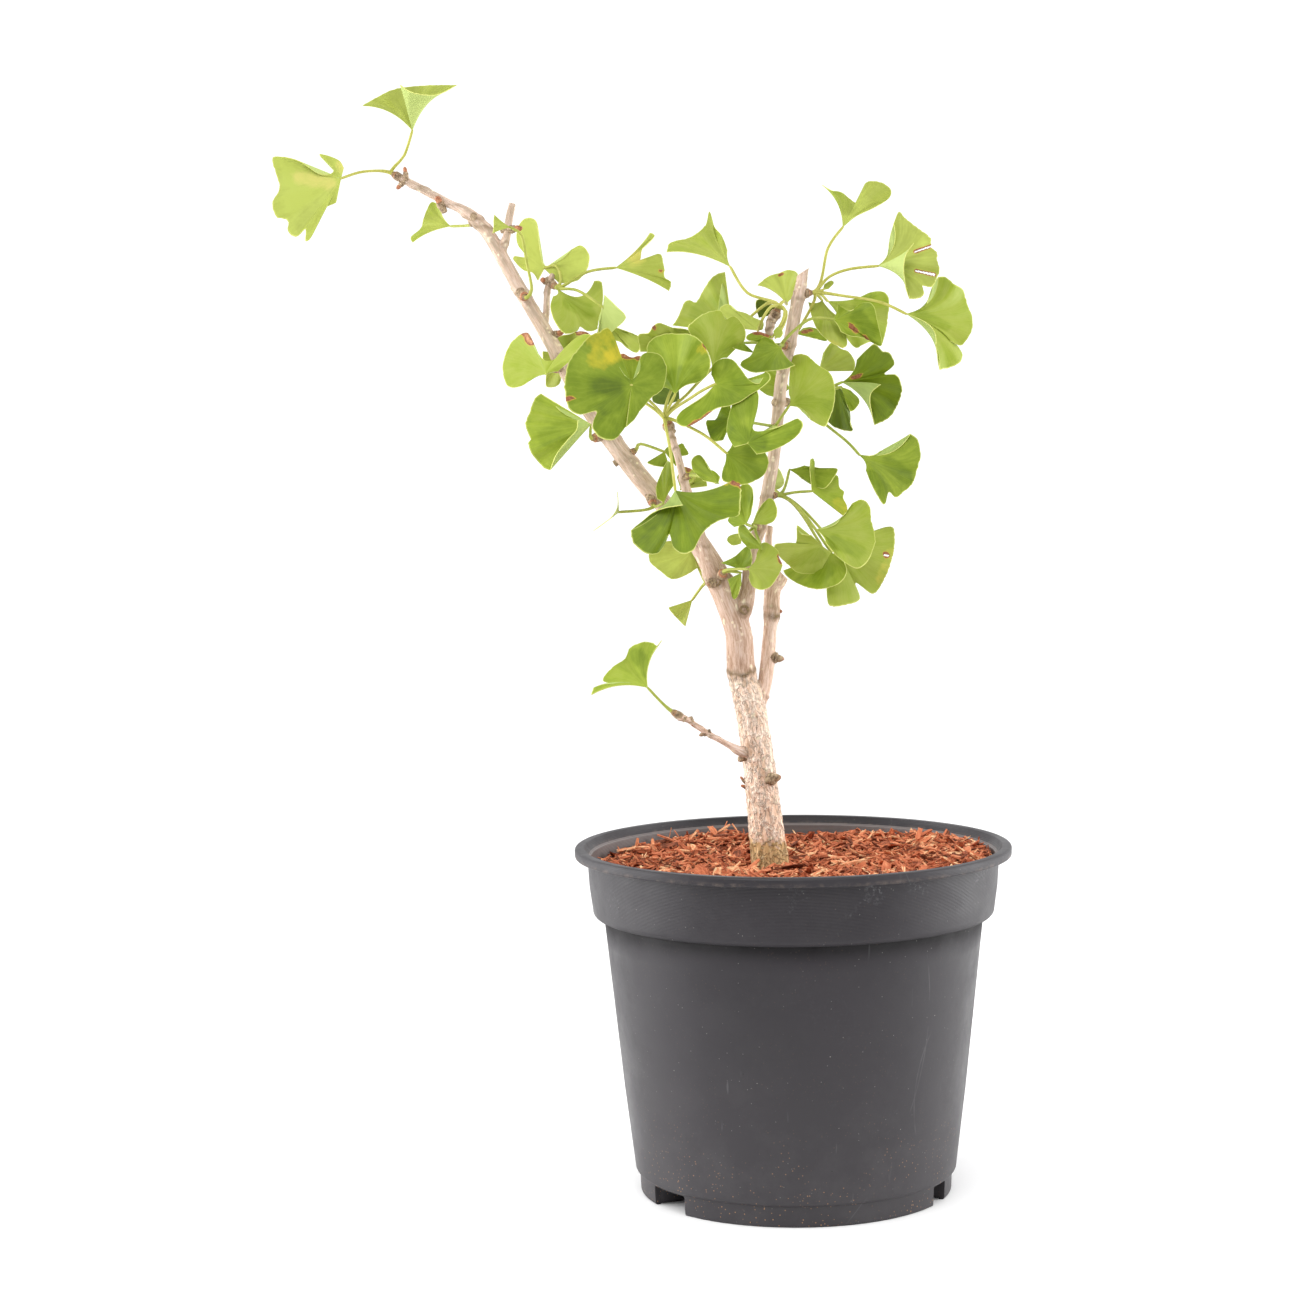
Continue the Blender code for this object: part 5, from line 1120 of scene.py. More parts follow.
# %% The finishes of wood, spurs and sawn ends
def wood_finish():
    f = Finish("ginkgo_bark")
    grain_place = f.value_of("grain", "Vector")
    here = f.place()
    scar, old, ridge, pores, sawn_end = [f.value_of(key) for key in ("scar", "old", "ridge", "pore", "sawn")]
    lines_fine = f.noise(grain_place, 1300, 4, 0.7, stretch=(1, 1, 0.12))
    lines_wide = f.noise(grain_place, 460, 4, 0.6, stretch=(1, 1, 0.14))
    patches = f.noise(grain_place, 75, 3, 0.55)
    worms = f.math("ABSOLUTE", f.minus(f.noise(grain_place, 330, 3, 0.6, stretch=(1, 1, 0.45)), 0.5))
    ridges = f.most(f.span(ridge, 0.55, 0.9), f.times(f.span(worms, 0.045, 0.0), old))
    cracks = f.times(old, f.most(f.span(ridge, 0.3, 0.08), f.span(worms, 0.13, 0.19)))
    tone = f.times(f.span(lines_fine, 0.3, 0.7, -0.38, 0.3), f.span(old, 0, 1, 1, 0.7))
    wide_share = f.span(old, 0, 1, 0.55, 0.75)
    tone = f.plus(tone, f.times(f.span(lines_wide, 0.3, 0.7, -0.28, 0.24), wide_share))
    tone = f.plus(tone, f.span(patches, 0.3, 0.7, 0.45, 0.66), use_clamp=True)
    colour = f.ramp(tone, [(0.0, (0.28, 0.16, 0.088)), (0.3, (0.56, 0.365, 0.235)),
                           (0.6, (0.82, 0.605, 0.45)), (1.0, (0.93, 0.78, 0.64))])
    level_x, level_z = f.axis(here), f.axis(here, 2)
    colour = f.mix(f.span(old, 0, 1, 1, 0), colour, (0.86, 0.86, 0.93), "MULTIPLY")
    colour = f.mix(old, colour, (1.13, 1.17, 1.27), "MULTIPLY")
    # Painted shade: above the ring scar the left side of the trunk is painted darker.
    left_side = f.span(level_x, AXIS.x - 0.02, AXIS.x - 0.015, 1, 0)
    left_shade_above_ring = f.times(f.band(level_z, 0.284, 0.29, 0.35, 0.4), left_side)
    colour = f.mix(left_shade_above_ring, colour, (0.8, 0.77, 0.75), "MULTIPLY")
    colour = f.mix(f.span(level_z, 0.235, 0.2), colour, (1.03, 0.98, 0.92), "MULTIPLY")
    high_up = f.span(level_z, 0.3, 0.42)
    colour = f.mix(f.times(high_up, f.span(lines_wide, 0.58, 0.4, 0.25, 0.75)), colour, (0.37, 0.3, 0.225))
    # Partly painted highlight and shade: the ridges of the old bark are painted pale and the cracks between
    # them brown, over the bark's own colour.
    colour = f.mix(f.times(ridges, 0.75), colour, (1.0, 0.87, 0.73))
    colour = f.mix(f.times(cracks, 0.34), colour, (0.45, 0.285, 0.16))
    dots = f.times(f.span(f.cells(grain_place, 170), 0.15, 0.09),
                  f.span(f.noise(grain_place, 60, 2), 0.48, 0.52))
    pale = f.most(f.times(pores, 0.8), f.times(dots, 0.75))
    colour = f.mix(pale, colour, (0.9, 0.77, 0.64))
    height = f.plus(level_z, f.span(level_x, -0.03, 0.01, -0.003, 0.005))
    ragged = f.plus(height, f.span(f.noise(grain_place, 260, 5, 0.7), 0.3, 0.7, -0.005, 0.005))
    foot = f.times(f.span(ragged, 0.201, 0.1975), f.span(patches, 0.3, 0.6, 0.7, 0.95))
    earthy = f.mix(f.span(lines_wide, 0.35, 0.65), (0.34, 0.205, 0.072), (0.76, 0.51, 0.24))
    colour = f.mix(foot, colour, earthy)
    colour = f.mix(f.times(pale, 0.8), colour, (0.74, 0.64, 0.42))
    rust = f.span(f.noise(here, 520, 4, 0.75), 0.38, 0.62)
    broken = f.times(scar, f.span(f.noise(here, 260, 4, 0.7), 0.38, 0.54, 0.42, 1.0))
    colour = f.mix(broken, colour, f.mix(rust, (0.07, 0.046, 0.024), (0.25, 0.17, 0.085)))
    straw = f.mix(f.span(lines_fine, 0.35, 0.65), (0.5, 0.34, 0.2), (0.7, 0.55, 0.36))
    colour = f.mix(sawn_end, colour, straw)
    relief = f.bump(lines_wide, 0.55, 0.0006, f.bump(lines_fine, 0.6, 0.0004, f.bump(dots, 0.5, 0.0004)))
    relief = f.bump(ridges, 0.9, 0.0011, f.bump(cracks, -0.7, 0.0011, relief))
    return f.done(base_color=colour, roughness=0.8, normal=relief, specular_ior_level=0.2)


def scale_finish():
    f = Finish("bud_scales")
    here = f.place()
    colour = f.ramp(f.noise(here, 480, 5, 0.75), [(0.3, (0.075, 0.045, 0.026)), (0.45, (0.24, 0.165, 0.1)),
                                                  (0.58, (0.44, 0.325, 0.205)), (0.75, (0.64, 0.51, 0.35))])
    red = f.ramp(f.noise(here, 420, 4, 0.7), [(0.35, (0.2, 0.06, 0.025)), (0.55, (0.46, 0.165, 0.075)),
                                              (0.72, (0.6, 0.33, 0.18))])
    colour = f.mix(f.times(f.value_of("ripe"), 0.85), colour, red)
    return f.done(base_color=colour, roughness=0.6, normal=f.bump(f.noise(here, 900, 3), 0.6, 0.0005),
                  specular_ior_level=0.3)


wear(wood, wood_finish())
wear(spurs, scale_finish())
hand_over(wood, "tree")
hand_over(spurs, None)

# %% [markdown]
# ## The leaves
#
# A ginkgo leaf is a fan. Its veins start at the stalk and fork again and again towards a wavy outer
# margin, often with a cleft in the middle. The drawing gives each leaf by its tuft, the x and z of its
# base, its depth there, how it leans (depth per millimetre to the right and up), and the stops of its open
# margin. Stops are counted from the base, in half millimetres; a third number at a stop bends the margin
# forwards or back. Some leaves curl: a flap folds forwards along the straight side, so that its pale
# underside shows. Stops of the stalk may have their own depth.

# %% The drawing of the leaves
def drawn(tuft, x, z, depth, lean_x, lean_z, rim, first_flap=(), last_flap=(), stalk=(), flare=0):
    """A leaf: base and its depth, lean to the right and up, and stops in half millimetres from the base."""
    def on_sheet(stops):
        return [(x + right / 2, z + up / 2, *(m / 2 for m in more)) for right, up, *more in stops]

    return dict(tuft=tuft, base=(x, z), depth=depth, lean=(lean_x, lean_z), rim=on_sheet(rim), flare=flare,
                first_flap=on_sheet(first_flap), last_flap=on_sheet(last_flap), stalk=on_sheet(stalk))


LEAVES = {
    "tip_a": drawn("tip", -240.5, 558, 45, 0.25, 0.25, [(-6, -26), (-26, -37), (-33, -61), (-40, -67),
        (-40, -54), (-50, -62), (-59, -56), (-59, -44), (-71, -40), (-75, -25), (-67, -8), (-74, 21),
        (-64, 24), (-45, 19), (-22, 4), (-8, 9), (-23, 26), (-3, 20), (3, 11)], stalk=[(25, 7)]),
    "tip_b": drawn("tip", -201.5, 583, 57, 0, 0.1, [(-54, 27, -4), (-36, 37, 0), (-16, 45, 8), (17, 48, 12),
        (49, 48, 0)], last_flap=[(31, 39, -12), (14, 38, -18), (-2, 42, -20), (-12, 49, -20)],
        stalk=[(-9, -26)], flare=0.2),
    "joint_a": drawn("joint", -181.5, 531.5, 75, -0.5, 0.55, [(-42, -17), (-44, -11), (-33, -2), (-29, 11),
        (-21, 26), (-11, 22)], flare=0.2),
    "stub_a": drawn("bend", -149.5, 530.5, 33, 0.7, 0, [(-19, -6), (-18, 0), (-18, 7), (-17, 14)],
        stalk=[(22, -67, 66), (17, -37, 66), (12, -9, 66)], flare=0.1),
    "twig_a": drawn("twig", -131.5, 508, 51, -0.55, 0.25, [(-7, -13), (-13, -4), (-23, -1), (-33, 10),
        (-32, 14), (-19, 13), (-28, 26), (-29, 40), (-23, 52), (-14, 55), (-7, 49), (-5, 26), (0, 4), (18, 9),
        (33, 22), (42, 24), (49, 14), (47, 0), (36, -13), (16, -16)], stalk=[(18, -13, 76), (13, 3, 92)]),
    "twig_b": drawn("twig", -93, 508, 36, 0.5, 0.3, [(38, 37, 12), (43, 33, 12), (30, 20, 6), (27, 8, 0),
        (19, 2, 0), (35, 9, 0), (49, 14, 0), (53, -1), (53, -11), (60, -16), (58, -26)], stalk=[(-30, -4)],
        flare=0.1),
    "twig_c": drawn("twig", -125, 497.5, 36, 0.5, 0.55, [(41, 7), (49, 5), (50, -17), (45, -35), (43, -45),
        (33, -47), (25, -42), (21, -47), (8, -49), (-2, -37), (-7, -21), (-4, -9)], flare=0.45),
    "twig_d": drawn("twig", -100, 487, 21, -0.55, -0.5, [(-4.6, -12), (-5, -26), (-8, -38), (1, -34),
        (12, -25), (24.8, -12), (14, 1), (2, 13)], stalk=[(-27, 18)]),
    "bough_a": drawn("boughface", -131.5, 451, 18, -0.55, 0.2, [(-18, -7), (-29, -13), (-42, -12), (-47, 7),
        (-42, 26), (-32, 40), (-19, 45), (-12, 29), (-1, 15), (11, 17), (21, 26), (37, 41), (50, 41),
        (42, 26), (24, 12), (13, 3)], flare=0.1),
    "bough_b": drawn("bough", -119.5, 455.5, 54, 0.55, -0.45, [(-19, 15), (-14, 30), (2, 34), (14, 37),
        (25, 33), (26, 17), (17, 4)]),
    "bough_c": drawn("bough", -120.5, 462, 63, 0.55, 0.25, [(-1, -14), (-7, -24), (-7, -32), (-13, -36),
        (-22, -35), (-22, -20), (-25, -6), (-25, 3)]),
    "bough_d": drawn("bough", -96.5, 477, 33, -0.35, 0.35, [(19, -7), (32, -13), (34, -22), (29, -30),
        (19, -25), (11, -18), (2, -16)]),
    "fork_a": drawn("lowbough", -107.5, 423.5, 12, -0.3, 0.25, [(-45, -49, -2), (-51, -47), (-63, -34),
        (-69, -20), (-66, -16), (-71, 1), (-66, 15), (-61, 28), (-54, 34)], first_flap=[(-38, -32, -10),
        (-26, -17, -14), (-16, -6, -14), (-14, 5, -12)], last_flap=[(-44, 27), (-32, 14), (-18, 6)]),
    "star_a": drawn("star", -85, 444.5, -51, 0.3, 0.55, [(-5, -43), (-11, -50), (-17, -57), (-24, -59),
        (-34, -57), (-42, -48), (-43, -40), (-39, -28), (-57, -31), (-69, -24), (-73, -6), (-72, 11),
        (-67, 28), (-56, 42), (-45, 54), (-34, 58), (-25, 62), (-18, 51), (-14, 36), (-13, 19), (-1, 6),
        (9, 16), (10, 30), (17, 35), (30, 33), (37, 23), (38, 10), (35, -2), (29, -9), (22, -13), (16, -20),
        (8, -29), (3, -37), (-7, -46, -1.6)]),
    "star_b": drawn("star", -84, 439, -27, 0.55, 0.35, [(-17, 11), (-19, 31), (-13, 45), (-2, 41), (8, 42),
        (16, 34), (18, 14)]),
    "star_c": drawn("star", -61.5, 439, -34, -0.55, 0.2, [(-22, 8), (-27, 27), (-30, 46), (-27, 58),
        (-14, 65), (4, 66), (17, 65), (28, 58), (36, 46), (39, 33), (35, 20), (24, 12)], flare=0.2),
    "star_d": drawn("star", -59, 436, -20, -0.45, -0.5, [(-13, -5), (-26, -3), (-30, 3), (-24, 17), (-13, 25),
        (-5, 21), (-1, 11)]),
    "star_e": drawn("star", -41, 453, -26, 0.55, 0.1, [(-21, 33), (-26, 44), (-20, 51), (-9, 59), (2, 62),
        (10, 62), (15, 53), (22, 56), (29, 53), (36, 41), (35, 29), (26, 21), (16, 11)], stalk=[(-25, -25)],
        flare=0.3),
    "star_f": drawn("star", -53, 462, -15, 0.1, -0.45, [(-54, 1), (-56, 19), (-45, 21), (-40, 28), (-33, 32),
        (-20, 27), (-2, 24), (11, 15)]),
    "star_g": drawn("star", -39.5, 444.5, -40, -0.5, 0.55, [(-4, 10), (-2, 21), (7, 27), (19, 26), (28, 16),
        (37, 4), (48, 0), (56, 12), (60, 5), (50, -5), (37, -13), (28, -19), (15, -24), (0, -27), (-17, -39),
        (-33, -46), (-43, -40), (-37, -29), (-20, -18)], stalk=[(-24, -13)], flare=0.1),
    "star_h": drawn("star", -34, 407, -45, 0.45, 0.55, [(9, 17), (28, 14), (42, 0), (46, -12), (42, -23),
        (33, -30), (19, -35), (3, -33), (-5, -28), (-3, -16)], stalk=[(-29, 23)], flare=0.1),
    "star_i": drawn("star", -62, 387, -63, -0.25, 0.5, [(63, 10), (71, 3), (71, -12), (69, -28), (56, -31),
        (39, -38), (27, -51), (19, -65), (7, -69), (-3, -62), (-7, -48), (-14, -61), (-22, -69), (-34, -68),
        (-47, -56), (-49, -43)], last_flap=[(-34, -31), (-25, -24, -4), (-11, -19, -10), (8, -16, -14)],
        stalk=[(-5, 44)], flare=0.15),
    "nub_a": drawn("nub", -67.5, 408, 8, 0.35, 0.55, [(5, -17), (-11, -15), (-19, -11), (-6, -7), (3, 5),
        (13, 3), (19, 9), (22, 5), (26, -3), (16, -6), (12, -16)], stalk=[(-26, 9)]),
    "knot_a": drawn("knot", -93, 375.5, -3, 0, 0, [(-28, -20, 0), (-15, -11, -20), (-6, -3, -32),
        (-1, 7, -24), (-1, 22, 0)]),
    "knot_b": drawn("knot", -68.5, 380, -8, 0.55, 0.45, [(-7, 5), (-8, 17), (-4, 29), (1, 40), (6, 46),
        (11, 36), (12, 20)], flare=0.1),
    "shoot_a": drawn("shoot", -38.5, 390.5, -40, -0.2, 0.45, [(-16, 3), (-27, 14), (-29, 25), (-25, 30),
        (-20, 31), (-15, 26), (-10, 16), (-4, 13), (2, 7)]),
    "shoot_b": drawn("shoot", -59, 387.5, -8, -0.3, 0.55, [(-4, 13), (3, 24), (15, 20), (27, 10), (29, 3)],
        stalk=[(15, 16, -40), (13, 8, -18)]),
    "node_a": drawn("node", -23, 343.5, -27, -0.2, 0.55, [(10, 16), (16, 28), (24, 27), (34, 19), (34, 13),
        (38, 3), (32, -10), (24, -20), (14, -23), (5, -19), (1, -9)], flare=0.2),
    "node_b": drawn("node", -27, 343.5, -14, -0.55, -0.25, [(-21, 7), (-6, 14), (8, 25), (13, 14), (12, 4)]),
    "node_c": drawn("node", -26.5, 341.5, -13, -0.55, -0.25, [(0, -12), (-5, -27), (-10, -28), (-12, -17),
        (-15, -7)]),
    "back_a": drawn("nodeback", -53, 353.5, 20, -0.35, 0.55, [(5, -18), (-8, -26), (-23, -30), (-34, -22),
        (-46, -12), (-47, 0), (-36, 10), (-18, 12)]),
    "back_b": drawn("nodeback", -53.5, 327, 22, 0.35, 0.2, [(-8, -29), (-16, -21), (-24, -12), (-26, -8)]),
    "low_a": drawn("lowtwig", -78.5, 279, -15, -0.45, 0.55, [(-62, -7), (-59, 1), (-50, 4), (-40, 5),
        (-49, 9), (-39, 23), (-25, 32), (-19, 44), (-7, 50), (5, 50), (11, 46), (16, 52)], flare=0.2),
    "cone_a": drawn("cone", -30.5, 507.5, -3, -0.2, 0.55, [(-69, 17), (-65, 27), (-48, 31), (-34, 38),
        (-26, 47), (-22, 60), (-17, 44), (-9, 34), (-3, 18)], stalk=[(18, -28)], flare=0.2),
    "cone_b": drawn("cone", -29.5, 472, 2, -0.3, 0.25, [(-66, 9), (-60, 17), (-53, 32), (-47, 36), (-39, 34),
        (-29, 51), (-20, 62), (-8, 66)], last_flap=[(-13, 46), (-16, 25)], stalk=[(37, 31, -20)]),
    "cone_c": drawn("cone", 0, 487, 14, 0.45, 0.35, [(-32, 21), (-25, 27), (-19, 31), (-8, 34), (1, 37),
        (11, 34), (12, 21), (9, 7)], flare=0.2),
    "cone_d": drawn("cone", -4.5, 482, 4, 0.25, -0.5, [(-22, -4), (-25, 7), (-24, 15), (-16, 15), (-9, 11),
        (-2, 5)]),
    "cone_e": drawn("cone", -16, 473, -12, -0.35, 0.35, [(-22, 3), (-39, 19), (-40, 26), (-31, 29), (-25, 23),
        (-13, 19), (-4, 14), (6, 9), (5, 1)], stalk=[(15, 26, -42), (6, 14, -40)]),
    "cone_f": drawn("cone", -8, 469.5, -18, 0.5, 0.2, [(-14, -5), (-27, -3), (-28, 2), (-17, 6), (-7, 3)],
        stalk=[(13, 30, -40), (11, 17, -44)]),
    "cone_g": drawn("cone", -6.5, 469, -24, -0.55, 0.5, [(-2, 7), (3, 12), (7, 9), (8, 4), (5, 0)],
        stalk=[(12, 28, -36), (9, 14, -40)]),
    "crotch_a": drawn("crotch", -3.5, 464, -30, -0.45, 0.55, [(15, -20, 4), (3, -24), (-14, -26), (-31, -27),
        (-43, -21), (-43, -15), (-33, -9), (-27, 3), (-19, 11), (-9, 8)], flare=0.1),
    "crotch_b": drawn("crotch", -24, 466.5, -18, 0.3, 0.55, [(12, -11), (1, -9), (-12, -5)],
        stalk=[(30, -2, -36), (16, 0, -32)]),
    "crotch_c": drawn("crotch", 25, 478.5, -3, 0.55, 0.3, [(5, 17), (18, 9), (31, 17), (43, 15), (49, -7),
        (52, -29), (34, -21), (18, -18), (8, -13)], stalk=[(-27, 0)], flare=0.1),
    "top_a": drawn("top", 49.5, 507, -6, -0.2, 0.55, [(17, 45), (23, 58), (29, 52), (37, 45), (48, 37),
        (57, 29), (58, 20), (64, 14), (64, 6), (67, -5), (64, -13), (58, -23), (48, -22), (50, -30),
        (45, -35), (34, -36, -2)], first_flap=[(13, 30), (11, 15)], last_flap=[(30, -24, -10), (28, -5, -16),
        (30, 11, -16), (39, 24, -14)], stalk=[(-53, -11), (-31, -3)], flare=0.25),
    "top_b": drawn("top", 64.5, 481, -18, 0.5, 0.2, [(35, 39), (43, 39), (53, 31), (62, 25), (66, 11),
        (72, -6), (70, -22), (60, -35), (48, -30), (60, -42), (59, -52), (50, -58), (36, -61, -2)],
        first_flap=[(28, 27), (23, 10)], last_flap=[(33, -40, -8), (32, -23, -12), (27, -14, -12)],
        stalk=[(-66, 20), (-28, 13)], flare=0.3),
    "top_c": drawn("top", 30.5, 528, 9, 0.1, 0.55, [(-22, 46), (-12, 40), (-2, 38), (6, 32), (13, 27),
        (21, 24), (23, 40), (26, 48), (36, 49), (47, 45), (53, 38), (50, 30), (35, 21), (19, 14)],
        stalk=[(-16, -22)], flare=0.2),
    "top_d": drawn("top", 19.5, 494.5, 0, 0, 0.55, [(2, 6), (9, 10), (12, 7), (6, 1)]),
    "top_e": drawn("top", 19, 489, 10, 0.1, 0.55, [(22, -20), (27, -45), (23, -52), (13, -48), (4, -42),
        (-5, -32), (-11, -19), (-15, -2)], flare=0.2),
    "top_f": drawn("top", 22, 488.5, 22, 0.5, -0.25, [(35, 3), (48, 9), (61, 9), (66, 2), (66, -13),
        (63, -32), (58, -48), (45, -45), (31, -51), (23, -44), (16, -32)], flare=0.2),
    "top_g": drawn("top", 5, 471, 14, 0.55, 0.55, [(7, 6), (15, 7), (25, 3), (33, -8), (16, -4)]),
    "back_c": drawn("backspur", 29.5, 444.5, 3, -0.25, -0.5, [(16, 24), (26, 34), (36, 41), (44, 33),
        (52, 31), (57, 19), (46, 8), (59, 7), (65, -5), (63, -18), (58, -29), (50, -40), (35, -47)],
        last_flap=[(31, -28, -8), (31, -13, -12), (42, -3, -14)], flare=0.2),
    "back_d": drawn("backspur", 17, 450.5, 30, 0.1, 0.55, [(5, 20), (14, 31), (24, 24), (32, 21), (39, 10),
        (38, 0)]),
    "back_e": drawn("backspur", 38.5, 405, 0, 0.05, 0.55, [(56, 22), (64, 15), (67, -1), (63, -18), (57, -33),
        (47, -42), (39, -47), (32, -41), (27, -55), (19, -44), (12, -30), (7, -17)], first_flap=[(44, 15),
        (22, 3)], stalk=[(-21, 21)], flare=0.3),
    "back_f": drawn("backspur", 26.5, 443, 26, -0.45, -0.5, [(10, -8), (14, -25), (15, -43), (17, -50),
        (3, -48), (-9, -40), (-12, -22)]),
    "back_g": drawn("backspur", 29, 442, 16, -0.1, 0.45, [(10, -4), (20, -16), (11, -27), (6, -19)]),
    "back_h": drawn("backspur", 1, 441.5, 18, -0.5, -0.5, [(-14, -10), (-26, -6), (-35, 4), (-27, 18),
        (-13, 23)]),
    "left_a": drawn("leftspur", -22, 412, -62, -0.55, 0.45, [(-15, -4), (-21, 6), (-23, 17), (-19, 36),
        (-11, 53), (-2, 60), (7, 61), (12, 52), (10, 36), (5, 21), (9, 13), (29, 16), (46, 23), (55, 26),
        (60, 19), (54, 8), (40, -2), (23, -9), (9, -12)]),
    "left_b": drawn("leftspur", 0.5, 432, -14, -0.5, 0.5, [(0, 12), (1, 34), (4, 52), (12, 56), (21, 54),
        (32, 44), (45, 35), (50, 19), (49, 1), (43, -16), (38, -23), (24, -16)], last_flap=[(14, -6)],
        flare=0.2),
    "left_c": drawn("leftspur", -30.5, 425, -30, -0.55, 0.55, [(-10, -22), (-21, -23), (-26, -13), (-28, -1),
        (-18, 0), (-11, 14), (-2, 17)]),
    "mid_a": drawn("midspur", -20, 368, -20, -0.55, 0.15, [(5, 13), (12, 23), (19, 28), (24, 24), (27, 13),
        (23, 3), (14, -1)]),
    "mid_b": drawn("midspur", -23.5, 368, -36, -0.55, 0.45, [(-13, -3), (-20, 5), (-9, 16), (-6, 32),
        (-6, 41), (1, 44), (7, 39), (8, 26), (5, 11)]),
    "mid_c": drawn("midspur", -15, 354.5, -25, 0.5, -0.2, [(-14, 0), (-23, 10), (-26, 21), (-22, 28),
        (-11, 16), (-3, 6)]),
    "mid_d": drawn("midspur", -26, 361, -12, -0.45, 0.55, [(-1, -7), (-10, -9), (-16, -4), (-15, 0), (-10, 3),
        (-1, 4)]),
    "right_a": drawn("rightspur", 0.5, 397.5, 10, -0.35, 0.5, [(16, 4), (35, 1), (52, 0), (47, -11),
        (38, -21), (26, -18), (13, -10)], flare=0.1),
    "right_b": drawn("rightspur", 12.5, 385.5, -3, 0.55, 0.55, [(-2, 23), (-1, 35), (3, 33), (4, 15), (15, 4),
        (26, 17), (29, 14), (30, 4), (35, -1), (34, -8), (38, -17), (38, -29), (28, -22), (15, -10)],
        stalk=[(-19, -1)]),
    "right_c": drawn("rightspur", 14.5, 364.5, -22, 0, 0.55, [(40, 28), (50, 32), (58, 26), (61, 7),
        (65, -12), (61, -26), (54, -38), (44, -43), (31, -36), (19, -25), (11, -15)], first_flap=[(32, 17),
        (22, 6)], flare=0.2),
    "right_d": drawn("rightspur", 25, 356, 0, 0.3, 0.35, [(43, 15), (63, 18), (64, -6), (58, -28), (49, -46),
        (40, -54), (22, -42), (26, -60), (10, -66), (-7, -66), (-10, -49)]),
    "right_e": drawn("rightspur", 17.5, 356, -16, 0.3, -0.5, [(10, -8), (5, -17), (-2, -28), (-13, -31),
        (-27, -29), (-39, -19), (-47, -11), (-51, 1), (-35, 3), (-28, 3), (-26.6, 22), (-23, 13), (-11, 11)]),
    "right_f": drawn("rightspur", 23, 352, -9, -0.6, 0.5, [(14, -11), (16, -23), (8, -34), (-5, -39),
        (-19, -40), (-35, -35), (-49, -26), (-53, -19)]),
    "right_g": drawn("rightspur", -10, 388, 15, -0.55, -0.2, [(4, 24), (10, 19), (15, 6), (11, -1), (4, -3)]),
}
print(len(LEAVES), "leaves drawn")

# %% [markdown]
# A blade starts as a flat grid. One way across the grid becomes the sweep from the first side of the fan
# to the last, the other way runs from the base to the margin, and each point is moved to its place. Veins
# leave the base along the leaf's axis and bend outwards, which the number flare sets. A few broad waves
# that grow towards the margin and a little cupping keep the blade from being flat, and small scallops
# break up the outer margin. The grid's own map then tells the finish where the veins run.

# %% Shape one blade from a grid
FLAP_LIFT = 0.35
FULL_TURN = 6.28
# How far the margin is scalloped, the blade waves and cups, and fine creases stand out
SCALLOP, WAVE, CUP, CREASE = 0.012, 0.055, 0.03, 0.35
BLADE_ROWS, BLADE_STEP = 16, 1.4
FINE_ROWS, FINE_STEP = 46, 0.55


def leaf_depth(leaf, x, z):
    """Depth of the leaf's own plane at a place on the sheet."""
    base_x, base_z = leaf["base"]
    lean_x, lean_z = leaf["lean"]
    return leaf["depth"] + lean_x * (x - base_x) + lean_z * (z - base_z)


def margin_stops(leaf):
    return [Vector((x, z, leaf_depth(leaf, x, z) + sum(more))) for x, z, *more in leaf["rim"]]


def flap_stops(leaf, key):
    """The stops of a folded flap, from the fold's corner on. It opens towards the viewer from the fold."""
    corner = leaf["rim"][0 if key == "first_flap" else -1]
    base = Vector(leaf["base"])
    fold = (Vector(corner[:2]) - base).normalized()
    stops = [Vector((*corner[:2], leaf_depth(leaf, *corner[:2]) + sum(corner[2:])))]
    for x, z, *more in leaf[key]:
        off = abs(fold.cross(Vector((x, z)) - base))
        stops.append(Vector((x, z, leaf_depth(leaf, x, z) + sum(more) - FLAP_LIFT * off)))
    return stops


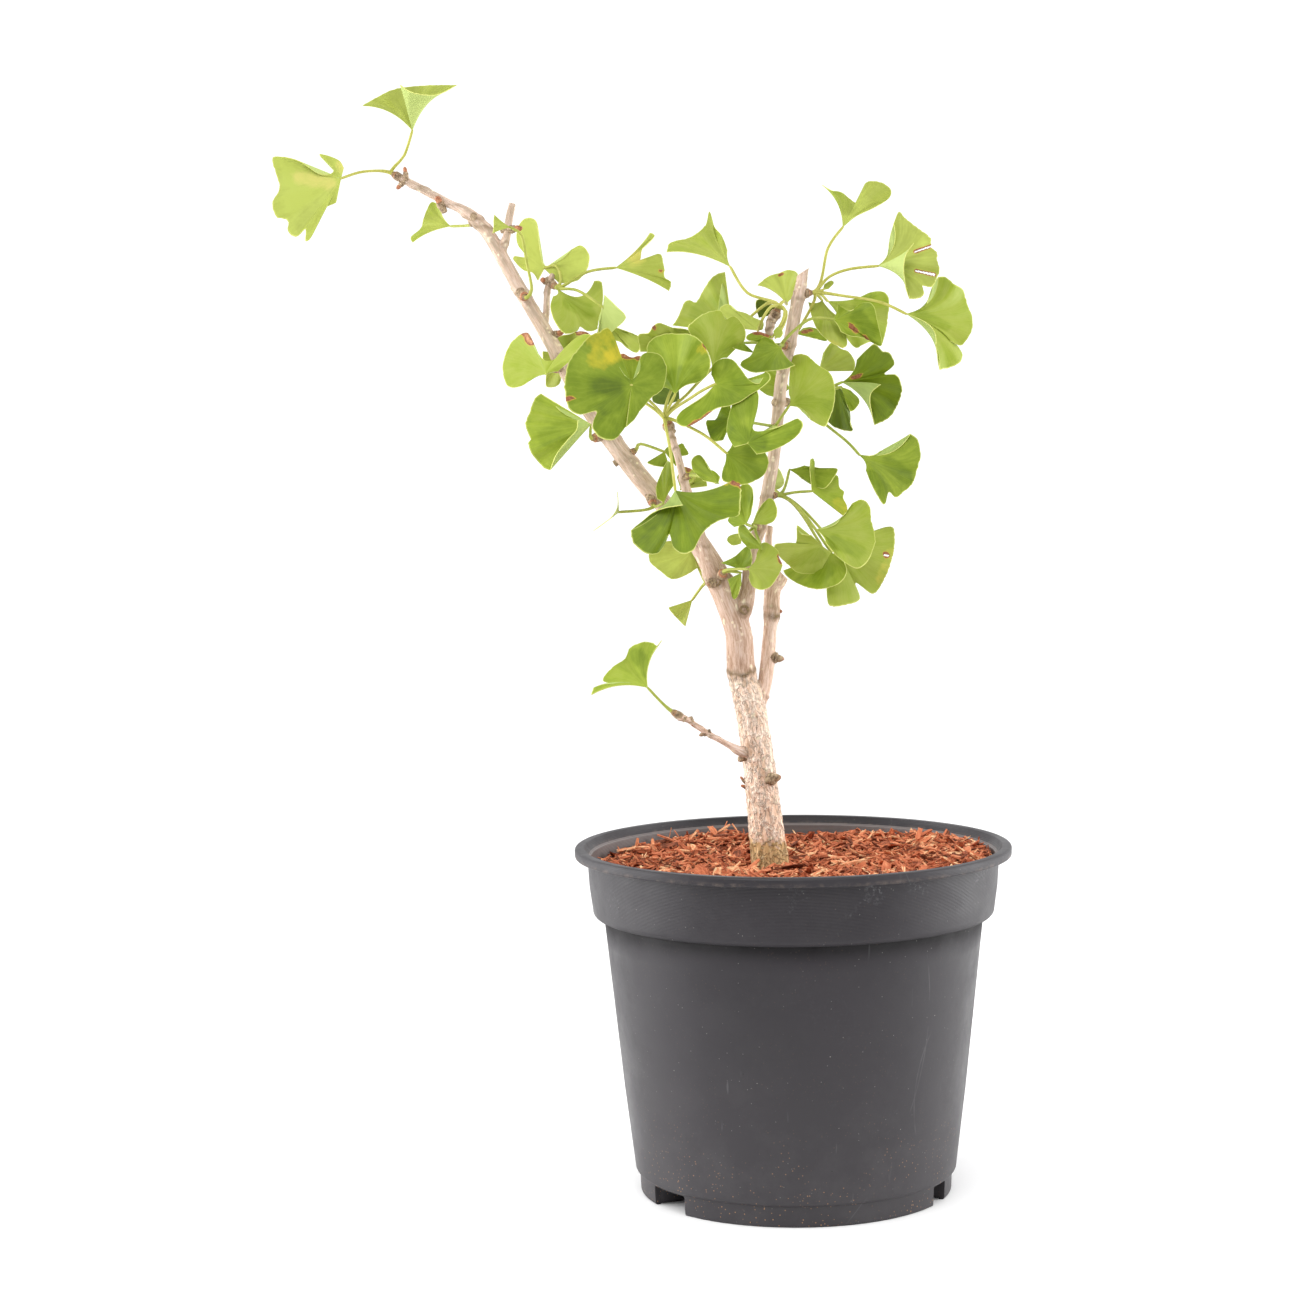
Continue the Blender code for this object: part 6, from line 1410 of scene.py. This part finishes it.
def blade(name, leaf, stops, waves):
    """A fan from the leaf's base to the smooth margin through the stops, all in the drawing's millimetres."""
    base = Vector((*leaf["base"], leaf["depth"]))
    axis = sum((s - base for s in margin_stops(leaf)), Vector((0, 0, 0))).normalized()
    flare = leaf["flare"] * 1.5
    run = sum((b - a).length for a, b in zip(stops, stops[1:]))
    reach = sum((s - base).length for s in stops) / len(stops)
    rows, step = (FINE_ROWS, FINE_STEP) if name in TORN else (BLADE_ROWS, BLADE_STEP)
    columns = max(8, min(150, round(run / step)))
    lengths = [0.0]
    for a, b in zip(stops, stops[1:]):
        lengths.append(lengths[-1] + max((b - a).length, 0.5))
    draw = random.Random(name)
    phase, pace, tilt = draw.uniform(0, FULL_TURN), draw.uniform(1.4, 2.6), draw.uniform(-0.5, 0.5)
    bpy.ops.object.select_all(action="DESELECT")
    bpy.ops.mesh.primitive_grid_add(x_subdivisions=columns, y_subdivisions=rows, size=1)
    fan = bpy.context.object
    fan.name = name
    fan.data.uv_layers[0].name = "fan"
    for vert in fan.data.vertices:
        across, out = vert.co.x + 0.5, vert.co.y + 0.5
        length = across * lengths[-1]
        stop = max(i for i in range(len(stops) - 1) if lengths[i] <= length + 1e-9)
        share = stop + min(1.0, (length - lengths[stop]) / (lengths[stop + 1] - lengths[stop]))
        edge = smooth_between(stops, share)
        if 0 < across < 1:
            scallop = noise.noise((length * 0.55, phase, 0)) + 0.7 * noise.noise((length * 1.3, 0, phase))
            edge = edge + (edge - base) * SCALLOP * scallop
        bend = base + axis * (edge - base).length * flare + (edge - base) * (1 - flare) / 2
        point = base * (1 - out) ** 2 + bend * 2 * out * (1 - out) + edge * out ** 2
        turn = across * FULL_TURN * pace
        wave = math.sin(phase + turn) + 0.5 * math.sin(2.3 * phase + turn * 2.3)
        cup = (across - 0.5) ** 2 * 4 - 0.4
        point.z += waves * reach * out ** 1.6 * (WAVE * wave + CUP * cup * tilt)
        point.z += waves * CREASE * out * noise.noise((point.x * 0.16, point.y * 0.16, phase))
        vert.co = sighted(*point)
    facing = sum((face.normal * face.area for face in fan.data.polygons), Vector())
    seen = facing.dot(EYE - fan.data.vertices[0].co)
    pick(fan)
    mode("EDIT", "SELECT")
    bpy.ops.mesh.remove_doubles(threshold=0.00002)
    if seen < 0:
        bpy.ops.mesh.flip_normals()
    mode("OBJECT")
    return fan


print("rows of a blade:", BLADE_ROWS, "and of a torn one:", FINE_ROWS)

# %% [markdown]
# Autumn has begun to show on this plant. Some blades carry yellow patches or streaks, brown spots and
# dry brown edges, and some carry painted shade in places, where folds and curves shade them. Each is named
# with the leaf it is on, its place and radius on the sheet, and its other end if it is long. It is stored on
# the blade as a number that fades outwards; the finish then breaks up its edge. Leaves also differ as a
# whole, by a tone that is partly their own colour and partly painted shade: deep green ones in the shade
# of others, bright ones, and pale young ones. Two leaves are torn: dry slits and a hole, which are cut out
# of their finer grids.

# %% Say where the leaves are yellow, brown, torn, painted in shade or pale
MARKS = {
    "tip_a": [("yellow", -262.5, 558.5, 4, -247, 555.5), ("yellow", -240.5, 564.5, 3)],
    "twig_b": [("yellow", -81.5, 513.5, 5), ("brown", -68.5, 506, 1.2)],
    "bough_a": [("dry", -143.2, 474, 1.9, -139.2, 468)],
    "bough_b": [("dry", -113.5, 473.8, 1.5, -109.5, 473.3)],
    "star_a": [("yellow", -97, 459.5, 4.6, -93.5, 461.5), ("faint", -101, 460, 6.5, -97, 471),
    ("faint", -105, 470, 4.5), ("brown", -120.5, 437.6, 1.3, -118, 438), ("darkest_painted_shade", -103, 444, 5, -95, 443),
    ("painted_shade", -99, 432, 3.5, -92, 436)], "star_b": [("dry", -91, 461.8, 2.2, -80.5, 459.8)],
    "star_c": [("brown", -43.5, 463.5, 0.9, -46, 466), ("faint", -46, 464, 3),
    ("painted_shade", -60, 447.5, 5, -53, 448.5)], "star_f": [("brown", -73, 475.5, 1.2)],
    "star_g": [("dry", -53.5, 421, 1.7, -41, 428)], "star_h": [("brown", -31.5, 388.5, 2, -27.5, 388.5)],
    "star_i": [("brown", -30.5, 391.5, 2, -27, 389), ("yellow", -34.5, 389.5, 1.6),
    ("painted_shade", -76, 370, 4, -66, 376)], "left_c": [("painted_shade", -41, 419, 2.5, -36, 424)],
    "fork_a": [("painted_shade", -132, 417, 4, -120, 421)], "left_a": [("painted_shade", -28, 418, 3.5, -16, 412)],
    "right_c": [("painted_shade", 24, 358, 3, 38, 352)], "right_f": [("painted_shade", 16, 338, 3, 22, 343)],
    "right_e": [("painted_shade", 3, 348, 3, 16, 351)], "back_e": [("painted_shade", 45, 392, 3.5, 52, 384),
    ("painted_shade", 55, 400, 3, 64, 392)], "left_b": [("painted_shade", 8, 434, 3.5, 22, 430)],
    "star_e": [("painted_shade", -36, 458, 3, -31, 467)], "cone_b": [("painted_shade", -48, 482, 4, -40, 488)],
    "low_a": [("painted_shade", -84, 297, 3, -78, 288)], "top_b": [("painted_shade", 71, 481, 2, 86, 474)],
    "top_f": [("painted_shade", 38, 487, 2.5, 46, 489)], "top_e": [("faint", 22, 464, 3, 31, 461)],
    "right_b": [("faint", 28, 378, 4, 32, 372)], "back_a": [("painted_shade", -52, 354, 2.5, -48, 347)],
    "twig_c": [("painted_shade", -118, 490, 3, -108, 484)], "top_c": [("painted_shade", 28, 548, 3, 33, 538)],
    "shoot_b": [("brown", -57, 402.5, 1.5, -54.5, 398.5)], "node_a": [("brown", -6.2, 350, 0.9, -4.2, 346.5)],
    "cone_c": [("brown", -4.3, 502.6, 0.8, -2.4, 503.2)],
    "cone_f": [("brown", -18, 472.8, 1.1, -10.5, 470.2)],
    "crotch_c": [("brown", 33.8, 475.5, 1.2, 37.5, 471.8), ("brown", 41, 469.5, 0.9, 44, 468),
    ("painted_shade", 38, 480, 3, 45, 472)], "top_g": [("brown", 8.8, 471.5, 1, 13, 473)],
    "back_c": [("brown", 34.5, 446.5, 1, 39, 447.8)], "right_d": [("faint", 56, 350, 3.5, 51, 337),
    ("brown", 52.8, 349.8, 1.9)],
}
# Slits and holes: from x, z to x, z, and half the width
TORN = {
    "top_a": [(69.8, 514.4, 78.5, 517.2, 0.28), (70.2, 504.0, 80.0, 501.8, 0.32)],
    "right_d": [(52.2, 350.1, 53.5, 349.6, 0.42)],
}
# Each leaf's tone, from deep to pale: partly its own colour, partly painted shade for leaves in the shade of
# others.
TONE_AND_SHADE_GROUPS = {
    0.00: "back_f cone_d star_d",
    0.26: "crotch_b back_c star_i",
    0.34: "star_a left_c cone_f node_b left_a star_g star_h crotch_a",
    0.44: "back_g node_c shoot_a right_a back_h top_g mid_c mid_b star_b back_e star_c crotch_c",
    0.54: "right_b right_f knot_b nub_a low_a fork_a",
    0.66: "top_f star_e left_b top_b mid_a cone_g right_c top_d bough_a bough_b",
    0.74: "top_e node_a right_e bough_d shoot_b cone_b right_d joint_a mid_d star_f twig_c knot_a cone_a",
    0.84: "back_d bough_c twig_d stub_a tip_b twig_b top_c top_a cone_e back_a",
    0.98: "cone_c twig_a right_g back_b tip_a",
}
TONE_AND_SHADE = {name: tone for tone, group in TONE_AND_SHADE_GROUPS.items() for name in group.split()}
YELLOW_STALKS = ("top", "cone", "tip", "star")
UNDERSIDE_SHOWS = ("twig_d", "right_g")
print(sum(len(marks) for marks in MARKS.values()), "marks on", len(MARKS), "leaves")


def place_on_sheet(co):
    """Where the viewer sees a place on the drawing sheet, in millimetres."""
    return (EYE + (co - EYE) * (AXIS.y - EYE.y) / (co.y - EYE.y) - AXIS) / MM


def distance_to_slit(spot, slit):
    """From a place on the sheet to a slit that runs from one place to another."""
    x0, z0, x1, z1, half_width = slit
    along = Vector((x1 - x0, z1 - z0))
    off = Vector((spot.x - x0, spot.z - z0))
    share = min(1, max(0, off.dot(along) / max(along.length_squared, 1e-6)))
    return (off - along * share).length - half_width


def tear(fan, name):
    """Cuts the slits of a torn leaf out of its grid."""
    pick(fan)
    mode("EDIT")
    bpy.ops.mesh.select_mode(type="VERT")
    bpy.ops.mesh.select_all(action="DESELECT")
    mode("OBJECT")
    for vert in fan.data.vertices:
        spot = place_on_sheet(vert.co)
        vert.select = min(distance_to_slit(spot, slit) for slit in TORN[name]) < 0
    mode("EDIT")
    bpy.ops.mesh.delete(type="VERT")
    mode("OBJECT")


def paint(fan, name, underside):
    """Stores the finish's numbers on a blade, and its slot: 0 where the upper side faces the viewer, or 1."""
    amounts = {"yellow": [], "brown": [], "painted_shade": []}
    for vert in fan.data.vertices:
        on_sheet = place_on_sheet(vert.co)
        found = {"yellow": 0.0, "brown": 0.0, "painted_shade": 0.0}
        for slit in TORN.get(name, ()):
            stain = 1.1 - distance_to_slit(on_sheet, slit) / 1.2
            found["brown"] = max(found["brown"], min(1.0, max(0.0, stain)))
        on_sheet += noise.noise_vector(on_sheet * 0.35) * 1.0
        for kind, x, z, radius, *end in MARKS.get(name, ()):
            gap = distance_to_slit(on_sheet, (x, z, *(end or (x, z)), 0)) / radius
            most = {"brown": 0.8, "faint": 0.6, "painted_shade": 0.45}.get(kind, 1.0)
            kind = {"dry": "brown", "faint": "yellow", "darkest_painted_shade": "painted_shade"}.get(kind, kind)
            found[kind] = max(found[kind], min(most, max(0.0, 1.5 - gap)))
        for kind in amounts:
            amounts[kind].append(found[kind])
    count = len(fan.data.vertices)
    numbers = {**amounts, "tone": [TONE_AND_SHADE[name]] * count}
    for key, values in numbers.items():
        store(fan, key, values)
    for face in fan.data.polygons:
        face.material_index = 1 if underside else 0
    return fan


# %% [markdown]
# The upper side of a blade is yellow-green with a dull gloss. Fine veins fork outwards from the base:
# stripes across the fan whose number doubles twice on the way to the margin. The underside is paler and
# duller, and the margin is a thin, nearly yellow line. Yellow and brown come from the blade's own
# numbers, frayed by noise that is drawn out along the veins. A dry place has a yellow halo, a dark brown
# outline and, where it is large, a tan middle.

# %% The finishes of the leaves
def leaf_finish(name, colours, shine):
    f = Finish(name)
    here = f.place()
    fan = f.add("UVMap", uv_map="fan")
    across, out = f.axis(fan), f.axis(fan, 1)
    ragged = f.plus(across, f.span(f.noise(here, 120, 2), 0.3, 0.7, -0.006, 0.006))
    few, some, many = [f.span(f.math("COSINE", f.times(ragged, n * math.tau)), 0.4, 1.0)
                       for n in (15, 30, 60)]
    few = f.times(few, f.span(out, 0.34, 0.18))
    some = f.times(some, f.band(out, 0.18, 0.34, 0.45, 0.65))
    many = f.times(many, f.span(out, 0.45, 0.65))
    veins = f.plus(f.plus(few, some), many)
    streaks = f.noise(fan, 9, 4, 0.6, stretch=(2.6, 0.22, 1))
    blotches = f.noise(here, 70, 4, 0.6)
    fine = f.noise(here, 900, 3, 0.6)
    # The tone sets each leaf's lightness, partly its own colour and partly painted shade.
    level = f.plus(f.value_of("tone"), f.span(blotches, 0.3, 0.7, -0.11, 0.11))
    level = f.plus(level, f.span(streaks, 0.3, 0.7, -0.09, 0.09))
    level = f.plus(level, f.span(out, 0.0, 1.0, 0.06, -0.04), use_clamp=True)
    # Painted shade: the stored shade number darkens the blade's level and, just below, its colour, where folds
    # and curves shade it.
    level = f.minus(level, f.times(f.value_of("painted_shade"), 0.26), use_clamp=True)
    colour = f.ramp(level, colours)
    colour = f.mix(f.times(f.value_of("painted_shade"), 0.6), colour, (0.6, 0.66, 0.45), "MULTIPLY")
    colour = f.mix(f.times(veins, 0.13), colour, f.ramp(f.plus(level, 0.3), colours))
    side = f.times(f.math("ABSOLUTE", f.minus(across, 0.5)), 2.0)
    margin = f.most(f.span(out, 0.978, 0.992), f.span(side, 0.984, 0.998))
    colour = f.mix(f.times(margin, 0.62), colour, (0.6, 0.62, 0.17))
    fray = f.span(f.noise(here, 230, 4, 0.65), 0.3, 0.7, -0.2, 0.2)
    fray = f.plus(f.span(streaks, 0.3, 0.7, -0.22, 0.22), fray)
    yellow = f.span(f.plus(f.value_of("yellow"), fray), 0.3, 1.1, 0, 0.95)
    gold = f.mix(f.span(f.value_of("tone"), 0.5, 1.0), (0.47, 0.39, 0.02), (0.53, 0.51, 0.13))
    colour = f.mix(yellow, colour, gold)
    brown = f.plus(f.value_of("brown"), f.times(fray, 0.7))
    colour = f.mix(f.span(brown, 0.28, 0.48, 0, 0.8), colour, (0.5, 0.33, 0.04))
    mottle = f.span(fine, 0.35, 0.65)
    outline = f.mix(mottle, (0.17, 0.06, 0.022), (0.33, 0.13, 0.055))
    colour = f.mix(f.span(brown, 0.48, 0.6), colour, outline)
    tan = f.mix(mottle, (0.42, 0.16, 0.06), (0.58, 0.32, 0.17))
    colour = f.mix(f.span(brown, 0.85, 1.05, 0, 0.85), colour, tan)
    relief = f.bump(veins, 0.02, 0.0002)
    rough = f.span(blotches, 0.3, 0.7, shine - 0.05, shine + 0.07)
    return f.done(base_color=colour, roughness=rough, normal=relief, specular_ior_level=0.22)


UPPER = [(0.0, (0.075, 0.118, 0.003)), (0.28, (0.138, 0.202, 0.005)), (0.55, (0.248, 0.318, 0.024)),
         (0.8, (0.314, 0.36, 0.058)), (1.0, (0.405, 0.468, 0.085))]
UNDER = [(0.0, (0.2, 0.27, 0.06)), (0.5, (0.33, 0.42, 0.11)), (1.0, (0.44, 0.52, 0.16))]
leaf_upper = leaf_finish("ginkgo_leaf_upper", UPPER, 0.48)
leaf_under = leaf_finish("ginkgo_leaf_under", UNDER, 0.6)


def rim_finish():
    f = Finish("ginkgo_leaf_rim")
    mottle = f.noise(f.place(), 500, 3)
    colour = f.ramp(mottle, [(0.3, (0.48, 0.52, 0.11)), (0.7, (0.68, 0.68, 0.24))])
    brown = f.span(f.value_of("brown"), 0.45, 0.6)
    return f.done(base_color=f.mix(brown, colour, (0.22, 0.09, 0.03)), roughness=0.5, specular_ior_level=0.2)


def stalk_finish():
    f = Finish("ginkgo_stalk")
    here = f.place()
    mottle = f.noise(here, 150, 4, 0.6)
    green = f.ramp(mottle, [(0.3, (0.2, 0.27, 0.03)), (0.7, (0.36, 0.4, 0.075))])
    yellow = f.ramp(mottle, [(0.3, (0.37, 0.36, 0.055)), (0.7, (0.5, 0.47, 0.12))])
    streak = f.noise(here, 700, 3, 0.6, stretch=(1, 1, 0.3))
    colour = f.mix(f.span(f.value_of("tone"), 0.2, 1.0, 0, 0.85), green, yellow)
    colour = f.mix(f.span(streak, 0.4, 0.7, 0, 0.12), colour, (0.5, 0.48, 0.14))
    relief = f.bump(streak, 0.06, 0.0001)
    return f.done(base_color=colour, roughness=0.5, normal=relief, specular_ior_level=0.25)


def foot_finish():
    f = Finish("ginkgo_tuft_foot")
    here = f.place()
    colour = f.ramp(f.noise(here, 700, 4, 0.7), [(0.3, (0.11, 0.055, 0.03)), (0.55, (0.3, 0.19, 0.085)),
                                                 (0.75, (0.42, 0.36, 0.12))])
    return f.done(base_color=colour, roughness=0.7, normal=f.bump(f.noise(here, 900, 3), 0.5, 0.0004))


leaf_rim, leaf_stalk, leaf_foot = rim_finish(), stalk_finish(), foot_finish()

# %% [markdown]
# The blades of a tuft are made first and get their thickness together: Solidify adds the back and the
# rim, each in a slot of its own, because a blade's back has the other side's finish. Then come the stalks,
# as smooth curves from the spur's tip to the blade, a little thicker where they leave the tuft, and the
# small brown foot that holds them.

# %% Grow all tufts
BLADE_THICKNESS = 0.00042
STALK_RADIUS = 0.00088
STALK_STEP = 0.0025
HUB_HEIGHT = 0.003


def stalk(name, leaf, seat, way):
    """The leaf's stalk, from inside the foot of the tuft into the base of the blade."""
    base = sighted(*leaf["base"], leaf["depth"])
    seat_depth = (seat.y - AXIS.y) / MM
    stops = [seat + way * HUB_HEIGHT * 0.42]
    bends = leaf["stalk"]
    for number, (x, z, *own) in enumerate(bends):
        share = (number + 1) / (len(bends) + 1)
        stops.append(sighted(x, z, own[0] if own else seat_depth + (leaf["depth"] - seat_depth) * share))
    stops.append(base)
    lead = stops[1] - way * 1.6 * (stops[1] - stops[0]).length
    points = []
    for i in range(len(stops) - 1):
        count = max(3, int((stops[i + 1] - stops[i]).length / STALK_STEP))
        points += [smooth_between(stops, i + k / count, lead) for k in range(count)]
    rim = [sighted(*stop) for stop in margin_stops(leaf)]
    axis = (sum(rim, Vector()) / len(rim) - base).normalized()
    behind = (base - EYE).normalized()
    points += [base, base + axis * 0.0014 + behind * 0.0003, base + axis * 0.003 + behind * 0.0006]
    swell = [1.35 - 0.45 * min(1, i / (0.25 * len(points))) for i in range(len(points))]
    swell[-3:] = [0.75, 0.45, 0.2]
    return round_curve(name, points, [STALK_RADIUS * s for s in swell], 10)


def tuft_foot(seat, way):
    """The foot of a tuft: brown scales that clasp the stalks."""
    stops = [seat - way * 0.0008, seat, seat + way * 0.0008, seat + way * 0.0015, seat + way * 0.0021]
    return round_curve("foot", stops, [0.0018, 0.0019, 0.0016, 0.0012, 0.0005], 12)


def in_slot(piece, slot, tone=0.5):
    """Puts a stalk or foot in one of the tuft's slots, with the tone of its leaf."""
    wear(piece, leaf_upper, leaf_under, leaf_rim, leaf_stalk, leaf_foot)
    piece.data.polygons.foreach_set("material_index", [slot] * len(piece.data.polygons))
    store(piece, "tone", [tone] * len(piece.data.vertices))
    return piece


def tuft(spur):
    """One tuft as one piece: its blades with thickness, its stalks and its foot."""
    root, end, radius = SPURS[spur]
    root, end = sighted(*root), sighted(*end)
    way = (end - root).normalized()
    seat = end + way * 0.0003
    fans, stalks = [], [in_slot(tuft_foot(seat, way), 4)]
    for name, leaf in LEAVES.items():
        if leaf["tuft"] != spur:
            continue
        shows = name in UNDERSIDE_SHOWS
        front = paint(blade(name, leaf, margin_stops(leaf), 1), name, shows)
        if name in TORN:
            tear(front, name)
        fans.append(front)
        for key in ("first_flap", "last_flap"):
            if leaf[key]:
                fans.append(paint(blade(name + key, leaf, flap_stops(leaf, key), 0.3), name, not shows))
        yellowness = 1.0 if spur in YELLOW_STALKS else TONE_AND_SHADE[name] * 0.7
        stalks.append(in_slot(stalk("stalk_" + name, leaf, seat, way), 3, yellowness))
    # Six slots while the blades get their thickness: front, back and rim of blades seen from above or below
    front_slots = [[face.material_index for face in fan.data.polygons] for fan in fans]
    for fan, slots in zip(fans, front_slots):
        wear(fan, leaf_upper, leaf_under, leaf_under, leaf_upper, leaf_rim, leaf_rim)
        fan.data.polygons.foreach_set("material_index", slots)
    blades = joined("tuft_" + spur, fans)
    shell = blades.modifiers.new("thickness", "SOLIDIFY")
    shell.thickness, shell.offset = BLADE_THICKNESS, 0
    shell.material_offset, shell.material_offset_rim = 2, 4
    settle(blades)
    final = [(0, 1, 1, 0, 2, 2)[face.material_index] for face in blades.data.polygons]
    wear(blades, leaf_upper, leaf_under, leaf_rim, leaf_stalk, leaf_foot)
    blades.data.polygons.foreach_set("material_index", final)
    whole = joined("tuft_" + spur, [blades] + stalks)
    soften(whole, 40)
    return whole


tufts = {spur: tuft(spur) for spur in SPURS}
for spur, piece in tufts.items():
    hand_over(piece, "leaves_" + spur)

# %% [markdown]
# ## Floor and light
#
# The plant stands on a plain white floor under soft studio light. The studio is white behind and above it
# and darker low down towards the viewer, so that the pot is dark in the middle and lighter at its sides.
# Two large softboxes stand at the sides, and one above and in front gives the leaves their soft shading.
# The picture is shown without a film curve, so that white stays white.

# %% Set up the studio
bpy.ops.object.select_all(action="DESELECT")
bpy.ops.mesh.primitive_plane_add(size=8, location=(AXIS.x, AXIS.y, 0))
floor = bpy.context.object
floor.name = "floor"
paper = Finish("floor_paper")
wear(floor, paper.done(base_color=(0.93, 0.93, 0.93, 1), roughness=0.9))
floor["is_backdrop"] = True

DARK_SIDE, WHITE_SIDE, HEIGHT_COUNTS = 0.24, 1.2, 1.3
world = bpy.context.scene.world or bpy.data.worlds.new("studio")
bpy.context.scene.world = world
world.use_nodes = True
sky = world.node_tree.nodes["Background"]
studio = Graph(world.node_tree)
way_out = studio.add("TexCoord", out="Generated")
lift = studio.plus(studio.times(studio.axis(way_out, 2), HEIGHT_COUNTS), studio.axis(way_out, 1))
shade = studio.add("MapRange", {"Value": lift, "From Min": -0.8, "From Max": 0.15, "To Min": DARK_SIDE,
                                "To Max": WHITE_SIDE}, interpolation_type="SMOOTHSTEP")
studio.fill(sky, {"Color": (1, 1, 1, 1), "Strength": shade})


def softbox(name, place, target, size, power):
    """A square area light that looks from its place at its target."""
    bpy.ops.object.light_add(type="AREA", location=place)
    lamp = bpy.context.object
    lamp.name = name
    lamp.data.size = size
    lamp.data.energy = power
    lamp.rotation_euler = (Vector(target) - Vector(place)).to_track_quat("-Z", "Y").to_euler()


middle = AXIS + Vector((0, 0, 0.33))
softbox("softbox_left", middle + Vector((-1.55, 0.1, 0.08)), middle, 1.2, 27)
softbox("softbox_right", middle + Vector((1.55, 0.15, 0.08)), middle, 1.2, 25)
softbox("softbox_top", middle + Vector((-0.3, -1.1, 1.3)), middle, 1.2, 12.5)
bpy.context.scene.view_settings.view_transform = "Standard"
bpy.context.scene.view_settings.look = "None"

# %% [markdown]
# ## The last look
#
# The dressed plant must still fill the same box as the solids. Both boxes are measured, and the
# largest change of a side is printed.

# %% Write the sizes and finish
bpy.context.view_layer.update()
dressed_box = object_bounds()
boxes = {"solids": [list(corner) for corner in solid_box], "dressed": [list(corner) for corner in dressed_box]}
change = max(abs(b - a) for s, d in zip(*boxes.values()) for a, b in zip(s, d))
print("largest change of a side", round(change / MM, 2), "mm")
print("triangles in all", sum(triangles(o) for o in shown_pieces() if o.type == "MESH"))
